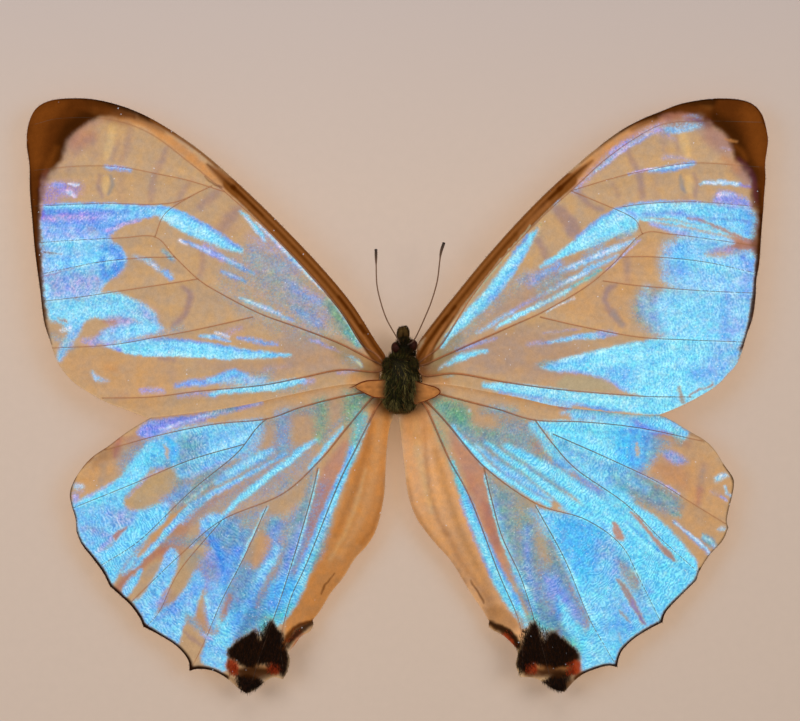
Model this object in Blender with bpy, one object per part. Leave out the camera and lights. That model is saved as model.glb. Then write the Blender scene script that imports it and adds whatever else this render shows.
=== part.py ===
"""A spread butterfly specimen without its abdomen, resting on the flat underside of its thorax.

Metres, +Z up. +Y is towards the head and +X is the animal's right. The origin is the middle of the
thorax's flat underside. Wing outlines and veins are points of the photograph, in its pixels, seen
straight from above; flat() turns them into metres from the wingspan.
"""
import math

import bmesh
import bpy
from mathutils import Vector
from mathutils.geometry import delaunay_2d_cdt

MM = 0.001

# Driving sizes
WINGSPAN = 90 * MM
SPAN_PIXELS = 741.0
PIXEL = WINGSPAN / SPAN_PIXELS
ORIGIN_PIXEL = (400.5, 383.0)

WING_THICKNESS = 0.30 * MM
WING_ROOT_HEIGHT = 4.5 * MM
TIP_DROOP = 1.9 * MM
TAIL_DROOP = 1.3 * MM
FRONT_DROOP = 0.4 * MM
LAYER_OFFSET = 0.36 * MM
VEIN_LIFT = 0.16 * MM
VEIN_REACH = 1.3 * MM
# The hindwings' inner margins bend down into a gutter, where the abdomen would lie
FOLD_WIDTH = 5.6 * MM
FOLD_DROP = 1.5 * MM
INNER_MARGIN_RUN = 8
RIM_STEP = 1.5 * MM
VEIN_STEP = 2.8 * MM
CELL_STEP = 2.8 * MM
RIM_CLEAR = 0.9 * MM
VEIN_CLEAR = 1.05 * MM

# Outlines, in pixels of the photograph. Each list is one smooth run, and runs meet at corners.
LEFT_FOREWING = [
    [(385, 354.5), (375, 340), (351, 302.7), (320, 265.7), (280, 223.7), (240, 185), (200, 150.3),
     (160.3, 123.7), (130.3, 109), (100.3, 100.3), (75, 98), (50, 100.3), (35, 109), (27.8, 125),
     (26.2, 144), (29, 165), (29.4, 190), (31.3, 213), (34.7, 251.7), (39.7, 289), (43.7, 321),
     (50, 341), (58, 363.3), (72.3, 381), (89.7, 393), (108.3, 403), (129.7, 411), (148, 418)],
    [(148, 418), (180, 414.5), (215, 410), (250, 404), (283, 396.5), (318, 389), (350, 384),
     (378.9, 384.5)],
    [(378.9, 384.5), (378.9, 378), (380.8, 370), (384.2, 361.5), (385, 354.5)],
]
RIGHT_FOREWING = [
    [(416.4, 355.5), (417.7, 345.3), (421, 338.7), (438.3, 316), (459.7, 289.3), (483.7, 260),
     (514.7, 225), (545.3, 193.7), (576, 165.7), (600, 145.7), (620, 131), (640.3, 119.9),
     (660, 111.7), (680, 104), (700, 100), (720, 98.2), (740, 99.4), (753.3, 104), (761.7, 113),
     (766, 125), (768.4, 139), (767.3, 150.3), (765.5, 164), (765.9, 178), (764.6, 194.3),
     (763.5, 210.3), (761.3, 238.3), (759.7, 262), (756.6, 280), (755.7, 298.3), (752.7, 318.3),
     (746.6, 335.7), (742, 351.7), (737, 363.7), (728.3, 373.7), (715.7, 386.3), (697, 397.7),
     (677, 407.7), (659.7, 414.5)],
    [(659.7, 414.5), (640, 415), (620, 413.5), (600, 411.2), (574, 408.5), (550, 405),
     (523.7, 398.7), (486, 391.5), (450, 385), (422.1, 384.5)],
    [(422.1, 384.5), (422.1, 378), (420.2, 370), (416.8, 361.5), (416.4, 355.5)],
]
LEFT_HINDWING = [
    [(378.9, 390), (365, 381), (340, 376), (300, 376), (250, 383), (200, 396), (170, 408),
     (148.6, 418.8), (127, 432), (107.8, 446.4), (93.4, 456), (83.2, 466.2), (73.5, 481),
     (69.4, 493.8), (71, 505), (75, 519), (76, 532.2)],
    [(76, 532.2), (81.4, 544.8), (92.2, 558.6), (102.2, 572.2), (109.4, 586.5)],
    [(109.4, 586.5), (119.6, 595.6), (130.4, 605.8), (139.4, 618.4), (143, 627)],
    [(143, 627), (158.6, 635.2), (174.2, 644.8), (184, 654.5), (188.6, 662.8), (189.2, 671.2)],
    [(189.2, 671.2), (198.2, 669.4), (212.6, 671.2), (227, 679), (239, 689.2), (246.9, 694)],
    [(246.9, 694), (255, 690), (263.4, 683), (273, 677.6), (283, 679.5)],
    [(283, 679.5), (287.5, 671), (289.8, 659.9), (287.8, 652.5)],
    [(287.8, 652.5), (294.2, 645.6), (301, 636.5), (309.6, 631.8), (313, 625.5), (312.5, 620.5)],
    [(312.5, 620.5), (320, 611), (330.5, 593.5), (343, 578), (355, 558.7), (368.3, 544),
     (377.7, 525.3), (384, 495), (385.5, 470), (386.8, 445), (388, 425), (389.5, 413.5)],
    [(389.5, 413.5), (384.5, 405.5), (381.3, 400), (379.4, 395), (378.9, 390)],
]
RIGHT_HINDWING = [
    [(422.1, 390), (436, 381), (461, 376), (501, 376), (551, 384), (601, 397), (635, 408),
     (659.8, 415.2), (673, 421.2), (688.6, 430.8), (704.2, 439.8), (715, 450), (724.6, 465),
     (733, 477), (734.4, 485), (732.4, 496.8), (729.2, 509.4), (727.2, 521), (728.8, 528)],
    [(728.8, 528), (722.8, 541.2), (710.2, 555), (700, 571), (696.8, 580.5)],
    [(696.8, 580.5), (682.2, 595), (669, 608.8), (664.5, 616), (663, 622.5)],
    [(663, 622.5), (651, 628.6), (635.4, 638.2), (623.4, 649.6), (619, 659), (617.4, 667.5)],
    [(617.4, 667.5), (609, 666), (599.4, 668.2), (585, 673.6), (575.4, 680.5), (564.5, 692.5)],
    [(564.5, 692.5), (553, 689), (545.5, 683.5), (534.6, 678.4), (520, 677)],
    [(520, 677), (516.1, 665.4), (517.8, 655), (517.2, 649.5)],
    [(517.2, 649.5), (512.3, 643.9), (503.5, 636), (493.6, 631), (489, 627), (489.4, 621.9)],
    [(489.4, 621.9), (482.6, 610.4), (469.4, 591), (451.7, 562), (437, 545.3), (425, 530.7),
     (416, 517), (408.5, 496), (405, 472), (402.7, 447), (402.5, 428), (406, 415.6)],
    [(406, 415.6), (412.5, 410.5), (416.8, 405), (419.8, 399), (421.6, 395), (422.1, 390)],
]

# Main veins, base to margin, in the same pixels
LEFT_FOREWING_VEINS = [
    [(376, 362), (340, 343.5), (300, 328), (260, 313.5), (220, 293), (198, 279), (175, 257),
     (155, 237), (120, 238), (60, 241), (36, 243)],
    [(376, 354), (362, 344), (341.5, 312), (316, 281.5), (275.5, 238), (225, 192), (190, 163), (150, 133.5),
     (110, 119.5), (62, 118), (34, 124)],
    [(225, 192), (190, 181), (160, 174.5), (120, 167), (80, 166), (34, 170)],
    [(212, 186), (190, 197), (165, 214), (155, 237)],
    [(190, 197), (150, 192), (100, 188), (34, 200)],
    [(198, 279), (160, 285), (120, 291), (80, 297), (44, 301)],
    [(175, 257), (140, 258), (100, 262), (60, 270), (42, 274)],
    [(253, 317), (200, 329), (160, 336.5), (110, 345), (52, 348)],
    [(376, 372), (340, 370), (300, 378), (260, 385.5), (200, 391), (150, 397), (102, 398)],
]
RIGHT_FOREWING_VEINS = [
    [(426, 364), (443.7, 356), (478.3, 340.7), (513, 325.3), (545, 310.7), (585, 287.3),
     (613, 264), (642.3, 234), (671.7, 234.3), (718.3, 240.3), (758, 246)],
    [(426, 357), (442.3, 343), (470.3, 298.7), (499.7, 261.3), (541.3, 217.7), (570.7, 191),
     (605, 159.7), (638.3, 136.3), (665, 123.7), (701, 121), (762, 122)],
    [(570.7, 191), (610.3, 179), (643.7, 171), (694.3, 163), (762, 167)],
    [(570.7, 191), (600, 203), (633, 218.3), (642.3, 234)],
    [(600, 203), (650, 192), (702.3, 184), (762, 187)],
    [(603, 281), (638.3, 285.7), (699.7, 290.6), (754, 293)],
    [(619, 257), (655, 257), (705, 262), (756, 273)],
    [(540, 317), (582, 326.7), (638, 337), (690, 340), (743, 342)],
    [(426, 376), (457, 373.6), (505, 382), (558.3, 389.3), (640, 396), (694, 397)],
]
LEFT_HINDWING_VEINS = [
    [(374, 391), (340, 397), (300, 407.5), (266, 419), (215, 424), (160, 435), (105, 450)],
    [(266, 419), (255, 430), (235, 455), (190, 492), (140, 540), (100, 566)],
    [(245, 444), (190, 460), (130, 485), (73, 508)],
    [(372, 398), (345, 430), (320, 460), (282, 494), (222, 520), (180, 555), (130, 603)],
    [(318, 468), (309, 505), (285, 585), (262, 650), (250, 688)],
    [(267, 506), (245, 555), (222, 600), (205, 640), (192, 667)],
    [(222, 520), (180, 570), (160, 610), (147, 626)],
    [(374, 412), (355, 450), (338, 485), (308, 560), (290, 600), (281, 640), (283, 672)],
]
RIGHT_HINDWING_VEINS = [
    [(427, 391), (459.7, 399.3), (498.3, 409.3), (535, 420), (585, 422), (640, 428), (702, 441)],
    [(535, 420), (553, 444), (577, 469.8), (625, 503.4), (660, 538), (698, 572)],
    [(553, 434), (607, 457.8), (656.2, 481.2), (688.6, 501), (726, 524)],
    [(428, 402.7), (449, 425.3), (484.3, 466.7), (535.7, 503.3), (585, 519.3), (621, 545),
     (640, 580), (660, 620)],
    [(484, 468), (491.7, 500), (502.3, 537.3), (522, 580.7), (540, 640), (552, 684)],
    [(535, 505), (565, 560), (588.6, 617), (614, 662)],
    [(428, 411), (449, 458.7), (470.3, 498.7), (498.3, 572), (520, 625), (523, 672)],
]

# Body, in millimetres from the origin
THORAX_SIDES = 20
THORAX_FLOOR = 0.0
# (y, half width, lowest z before the flat cut, highest z)
THORAX_STATIONS = [
    (-3.62, 0.45, 2.30, 3.50), (-3.38, 1.25, 1.40, 4.40), (-2.85, 1.88, 0.45, 5.20),
    (-2.15, 2.22, -0.45, 5.85), (-1.15, 2.44, -0.70, 6.30), (0.00, 2.50, -0.75, 6.50),
    (1.10, 2.42, -0.70, 6.32), (1.95, 2.20, -0.40, 5.90), (2.55, 1.92, 0.50, 5.45),
    (3.00, 1.66, 1.30, 5.05), (3.30, 1.36, 1.75, 4.75), (3.48, 0.85, 2.35, 4.35),
]
# How far the thorax narrows below the wing bases, where the legs fold against it
THORAX_KEEL = 0.42

HEAD_CENTRE = (0.48, 4.42, 3.55)
HEAD_RADII = (1.12, 0.86, 1.12)
HEAD_YAW = math.radians(9.0)
EYE_OFFSET = (1.02, 0.02, 0.12)
EYE_RADII = (0.60, 0.72, 0.88)
EYE_GAP = 0.07

PALP_SPREAD = 0.40
# (distance ahead of the head's centre, z, half width, half height)
PALP_STATIONS = [
    (0.72, 2.32, 0.20, 0.20), (0.98, 2.55, 0.32, 0.32), (1.32, 2.95, 0.375, 0.45),
    (1.70, 3.40, 0.385, 0.50), (2.08, 3.85, 0.36, 0.44), (2.36, 4.15, 0.28, 0.30),
    (2.52, 4.30, 0.15, 0.14),
]
PALP_SIDES = 10

PROBOSCIS_CENTRE = (0.34, 5.20, 1.72)
PROBOSCIS_TURNS = 1.8
PROBOSCIS_INNER = 0.16
PROBOSCIS_PITCH = 0.26
PROBOSCIS_RADIUS = 0.085

# Antennae: pixels of the photograph, then height in millimetres
LEFT_ANTENNA = [((400, 344.5), 4.68), ((396.4, 336.8), 4.85), ((387, 320), 5.0), ((381, 303), 5.1),
                ((377, 285), 5.05), ((376.2, 265), 4.9), ((376, 249), 4.8)]
RIGHT_ANTENNA = [((407.5, 345), 4.80), ((412.2, 342), 4.88), ((416.6, 335.6), 4.92),
                 ((424, 319.5), 5.0), ((431, 302.5), 5.1), ((437, 282), 5.05), ((439.6, 262), 4.9),
                 ((441, 252), 4.85), ((444, 242.5), 4.8)]
ANTENNA_RADIUS = 0.11
CLUB_RADIUS = 0.22
CLUB_SHARE = 0.16
ANTENNA_STEP = 0.7 * MM

# Folded legs on the right side: (x, y, z, radius) in millimetres; the left ones mirror them
LEG_PATHS = {
    "foreleg": [(0.55, 3.62, 1.20, 0.16), (0.66, 4.05, 1.26, 0.16), (0.76, 4.45, 1.40, 0.14),
                (0.83, 4.60, 1.66, 0.13), (0.83, 4.35, 1.92, 0.12), (0.82, 3.85, 2.00, 0.08)],
    "midleg": [(1.78, 0.30, 0.62, 0.24), (1.90, 1.50, 0.58, 0.23), (1.98, 3.00, 0.66, 0.19),
               (2.10, 3.42, 0.90, 0.17), (2.36, 3.30, 1.38, 0.16), (2.62, 1.60, 1.92, 0.15),
               (2.70, -0.40, 2.06, 0.12), (2.66, -1.80, 2.00, 0.10), (2.50, -3.30, 1.86, 0.07)],
    "hindleg": [(1.80, -0.60, 0.62, 0.25), (1.92, -1.80, 0.58, 0.23), (1.98, -3.10, 0.66, 0.19),
                (2.10, -3.48, 0.88, 0.17), (2.34, -3.20, 1.16, 0.16), (2.62, -1.60, 1.28, 0.14),
                (2.68, 0.20, 1.30, 0.12), (2.66, 1.50, 1.18, 0.10), (2.56, 2.80, 1.02, 0.07)],
}
LEG_SIDES = 6

# (colour, roughness) of each material
FINISHES = {
    "wing": ((0.16, 0.45, 0.80), 0.45),
    "thorax_fur": ((0.030, 0.028, 0.014), 0.90),
    "head_fur": ((0.020, 0.012, 0.008), 0.85),
    "eye": ((0.030, 0.010, 0.008), 0.30),
    "palp_fur": ((0.10, 0.045, 0.015), 0.85),
    "antenna": ((0.055, 0.030, 0.018), 0.55),
    "leg": ((0.060, 0.030, 0.014), 0.60),
}


def clear_scene():
    for item in list(bpy.data.objects):
        bpy.data.objects.remove(item, do_unlink=True)


def make_material(name):
    colour, roughness = FINISHES[name]
    material = bpy.data.materials.new(name)
    material.use_nodes = True
    shader = material.node_tree.nodes["Principled BSDF"]
    shader.inputs["Base Color"].default_value = (*colour, 1.0)
    shader.inputs["Roughness"].default_value = roughness
    return material


def add_object(name, mesh_builder, material, smooth=True):
    """Turns a bmesh into a named object whose faces point out."""
    bmesh.ops.recalc_face_normals(mesh_builder, faces=mesh_builder.faces)
    mesh = bpy.data.meshes.new(name)
    mesh_builder.to_mesh(mesh)
    mesh_builder.free()
    mesh.materials.append(material)
    if smooth:
        mesh.shade_smooth()
    item = bpy.data.objects.new(name, mesh)
    bpy.context.collection.objects.link(item)
    return item


# ---------------------------------------------------------------- curves

def catmull_rom(points, step):
    """Points about a step apart on a smooth curve through the given ones."""
    ends = [2 * points[0] - points[1], *points, 2 * points[-1] - points[-2]]
    curve = []
    for before, start, end, after in zip(ends, ends[1:], ends[2:], ends[3:]):
        pieces = max(1, round((end - start).length / step))
        for index in range(pieces):
            t = index / pieces
            curve.append(0.5 * (2 * start + (end - before) * t
                                + (2 * before - 5 * start + 4 * end - after) * t ** 2
                                + (3 * start - before - 3 * end + after) * t ** 3))
    curve.append(points[-1].copy())
    return curve


def flat(pixel):
    """A pixel of the photograph as metres in the plane seen from above."""
    return Vector(((pixel[0] - ORIGIN_PIXEL[0]) * PIXEL, (ORIGIN_PIXEL[1] - pixel[1]) * PIXEL))


def closed_outline(runs):
    rim = []
    for run in runs:
        rim += catmull_rom([flat(pixel) for pixel in run], RIM_STEP)[:-1]
    return rim


# ---------------------------------------------------------------- wings

def segment_distance(point, start, end):
    along = end - start
    share = max(0.0, min(1.0, (point - start).dot(along) / along.length_squared))
    return (point - start - along * share).length


def line_distance(point, lines):
    return min(segment_distance(point, start, end)
               for line in lines for start, end in zip(line, line[1:]))


def inside(point, rim):
    odd = False
    for start, end in zip(rim, rim[1:] + rim[:1]):
        if (start.y > point.y) != (end.y > point.y):
            crossing = start.x + (point.y - start.y) / (end.y - start.y) * (end.x - start.x)
            odd ^= crossing > point.x
    return odd


def wing_height(point, layer, veins, gutter):
    """The middle of the wing's thickness: a gentle droop, with the veins on shallow crests."""
    span = abs(point.x) / (WINGSPAN / 2)
    length = point.y / (WINGSPAN / 2)
    droop = TIP_DROOP * span ** 2
    droop += TAIL_DROOP * (length / 0.85) ** 2 if length < 0 else FRONT_DROOP * (length / 0.75) ** 2
    near_vein = max(0.0, 1.0 - line_distance(point, veins) / VEIN_REACH)
    if gutter:
        droop += FOLD_DROP * max(0.0, 1.0 - line_distance(point, [gutter]) / FOLD_WIDTH) ** 2
    return WING_ROOT_HEIGHT - droop + layer * LAYER_OFFSET + VEIN_LIFT * (near_vein - 0.5)


def wing(name, outline, vein_pixels, layer, material):
    """A thin closed sheet. Its facets follow the outline and the veins."""
    rim = closed_outline(outline)
    gutter = []
    if len(outline) > INNER_MARGIN_RUN:
        gutter = catmull_rom([flat(pixel) for pixel in outline[INNER_MARGIN_RUN]], VEIN_STEP)
    veins = [catmull_rom([flat(pixel) for pixel in line], VEIN_STEP) for line in vein_pixels]
    points = list(rim)
    edges = []
    for line in veins:
        kept = [p for p in line if inside(p, rim) and line_distance(p, [rim + rim[:1]]) > RIM_CLEAR]
        edges += [(len(points) + i, len(points) + i + 1) for i in range(len(kept) - 1)]
        points += kept
    rows = int(WINGSPAN / CELL_STEP) + 1
    for row in range(-rows, rows + 1):
        for column in range(-rows, rows + 1):
            point = Vector(((column + 0.5 * (row % 2)) * CELL_STEP, row * CELL_STEP * 0.87))
            if not inside(point, rim):
                continue
            if line_distance(point, [rim + rim[:1]]) < RIM_CLEAR * 1.3:
                continue
            if line_distance(point, veins) > VEIN_CLEAR:
                points.append(point)
    flat_points, _, triangles, *_ = delaunay_2d_cdt(
        points, edges, [list(range(len(rim)))], 1, 1e-6)

    builder = bmesh.new()
    half = WING_THICKNESS / 2
    heights = [wing_height(point, layer, veins, gutter) for point in flat_points]
    upper = [builder.verts.new((p.x, p.y, z + half)) for p, z in zip(flat_points, heights)]
    lower = [builder.verts.new((p.x, p.y, z - half)) for p, z in zip(flat_points, heights)]
    border = {}
    for corners in triangles:
        builder.faces.new([upper[i] for i in corners])
        builder.faces.new([lower[i] for i in reversed(corners)])
        for start, end in zip(corners, corners[1:] + corners[:1]):
            if (end, start) in border:
                del border[end, start]
            else:
                border[start, end] = True
    for start, end in border:
        builder.faces.new([upper[start], lower[start], lower[end], upper[end]])
    bmesh.ops.triangulate(builder, faces=builder.faces)
    return add_object(name, builder, material, smooth=False)


# ---------------------------------------------------------------- body

def bridge(builder, rings):
    """Joins rings of vertices into a closed body with a fan at each end."""
    for near, far in zip(rings, rings[1:]):
        for i in range(len(near)):
            j = (i + 1) % len(near)
            builder.faces.new([near[i], near[j], far[j], far[i]])
    builder.faces.new(list(reversed(rings[0])))
    builder.faces.new(rings[-1])


def tube(name, path, radii, sides, material):
    """A round tube along a path, with a radius for each of its points."""
    builder = bmesh.new()
    tangent = (path[1] - path[0]).normalized()
    across = tangent.orthogonal().normalized()
    rings = []
    for index, (point, radius) in enumerate(zip(path, radii)):
        ahead = path[min(index + 1, len(path) - 1)] - path[max(index - 1, 0)]
        turn = tangent.rotation_difference(ahead.normalized())
        across = turn @ across
        tangent = ahead.normalized()
        side = tangent.cross(across)
        angles = [2 * math.pi * i / sides for i in range(sides)]
        rings.append([builder.verts.new(point + radius * (math.cos(a) * across + math.sin(a) * side))
                      for a in angles])
    bridge(builder, rings)
    return add_object(name, builder, material)


def thorax(material):
    """A humped barrel, narrower below, with a flat underside."""
    builder = bmesh.new()
    rings = []
    for y, half_width, low, high in THORAX_STATIONS:
        middle = (low + high) / 2
        reach = (high - low) / 2
        ring = []
        for index in range(THORAX_SIDES):
            angle = 2 * math.pi * index / THORAX_SIDES
            depth = max(0.0, -math.sin(angle))
            x = half_width * math.cos(angle) * (1 - THORAX_KEEL * depth)
            z = max(THORAX_FLOOR, middle + reach * math.sin(angle))
            ring.append(builder.verts.new(Vector((x, y, z)) * MM))
        rings.append(ring)
    bridge(builder, rings)
    return add_object("thorax", builder, material)


def ellipsoid(name, centre, radii, material, segments=16, rings=10):
    builder = bmesh.new()
    bmesh.ops.create_uvsphere(builder, u_segments=segments, v_segments=rings, radius=1.0)
    for vertex in builder.verts:
        vertex.co = Vector((vertex.co[axis] * radii[axis] * MM for axis in range(3)))
    item = add_object(name, builder, material)
    item.location = centre
    item.rotation_euler.z = HEAD_YAW
    return item


def head_point(across, ahead, up):
    """A place relative to the head's centre, in millimetres along the head's own directions."""
    turned = Vector((across * math.cos(HEAD_YAW) - ahead * math.sin(HEAD_YAW),
                     across * math.sin(HEAD_YAW) + ahead * math.cos(HEAD_YAW), up))
    return (Vector(HEAD_CENTRE) + turned) * MM


def head_and_eyes(materials):
    """The head, cut back round each eye so that the eye sits in its own socket."""
    head = ellipsoid("head", Vector(HEAD_CENTRE) * MM, HEAD_RADII, materials["head_fur"], 18, 12)
    across, ahead, up = EYE_OFFSET
    for side, name in ((-1, "left_eye"), (1, "right_eye")):
        centre = head_point(side * across, ahead, up)
        ellipsoid(name, centre, EYE_RADII, materials["eye"], 12, 8)
        wider = [radius + EYE_GAP for radius in EYE_RADII]
        cutter = ellipsoid(name + "_socket", centre, wider, materials["eye"], 12, 8)
        cutter.hide_render = True
        cutter.display_type = "WIRE"
        socket = head.modifiers.new(name + "_socket", "BOOLEAN")
        socket.operation = "DIFFERENCE"
        socket.object = cutter


def palp(name, side, material):
    builder = bmesh.new()
    rings = []
    for ahead, z, half_width, half_height in PALP_STATIONS:
        ring = []
        for index in range(PALP_SIDES):
            angle = 2 * math.pi * index / PALP_SIDES
            across = side * PALP_SPREAD + half_width * math.cos(angle)
            up = z + half_height * math.sin(angle) - HEAD_CENTRE[2]
            ring.append(builder.verts.new(head_point(across, ahead, up)))
        rings.append(ring)
    bridge(builder, rings)
    return add_object(name, builder, material)


def proboscis(material):
    """A flat spiral, coiled under the palps."""
    count = int(PROBOSCIS_TURNS * 14)
    path = []
    for index in range(count + 1):
        angle = 2 * math.pi * PROBOSCIS_TURNS * index / count
        reach = PROBOSCIS_INNER + PROBOSCIS_PITCH * angle / (2 * math.pi)
        coil = Vector((0.0, reach * math.cos(angle), reach * math.sin(angle)))
        path.append((Vector(PROBOSCIS_CENTRE) + coil) * MM)
    return tube("proboscis", path, [PROBOSCIS_RADIUS * MM] * len(path), 6, material)


def antenna(name, stations, material):
    """A thin stalk that thickens into a slim club over its last part."""
    points = [Vector((*flat(pixel), height * MM)) for pixel, height in stations]
    path = catmull_rom(points, ANTENNA_STEP)
    radii = []
    for index in range(len(path)):
        club = max(0.0, 1 - (1 - index / (len(path) - 1)) / CLUB_SHARE)
        swell = math.sin(min(1.0, club * 1.15) * math.pi * 0.62)
        radii.append((ANTENNA_RADIUS + (CLUB_RADIUS - ANTENNA_RADIUS) * swell) * MM)
    return tube(name, path, radii, 6, material)


def leg(name, side, stations, material):
    path = [Vector((side * x, y, z)) * MM for x, y, z, _ in stations]
    radii = [radius * MM for *_, radius in stations]
    return tube(name, path, radii, LEG_SIDES, material)


def build():
    clear_scene()
    materials = {name: make_material(name) for name in FINISHES}
    thorax(materials["thorax_fur"])
    head_and_eyes(materials)
    proboscis(materials["antenna"])
    wing("left_forewing", LEFT_FOREWING, LEFT_FOREWING_VEINS, 1, materials["wing"])
    wing("right_forewing", RIGHT_FOREWING, RIGHT_FOREWING_VEINS, 1, materials["wing"])
    wing("left_hindwing", LEFT_HINDWING, LEFT_HINDWING_VEINS, -1, materials["wing"])
    wing("right_hindwing", RIGHT_HINDWING, RIGHT_HINDWING_VEINS, -1, materials["wing"])
    antenna("left_antenna", LEFT_ANTENNA, materials["antenna"])
    antenna("right_antenna", RIGHT_ANTENNA, materials["antenna"])
    for side, side_name in ((-1, "left"), (1, "right")):
        palp(side_name + "_palp", side, materials["palp_fur"])
        for leg_name, stations in LEG_PATHS.items():
            leg(side_name + "_" + leg_name, side, stations, materials["leg"])


build()
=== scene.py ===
"""Looks of a spread butterfly specimen: pearly wings, veins, fur, head, antennae and legs.

Metres, +Z up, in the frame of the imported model. Places on the wings are pixels of the photograph, seen
straight from above, and flat() turns them into metres. Colours are sRGB values, 0 to 255.
"""
import math

import bpy
import numpy as np
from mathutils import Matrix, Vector
from mathutils.geometry import delaunay_2d_cdt


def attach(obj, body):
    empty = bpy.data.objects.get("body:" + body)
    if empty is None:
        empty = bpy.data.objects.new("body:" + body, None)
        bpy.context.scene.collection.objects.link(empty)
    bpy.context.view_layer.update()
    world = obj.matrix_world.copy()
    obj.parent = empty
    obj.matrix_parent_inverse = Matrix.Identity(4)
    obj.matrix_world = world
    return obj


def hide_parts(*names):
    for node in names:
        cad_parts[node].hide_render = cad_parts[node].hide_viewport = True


MM = 0.001
SEED = 7

# Shared with the solids; both reaches are in half spans
WINGSPAN = 90 * MM
SPAN_PIXELS = 741.0
PIXEL = WINGSPAN / SPAN_PIXELS
ORIGIN_PIXEL = (400.5, 383.0)
WING_ROOT_HEIGHT = 4.5 * MM
TIP_DROOP = 1.9 * MM
TAIL_DROOP = 1.3 * MM
FRONT_DROOP = 0.4 * MM
TAIL_REACH = 0.85
FRONT_REACH = 0.75
LAYER_OFFSET = 0.36 * MM
VEIN_LIFT = 0.16 * MM
VEIN_REACH = 1.3 * MM
FOLD_WIDTH = 5.6 * MM
FOLD_DROP = 1.5 * MM
INNER_MARGIN_RUN = 8

# ------------------------------------------------------------ wing outlines and veins, in pixels
LEFT_FOREWING = [
    [(385, 354.5), (375, 340), (351, 302.7), (320, 265.7), (280, 223.7), (240, 185), (200, 150.3),
     (160.3, 123.7), (130.3, 109), (100.3, 100.3), (75, 98), (50, 100.3), (35, 109), (27.8, 125),
     (26.2, 144), (29, 165), (29.4, 190), (31.3, 213), (34.7, 251.7), (39.7, 289), (43.7, 321),
     (50, 341), (58, 363.3), (72.3, 381), (89.7, 393), (108.3, 403), (129.7, 411), (148, 418)],
    [(148, 418), (180, 414.5), (215, 410), (250, 404), (283, 396.5), (318, 389), (350, 384),
     (378.9, 384.5)],
    [(378.9, 384.5), (378.9, 378), (380.8, 370), (384.2, 361.5), (385, 354.5)],
]
RIGHT_FOREWING = [
    [(416.4, 355.5), (417.7, 345.3), (421, 338.7), (438.3, 316), (459.7, 289.3), (483.7, 260),
     (514.7, 225), (545.3, 193.7), (576, 165.7), (600, 145.7), (620, 131), (640.3, 119.9),
     (660, 111.7), (680, 104), (700, 100), (720, 98.2), (740, 99.4), (753.3, 104), (761.7, 113),
     (766, 125), (768.4, 139), (767.3, 150.3), (765.5, 164), (765.9, 178), (764.6, 194.3),
     (763.5, 210.3), (761.3, 238.3), (759.7, 262), (756.6, 280), (755.7, 298.3), (752.7, 318.3),
     (746.6, 335.7), (742, 351.7), (737, 363.7), (728.3, 373.7), (715.7, 386.3), (697, 397.7),
     (677, 407.7), (659.7, 414.5)],
    [(659.7, 414.5), (640, 415), (620, 413.5), (600, 411.2), (574, 408.5), (550, 405),
     (523.7, 398.7), (486, 391.5), (450, 385), (422.1, 384.5)],
    [(422.1, 384.5), (422.1, 378), (420.2, 370), (416.8, 361.5), (416.4, 355.5)],
]
LEFT_HINDWING = [
    [(378.9, 390), (365, 381), (340, 376), (300, 376), (250, 383), (200, 396), (170, 408),
     (148.6, 418.8), (127, 432), (107.8, 446.4), (93.4, 456), (83.2, 466.2), (73.5, 481),
     (69.4, 493.8), (71, 505), (75, 519), (76, 532.2)],
    [(76, 532.2), (81.4, 544.8), (92.2, 558.6), (102.2, 572.2), (109.4, 586.5)],
    [(109.4, 586.5), (119.6, 595.6), (130.4, 605.8), (139.4, 618.4), (143, 627)],
    [(143, 627), (158.6, 635.2), (174.2, 644.8), (184, 654.5), (188.6, 662.8), (189.2, 671.2)],
    [(189.2, 671.2), (198.2, 669.4), (212.6, 671.2), (227, 679), (239, 689.2), (246.9, 694)],
    [(246.9, 694), (255, 690), (263.4, 683), (273, 677.6), (283, 679.5)],
    [(283, 679.5), (287.5, 671), (289.8, 659.9), (287.8, 652.5)],
    [(287.8, 652.5), (294.2, 645.6), (301, 636.5), (309.6, 631.8), (313, 625.5), (312.5, 620.5)],
    [(312.5, 620.5), (320, 611), (330.5, 593.5), (343, 578), (355, 558.7), (368.3, 544),
     (377.7, 525.3), (384, 495), (385.5, 470), (387, 445), (390, 426), (396, 413)],
    [(396, 413), (389, 411.5), (384.5, 405.5), (381.3, 400), (379.4, 395), (378.9, 390)],
]
RIGHT_HINDWING = [
    [(422.1, 390), (436, 381), (461, 376), (501, 376), (551, 384), (601, 397), (635, 408),
     (659.8, 415.2), (673, 421.2), (688.6, 430.8), (704.2, 439.8), (715, 450), (724.6, 465),
     (733, 477), (734.4, 485), (732.4, 496.8), (729.2, 509.4), (727.2, 521), (728.8, 528)],
    [(728.8, 528), (722.8, 541.2), (710.2, 555), (700, 571), (696.8, 580.5)],
    [(696.8, 580.5), (682.2, 595), (669, 608.8), (664.5, 616), (663, 622.5)],
    [(663, 622.5), (651, 628.6), (635.4, 638.2), (623.4, 649.6), (619, 659), (617.4, 667.5)],
    [(617.4, 667.5), (609, 666), (599.4, 668.2), (585, 673.6), (575.4, 680.5), (564.5, 692.5)],
    [(564.5, 692.5), (553, 689), (545.5, 683.5), (534.6, 678.4), (520, 677)],
    [(520, 677), (516.1, 665.4), (517.8, 655), (517.2, 649.5)],
    [(517.2, 649.5), (512.3, 643.9), (503.5, 636), (493.6, 631), (489, 627), (489.4, 621.9)],
    [(489.4, 621.9), (482.6, 610.4), (469.4, 591), (451.7, 562), (437, 545.3), (425, 530.7),
     (416, 517), (408.5, 496), (405, 472), (402.2, 447), (400, 428), (397.5, 413.5)],
    [(397.5, 413.5), (407, 413), (412.5, 410.5), (416.8, 405), (419.8, 399), (421.6, 395), (422.1, 390)],
]

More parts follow.
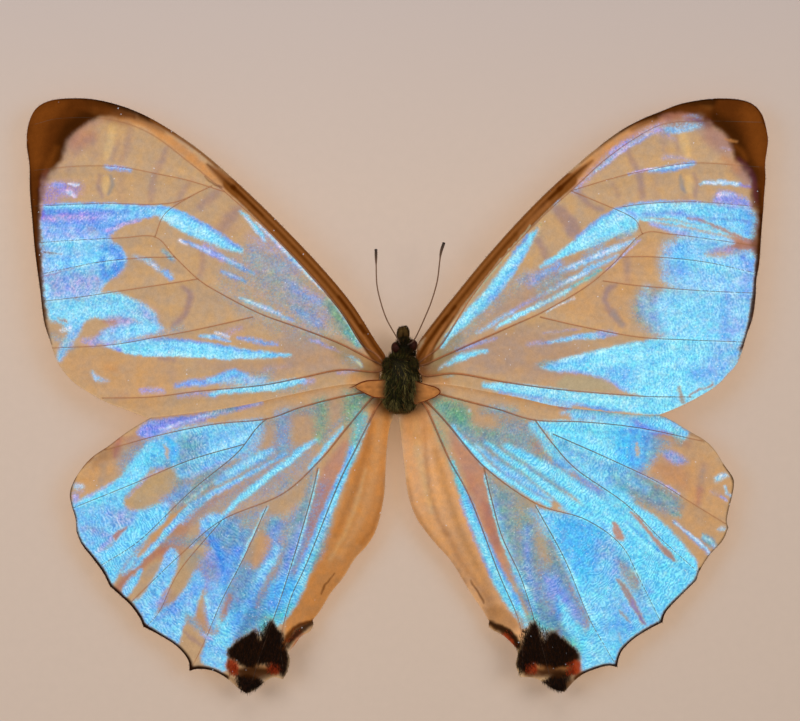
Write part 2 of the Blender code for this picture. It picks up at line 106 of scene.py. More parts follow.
LEFT_FOREWING_VEINS = [
    [(376, 362), (340, 343.5), (300, 328), (260, 313.5), (220, 293), (198, 279), (175, 257),
     (155, 237), (120, 238), (60, 241), (36, 243)],
    [(376, 354), (362, 344), (341.5, 312), (316, 281.5), (275.5, 238), (225, 192), (190, 163), (150, 133.5),
     (110, 119.5), (62, 118), (34, 124)],
    [(225, 192), (190, 181), (160, 174.5), (120, 167), (80, 166), (34, 170)],
    [(212, 186), (190, 197), (165, 214), (155, 237)],
    [(190, 197), (174, 202.5), (150, 204.5), (100, 203.5), (34, 206)],
    [(198, 279), (160, 285), (120, 291), (80, 297), (44, 301)],
    [(175, 257), (140, 258), (100, 262), (60, 270), (42, 274)],
    [(253, 317), (200, 329), (160, 336.5), (110, 345), (52, 348)],
    [(376, 372), (340, 370), (300, 378), (260, 385.5), (200, 391), (150, 397), (102, 398)],
]
RIGHT_FOREWING_VEINS = [
    [(426, 364), (443.7, 356), (478.3, 340.7), (513, 325.3), (545, 310.7), (585, 287.3),
     (613, 264), (642.3, 234), (671.7, 234.3), (718.3, 240.3), (758, 246)],
    [(426, 357), (442.3, 343), (470.3, 298.7), (499.7, 261.3), (541.3, 217.7), (570.7, 191),
     (605, 159.7), (638.3, 136.3), (665, 123.7), (701, 121), (762, 122)],
    [(570.7, 191), (610.3, 179), (643.7, 171), (694.3, 163), (762, 167)],
    [(570.7, 191), (600, 203), (633, 218.3), (642.3, 234)],
    [(622, 207), (640, 204.5), (665, 202.5), (702, 202), (762, 207)],
    [(603, 281), (638.3, 285.7), (699.7, 290.6), (754, 293)],
    [(619, 257), (655, 257), (705, 262), (756, 273)],
    [(540, 317), (582, 326.7), (638, 337), (690, 340), (743, 342)],
    [(426, 376), (457, 373.6), (505, 382), (558.3, 389.3), (640, 396), (694, 397)],
]
LEFT_HINDWING_VEINS = [
    [(374, 391), (340, 397), (300, 407.5), (266, 419), (215, 424), (160, 435), (105, 450)],
    [(266, 419), (255, 430), (235, 455), (190, 492), (140, 540), (100, 566)],
    [(245, 444), (190, 460), (130, 485), (73, 508)],
    [(372, 398), (345, 430), (320, 460), (282, 494), (222, 520), (180, 555), (130, 603)],
    [(318, 468), (309, 505), (285, 585), (262, 650), (250, 688)],
    [(267, 506), (245, 555), (222, 600), (205, 640), (192, 667)],
    [(222, 520), (180, 570), (160, 610), (147, 626)],
    [(374, 412), (355, 450), (338, 485), (308, 560), (290, 600), (281, 640), (283, 672)],
]
RIGHT_HINDWING_VEINS = [
    [(427, 391), (459.7, 399.3), (498.3, 409.3), (535, 420), (585, 422), (640, 428), (702, 441)],
    [(535, 420), (553, 444), (577, 469.8), (625, 503.4), (660, 538), (698, 572)],
    [(553, 434), (607, 457.8), (656.2, 481.2), (688.6, 501), (726, 524)],
    [(428, 402.7), (449, 425.3), (484.3, 466.7), (535.7, 503.3), (585, 519.3), (621, 545),
     (640, 580), (660, 620)],
    [(484, 468), (491.7, 500), (502.3, 537.3), (522, 580.7), (540, 640), (552, 684)],
    [(535, 505), (565, 560), (588.6, 617), (614, 662)],
    [(428, 411), (449, 458.7), (470.3, 498.7), (498.3, 572), (520, 625), (523, 672)],
]

# ------------------------------------------------------------ the body's measures, in millimetres
# Grids are rings and sides.

# (y, half width, lowest z before the flat cut, highest z)
THORAX_STATIONS = [
    (-3.62, 0.45, 2.30, 3.50), (-3.38, 1.25, 1.40, 4.40), (-2.85, 1.88, 0.45, 5.20),
    (-2.15, 2.22, -0.45, 5.85), (-1.15, 2.44, -0.70, 6.30), (0.00, 2.50, -0.75, 6.50),
    (1.10, 2.42, -0.70, 6.32), (1.95, 2.20, -0.40, 5.90), (2.55, 1.92, 0.50, 5.45),
    (3.00, 1.66, 1.30, 5.05), (3.30, 1.36, 1.75, 4.75), (3.48, 0.85, 2.35, 4.35),
]
THORAX_KEEL = 0.42
THORAX_REACH = 3.6
THORAX_CORE = 0.15
THORAX_REST = 0.06
THORAX_FUR_DEPTH = 0.24
THORAX_HAIRS = 6500
THORAX_GRID = (70, 64)
# Where the collar starts and the thorax ends, along y
COLLAR_START = 2.4
THORAX_REAR = -3.5
# Lighter streaks in the thorax's fur: x, lowest y, highest y, half width. Fur under both floors stays dark.
FUR_STREAKS = [(-1.92, -2.6, 1.9, 0.36), (1.60, -2.3, 1.2, 0.30), (0.45, -1.0, 1.9, 0.12),
               (-0.75, -2.9, -1.9, 0.40), (1.00, -2.9, -2.1, 0.40)]
STREAK_FLOOR = 2.5
REAR_FLOOR = 2.0
PALE_SHARE = 0.75

HEAD_CENTRE = (0.48, 4.42, 3.55)
HEAD_RADII = (1.12, 0.86, 1.12)
HEAD_YAW = math.radians(9.0)
HEAD_FUR_DEPTH = 0.20
HEAD_HAIRS = 1800
HEAD_GRID = (40, 48)
POLE_GAP = 0.06
# Its hair grows within this share of the head's half width, between the eyes
EYE_GAP = 0.80
# The hair between head and thorax: middle x, half width, lowest and highest y, lowest and highest z, arch
NAPE_HAIRS = 700
NAPE = (0.42, 1.42, (3.1, 3.6), (3.9, 4.5), 0.9)
EYE_OFFSET = (1.02, 0.02, 0.12)
EYE_RADII = (0.60, 0.72, 0.88)
EYE_GRID = (60, 80)
FACET_ROWS = 30
FACET_RISE = 0.006
PALP_SPREAD = 0.37
PALP_CLOSING = 0.14
PALP_TURN = 0.09
# (distance ahead of the head's centre, z, half width, half height)
PALP_STATIONS = [
    (0.72, 2.32, 0.20, 0.20), (0.98, 2.55, 0.32, 0.32), (1.32, 2.95, 0.375, 0.45),
    (1.66, 3.36, 0.40, 0.50), (1.98, 3.74, 0.375, 0.46), (2.22, 4.00, 0.30, 0.34),
    (2.36, 4.14, 0.17, 0.17),
]
PALP_FUR_DEPTH = 0.03
PALP_HAIRS = 900
PALP_STEP = 0.08
PALP_SIDES = 24

PROBOSCIS_CENTRE = (0.34, 5.20, 1.72)
PROBOSCIS_TURNS = 1.8
PROBOSCIS_INNER = 0.16
PROBOSCIS_PITCH = 0.26
PROBOSCIS_RADIUS = 0.085
PROBOSCIS_SIDES = 12
POINTS_PER_TURN = 60

# Antennae: pixels of the photograph, then height in millimetres
LEFT_ANTENNA = [((400, 344.5), 4.68), ((396.4, 336.8), 4.85), ((387, 320), 5.0), ((381, 303), 5.1),
                ((377, 285), 5.05), ((376.2, 265), 4.9), ((376, 249), 4.8)]
RIGHT_ANTENNA = [((407.5, 345), 4.80), ((412.2, 342), 4.88), ((416.6, 335.6), 4.92),
                 ((424, 319.5), 5.0), ((431, 302.5), 5.1), ((437, 282), 5.05), ((439.6, 262), 4.9),
                 ((441, 252), 4.85), ((444, 242.5), 4.8)]
ANTENNA_STALK = 0.085
ANTENNA_CLUB = 0.19
CLUB_SHARE = 0.16
ANTENNA_JOINT = 0.28
ANTENNA_STEP = 0.045
ANTENNA_SIDES = 10

# Folded legs on the right side: (x, y, z, radius); the left ones mirror them
LEG_PATHS = {
    "foreleg": [(0.55, 3.62, 1.20, 0.16), (0.66, 4.05, 1.26, 0.16), (0.76, 4.45, 1.40, 0.14),
                (0.83, 4.60, 1.66, 0.13), (0.83, 4.35, 1.92, 0.12), (0.82, 3.85, 2.00, 0.08)],
    "midleg": [(1.78, 0.30, 0.62, 0.24), (1.90, 1.50, 0.58, 0.23), (1.98, 3.00, 0.66, 0.19),
               (2.10, 3.42, 0.90, 0.17), (2.36, 3.30, 1.38, 0.16), (2.62, 1.60, 1.92, 0.15),
               (2.70, -0.40, 2.06, 0.12), (2.66, -1.80, 2.00, 0.10), (2.50, -3.30, 1.86, 0.07)],
    "hindleg": [(1.80, -0.60, 0.62, 0.25), (1.92, -1.80, 0.58, 0.23), (1.98, -3.10, 0.66, 0.19),
                (2.10, -3.48, 0.88, 0.17), (2.34, -3.20, 1.16, 0.16), (2.62, -1.60, 1.28, 0.14),
                (2.68, 0.20, 1.30, 0.12), (2.66, 1.50, 1.18, 0.10), (2.56, 2.80, 1.02, 0.07)],
}
# Where along a leg the shin and the foot begin
SHIN = 0.36
FOOT = 0.62
FOOT_JOINTS = 5
LEG_STEP = 0.09
LEG_SIDES = 12
SPINES = 120
CLAW_LENGTH = 0.16
CLAW_SPREAD = 0.09
CLAW_RADII = (0.035, 0.006)
CLAW_POINTS = 7
CLAW_SIDES = 6

# The plates at the wings' hinges: outlines and ridges, in pixels
HINGE_PLATES = {
    "left": [(387, 380), (374, 380.4), (366, 381.2), (356, 386.5), (364, 392.6), (371, 396), (387, 397.5)],
    "right": [(414, 381), (421, 383), (428, 385), (435, 387), (440, 392), (430, 399), (421, 402.5),
              (414, 403)],
}
HINGE_RIDGES = {
    "left": [
        [(387, 379.5), (381.3, 380), (374, 380.2), (366.3, 380.9), (359, 383.3), (353.7, 386.4), (349, 388)],
        [(355, 387.5), (358.4, 389.6), (364, 392.6), (371, 396), (376, 397.3), (387, 397.5)],
    ],
    "right": [
        [(414, 381), (421, 383), (428, 385), (435, 387), (439, 389.5), (440, 392.5), (436, 396.2),
         (430, 399), (424, 401.3), (414, 403.5)],
    ],
}
RIDGE_RADIUS = 0.07
RIDGE_LIFT = 0.08
RIDGE_STEP = 0.7
RIDGE_SIDES = 8
PLATE_HEIGHT = 4.86
PLATE_RISE = 0.16
PLATE_EDGE = 0.02
PLATE_STEP = 1.0
LOBE_CENTRE = (1.62, 2.45, 4.75)
LOBE_RADII = (0.42, 0.72, 0.45)
LOBE_HAIRS = 520

# Hair: shortest, longest and radius
THORAX_HAIR = (0.50, 0.95, 0.020)
HEAD_HAIR = (0.35, 0.75, 0.018)
NAPE_HAIR = (0.40, 0.80, 0.018)
LOBE_HAIR = (0.35, 0.65, 0.018)
PALP_HAIR = (0.14, 0.24, 0.016)
FRINGE_HAIR = (0.20, 0.38, 0.022)
TUFT_RADIUS = 0.019
SPINE_RADIUS = 0.014
# Points of one hair, and how near the ground hair may come
HAIR_POINTS = 10
LOWEST_HAIR = 0.02 * MM
# The hair's colours and their shares
THORAX_MIX = (("fur_black", "fur_olive", "fur_green", "fur_brown", "fur_grey"),
              (0.36, 0.34, 0.12, 0.10, 0.08))
HEAD_MIX = (("fur_black", "fur_olive", "fur_brown"), (0.80, 0.08, 0.12))
LOBE_MIX = (("fur_black", "fur_olive", "fur_brown"), (0.55, 0.30, 0.15))
PALP_MIX = (("palp", "fur_brown"), (0.7, 0.3))
DARK_MIX = (("tuft_black", "tuft_brown"), (0.75, 0.25))
RED_MIX = (("tuft_red",), (1.0,))
RUSTY_MIX = (("tuft_brown", "tuft_red"), (0.75, 0.25))

# Tufts on the left hindwing: outline in pixels, mix, length, lean and count. The right hindwing's mirror
# them about TUFT_MIRROR, and TUFT_THINNING is how far their edges thin out, in pixels.
TUFT_MIRROR = 402.0
TUFT_THINNING = 5.0
TUFTS = [
    ([(226, 650), (240, 636), (256, 628), (270, 617), (284, 632), (290, 655), (287, 676), (278, 672),
      (262, 664), (246, 668), (232, 660)], DARK_MIX, 0.55, (0.15, -0.9), 1750),
    ([(234, 674), (262, 678), (266, 686), (248, 695), (238, 688)], DARK_MIX, 0.55, (0.1, -0.9), 560),
    ([(228, 660), (238, 662), (238, 676), (228, 675)], RED_MIX, 0.4, (0.1, -0.8), 120),
    ([(268, 663), (280, 663), (279, 674), (267, 673)], RED_MIX, 0.4, (0.1, -0.8), 110),
    ([(283, 646), (294, 628), (312, 620), (313, 626), (298, 636), (290, 648)],
     RUSTY_MIX, 0.60, (0.5, -0.7), 300),
]

# ------------------------------------------------------------ the wings' fineness, in pixels
RIM_STEP = 1.2
UPPER_STEP = 1.15
LOWER_STEP = 3.6
COARSE_RIM_STEP = 6.0
PATCH_STEP = 3.0
STREAK_STEP = 4.0
VEIN_STEP = 2.5
CREST_STEP = 8.0
FOLD_STEP = 12.0
FRINGE_STEP = 1.15
FRINGE_INSET = 1.6

# Where scales, ripples and veins fan out from: how far aside of the origin, and y for each layer of wings
HINGE_ASIDE = 24
HINGE_Y = {1: 372.0, -1: 398.0}

# Ripples of the scales, and the noises (amount, size, seed) that make them sway
RIPPLE = 0.017 * MM
GRAIN = 0.020 * MM
WAVELENGTH = 3.2
SWAYS = ((2.4, 15.0, 31), (1.2, 5.0, 32), (0.7, 2.6, 35))
FOREWING_FAN = 9.0
FOREWING_RIPPLE = 0.6

# Marks whose outlines stay sharp, and how much softer the scales' patches are than drawn
STEADY = ("edge", "costa", "costa_dark", "costa_light")
DUSTY = 1.35
DUSTY_MARGIN = 0.5

# How far outlines wander, and the noise's size and first seed
WANDER = (1.6, 5.0, 11)
FINE_WANDER = (0.7, 1.7, 13)
UNDER_WANDER = (1.8, 6.0, 21)

# Rings of an eyespot of the underside (share of its radius, colour), and the marks that are bands there
EYESPOT_RINGS = ((1.5, "band"), (1.2, "pale"), (0.8, "border_dark"), (0.3, "white"))
UNDER_BANDS = ("mauve", "grey", "rose")

# Drifts of colour: red, green and blue shares, and the noises (amount, size, seed) of the shine's hue
WARM_DRIFT = (0.16, 0.05, -0.22)
HUE_DRIFT = (3.2, 1.2, 0.4)
HUE_NOISES = ((0.16, 7.0, 15), (0.14, 2.6, 16))

# How strongly scales are worn off and veins are shaded, and the strength of the painted highlight
# along one side of each vein
WORN = 0.15
SHADED_VEIN = 0.7
VEIN_HIGHLIGHT = 0.65

# The membrane's thickness, and the veins' radii at the hinge and VEIN_RUN pixels away. Veins that start
# within VEIN_START pixels of the hinge are drawn on to the thorax's side, where they draw together.
MEMBRANE = 0.11 * MM
VEIN_BASE = 0.15 * MM
VEIN_TIP = 0.062 * MM
VEIN_RUN = 340
VEIN_SIDES = 6
VEIN_START = 45
ROOT_ASIDE = 17.5
ROOT_AHEAD = 4
ROOT_SPREAD = 0.3

# ------------------------------------------------------------ surfaces, floor, light and camera
SCALES_PER_METRE = 7800.0
# How the scales thin out: in part evenly, in part one by one
EVEN_COVER = 0.62
SPECKLED_COVER = 0.38
SPECKLE_REACH = 0.62
SPECKLE_CONTRAST = 3.2
# Painted shade in the scales' ripple troughs and painted highlight on their crests, over random lighter and
# darker patches of scales
RIPPLE_SHADING = 0.42
SCALE_DARK_AND_TROUGH_SHADE = (0.52, 0.74, 0.88, 1.0)
SCALE_LIGHT_AND_CREST_HIGHLIGHT = (1.50, 1.24, 1.08, 1.0)
# Painted glints: some single scales, and rarer stray ones, are lifted towards pale blue white
GLINT_HIGHLIGHT_TONE = (0.80, 0.92, 1.0, 1.0)
STRAY_GLINT_TONE = (0.75, 0.80, 0.90, 1.0)
WING_SHADOW = (1.0, 0.90, 0.74, 1.0)
FACETS_PER_METRE = 21000.0
EYE_DARK = (0.008, 0.003, 0.002, 1.0)
EYE_LIGHT = (0.044, 0.010, 0.006, 1.0)
FLOOR_REACH = 1.2
CARD_COOL = (0.556, 0.445, 0.385, 1.0)
CARD_WARM = (0.586, 0.450, 0.352, 1.0)
# The card's colour in its painted shade at the far end
CARD_FAR_SHADE = (0.500, 0.415, 0.380, 1.0)
# Ramps of painted uneven light over the card, which darken it at its far end, to the right and towards
# the bottom: where they start and end, and their values there
CARD_FAR_SHADE_RAMP = {"From_Min": 0.022, "From_Max": 0.048}
CARD_SIDE_SHADE_RAMP = {"From_Min": -0.01, "From_Max": 0.05, "To_Min": 1.01, "To_Max": 0.96}
CARD_LOW_SHADE_RAMP = {"From_Min": -0.04, "From_Max": 0.01, "To_Min": 0.98, "To_Max": 1.02}
VIEW_PIXELS = (800, 721)
CAMERA_HEIGHT = 0.8
SHARP_HEIGHT = 3.6 * MM
AIM = (0.0, 0.0, 0.003)
WORLD_COLOUR = (1.0, 1.0, 1.0, 1.0)
WORLD_STRENGTH = 0.27
# Name, place, size in metres, watts and colour
LIGHTS = [
    ("left_softbox", (-0.55, 0.15, 0.55), 0.5, 2.95, (1.0, 0.99, 0.97)),
    ("right_softbox", (0.55, 0.15, 0.55), 0.5, 2.95, (1.0, 0.99, 0.97)),
    ("rear_softbox", (0.0, 0.6, 0.5), 0.5, 1.8, (1.0, 0.98, 0.95)),
]

# ------------------------------------------------------------ colours
COLOURS = {
    # The wings' ground and its bands
    "membrane": (190, 155, 118), "warm": (204, 150, 98), "pale": (208, 172, 122),
    "mauve": (158, 128, 122), "blush": (188, 130, 108), "apricot": (220, 164, 114),
    "rose": (168, 108, 96), "grey": (150, 140, 135), "olive": (172, 158, 128),
    "orange": (196, 132, 74), "moss": (122, 112, 78), "ochre": (158, 108, 62), "base": (94, 54, 24),
    "under": (196, 176, 142), "band": (124, 92, 66),
    # Tips, margins and veins
    "border": (86, 42, 10), "border_dark": (52, 24, 4), "border_light": (118, 62, 18),
    "costa": (120, 69, 27), "costa_dark": (72, 30, 1), "costa_light": (152, 96, 52),
    "edge": (34, 16, 6), "plum": (92, 44, 62), "black": (34, 18, 8), "red": (150, 52, 20),
    "vein": (172, 120, 84), "vein_base": (178, 110, 64), "vein_shade": (130, 80, 46),
    # Pearly scales, their colours in part painted sheen; bright and glint are painted highlights, and so is
    # white on the upper side
    "azure": (84, 186, 248), "mist": (112, 162, 208), "pearl": (178, 208, 236),
    "cyan": (128, 216, 250), "bright": (172, 236, 255), "sky": (134, 200, 246),
    "blue": (104, 164, 240), "deep": (70, 146, 232), "periwinkle": (142, 158, 236),
    "violet": (118, 112, 226), "indigo": (74, 70, 200), "lilac": (186, 172, 228),
    "lavender": (158, 156, 212), "teal": (116, 160, 140), "sea": (92, 188, 196),
    "steel": (76, 128, 178), "haze": (128, 158, 178), "white": (222, 232, 250),
    "glint": (206, 214, 178),
    # Body, hair and limbs
    "skin": (26, 22, 9), "fur_black": (26, 22, 8), "fur_olive": (60, 55, 20),
    "fur_green": (42, 46, 16), "fur_grey": (124, 110, 62), "fur_brown": (84, 54, 24),
    "fur_ochre": (140, 98, 48), "palp": (112, 84, 44), "tuft_black": (20, 9, 4),
    "tuft_brown": (48, 23, 10), "tuft_red": (150, 48, 16), "ridge": (104, 46, 18),
    "amber": (166, 106, 54), "stalk": (112, 80, 58), "club": (26, 18, 14), "leg": (104, 72, 44),
}


def linear(colour):
    """A named colour as linear light."""
    values = np.array(COLOURS[colour]) / 255
    return np.where(values <= 0.04045, values / 12.92, ((values + 0.055) / 1.055) ** 2.4)


def plain(colour, points):
    """A named colour for each point."""
    return np.tile(linear(colour), (len(points), 1))


# ------------------------------------------------------------ curves, distances and noise

def unit(vectors):
    """Each row's direction, with a length of one."""
    return vectors / np.linalg.norm(vectors, axis=1, keepdims=True)


def circle(sides):
    """Even angles, one for each side."""
    return 2 * np.pi * np.arange(sides) / sides


def catmull_rom(points, step):
    """Points about a step apart on a smooth curve through the given ones."""
    points = np.asarray(points, float)
    ends = np.vstack([2 * points[0] - points[1], points, 2 * points[-1] - points[-2]])
    curve = []
    for before, start, end, after in zip(ends, ends[1:], ends[2:], ends[3:]):
        pieces = max(1, round(np.linalg.norm((end - start)[:2]) / step))
        t = (np.arange(pieces) / pieces)[:, None]
        curve.append(0.5 * (2 * start + (end - before) * t
                            + (2 * before - 5 * start + 4 * end - after) * t ** 2
                            + (3 * start - before - 3 * end + after) * t ** 3))
    return np.vstack(curve + [points[-1:]])


def line_distance(points, line):
    """The distance of each point from a line, and how far along the line's points it is nearest."""
    nearest = np.full(len(points), np.inf)
    place = np.zeros(len(points))
    for index, (start, end) in enumerate(zip(line, line[1:])):
        along = end - start
        share = np.clip((points - start) @ along / max(along @ along, 1e-12), 0, 1)
        distance = np.hypot(*(points - start - share[:, None] * along).T)
        closer = distance < nearest
        nearest[closer] = distance[closer]
        place[closer] = index + share[closer]
    return nearest, place


def rim_distance(points, rim):
    """The distance of each point from a closed outline."""
    return line_distance(points, np.vstack([rim, rim[:1]]))[0]


def inside(points, rim):
    """Which points lie inside a closed outline."""
    odd = np.zeros(len(points), bool)
    for start, end in zip(rim, np.roll(rim, -1, axis=0)):
        if start[1] == end[1]:
            continue
        spans = (start[1] > points[:, 1]) != (end[1] > points[:, 1])
        crossing = start[0] + (points[:, 1] - start[1]) / (end[1] - start[1]) * (end[0] - start[0])
        odd ^= spans & (crossing > points[:, 0])
    return odd


def lattice(x, y, seed):
    """A repeatable random number from 0 to 1 for each whole x and y."""
    mixed = (x.astype(np.int64) * 374761393 + y.astype(np.int64) * 668265263 + seed * 974634777)
    mixed = (mixed ^ (mixed >> 13)) * 1274126177 & 0x7FFFFFFF
    mixed = (mixed ^ (mixed >> 16)) * 1911520717 & 0x7FFFFFFF
    return (mixed >> 7 & 0xFFFF) / 65535.0


def noise(points, size, seed):
    """Smooth random values from 0 to 1, with bumps about size wide; size may be (across, along)."""
    u, v = points[:, 0] / np.broadcast_to(size, 2)[0], points[:, 1] / np.broadcast_to(size, 2)[1]
    x, y = np.floor(u), np.floor(v)
    a, b = u - x, v - y
    a, b = a * a * (3 - 2 * a), b * b * (3 - 2 * b)
    low = lattice(x, y, seed) * (1 - a) + lattice(x + 1, y, seed) * a
    high = lattice(x, y + 1, seed) * (1 - a) + lattice(x + 1, y + 1, seed) * a
    return low * (1 - b) + high * b


def wander(pixels, reach, size, seed):
    """Smooth random steps, which make an outline uneven."""
    return reach * (np.stack([noise(pixels, size, seed), noise(pixels, size, seed + 1)], axis=1) - 0.5)


def smooth_step(values):
    """Values from 0 to 1, eased at both ends."""
    values = np.clip(values, 0, 1)
    return values * values * (3 - 2 * values)


# ------------------------------------------------------------ marks on the wings
# A mark is (kind, colour, strength, softness in pixels, points). A streak's points are
# (x, y, half width), and a patch's points are its closed outline. Each mark lies over those before it.
# PIGMENT colours the membrane, SHINE is where the pearly scales lie and in which colour, and BARE takes
# the scales away again and colours what is left. SHINE's colours are in part painted sheen: the pearly
# blue is the scales' own, and its brighter and darker patches are painted as the light fell. Its bright
# and white marks, and the glint marks in SHINE and BARE, are painted highlights.

def streak(colour, points, strength=1.0, soft=1.6):
    return "streak", colour, strength, soft, points


def patch(colour, points, strength=1.0, soft=2.5):
    return "patch", colour, strength, soft, points


def rim_streak(colour, run, start, end, inset, width, strength=1.0, soft=1.4):
    """A streak inside a run of an outline, between two lengths along it. Inset and width are single values
    or pairs for its start and end."""
    curve = catmull_rom(run, PATCH_STEP)
    travelled = np.append(0, np.cumsum(np.hypot(*np.diff(curve, axis=0).T)))
    places = np.linspace(start, end, 2 + int((end - start) / 14))
    x, y = (np.interp(places, travelled, curve[:, i]) for i in (0, 1))
    ahead = unit(np.gradient(np.stack([x, y], axis=1), axis=0))
    side = 1 if run[0][0] > ORIGIN_PIXEL[0] else -1
    depth, widths = (np.interp(places, (start, end), np.broadcast_to(value, 2)) for value in (inset, width))
    points = [(px - dy * side * d, py + dx * side * d, w)
              for px, py, dx, dy, d, w in zip(x, y, *ahead.T, depth, widths)]
    return streak(colour, points, strength, soft)


def cover_of(mark, pixels):
    """How much of each place the mark covers, from 0 to 1."""
    kind, _, strength, soft, points = mark
    if kind == "patch":
        rim = catmull_rom(list(points) + [points[0]], PATCH_STEP)[:-1]
        closed = np.vstack([rim, rim[:1]])
        low, high = rim.min(axis=0) - 2 * soft, rim.max(axis=0) + 2 * soft
    else:
        closed = catmull_rom(points, STREAK_STEP)
        reach = closed[:, 2].max() + 2 * soft
        low, high = closed[:, :2].min(axis=0) - reach, closed[:, :2].max(axis=0) + reach
    cover = np.zeros(len(pixels))
    near = np.all((pixels > low) & (pixels < high), axis=1)
    if not near.any():
        return cover
    places = pixels[near]
    if kind == "patch":
        distance = line_distance(places, closed)[0]
        depth = np.where(inside(places, rim), distance, -distance)
    else:
        distance, place = line_distance(places, closed[:, :2])
        width = np.interp(place, np.arange(len(closed)), np.maximum(closed[:, 2], 0))
        depth = width - distance
    cover[near] = strength * smooth_step(0.5 + 0.5 * depth / soft)
    return cover


LEFT_FOREWING_PIGMENT = [
    patch("warm", [(60, 352), (120, 352), (180, 362), (150, 412), (95, 392), (64, 370)], 0.35, 12),
    patch("orange", [(100, 113), (112, 112), (165, 132), (212, 170), (238, 196), (226, 192), (190, 162),
                     (150, 132), (118, 119)], 0.75, 3),
    streak("pale", [(113, 126, 4.5), (110, 142, 4), (106, 156, 3)], 0.75, 2),
    streak("mauve", [(94, 126, 4), (95, 156, 5)], 0.30, 5),
    streak("mauve", [(130, 130, 3), (127, 146, 4), (121, 160, 3)], 0.50, 4),
    streak("mauve", [(118, 142, 2), (113, 158, 2)], 0.45, 3),
    streak("mauve", [(167, 148, 2), (162, 160, 3.5), (154, 178, 3), (151, 200, 3)], 0.60, 3.5),
    streak("mauve", [(192, 180, 2), (184, 190, 3), (177, 204, 3)], 0.50, 3),
    streak("mauve", [(220, 190, 3), (210, 199, 4), (200, 207, 3)], 0.65, 4),
    streak("mauve", [(121, 172, 3), (121, 200, 4)], 0.25, 4),
    streak("mauve", [(100, 176, 2), (98, 186, 2.5), (102, 196, 2)], 0.60, 2.5),
    streak("pale", [(106, 178, 2.5), (106, 190, 3)], 0.85, 2),
    streak("grey", [(110, 175, 1), (112, 184, 2.5), (109, 194, 1.5)], 0.90, 2),
    patch("rose", [(66, 136), (82, 130), (96, 134), (88, 146), (72, 152)], 0.55, 7),
    streak("mauve", [(240, 206, 2), (232, 216, 6), (222, 228, 5), (214, 234, 3)], 0.75, 5),
    streak("mauve", [(203, 254, 3), (201, 274, 2.5)], 0.65, 4),
    streak("mauve", [(183, 287, 1.5), (190, 294, 3), (189, 304, 3), (184, 315, 3), (173, 327, 2.5)],
           0.85, 3),
    streak("mauve", [(160, 358, 2.5), (174, 360, 2)], 0.60, 3),
    streak("mauve", [(172, 372, 3), (180, 386, 3)], 0.20, 5),
    streak("orange", [(108, 367, 3), (116, 369, 2)], 0.40, 5),
    patch("mauve", [(285, 330), (330, 345), (350, 366), (300, 374), (230, 372), (200, 362), (270, 360)],
          0.35, 9),
    streak("mauve", [(118, 398, 4), (126, 396, 3)], 0.35, 4),
    streak("border", [(222, 188, 1), (210, 182, 0.8), (205, 176, 0.5)], 0.7, 1.2),
    patch("orange", [(380, 362), (362, 350), (350, 352), (362, 366), (352, 372), (350, 384), (380, 384)],
          0.55, 5),
]

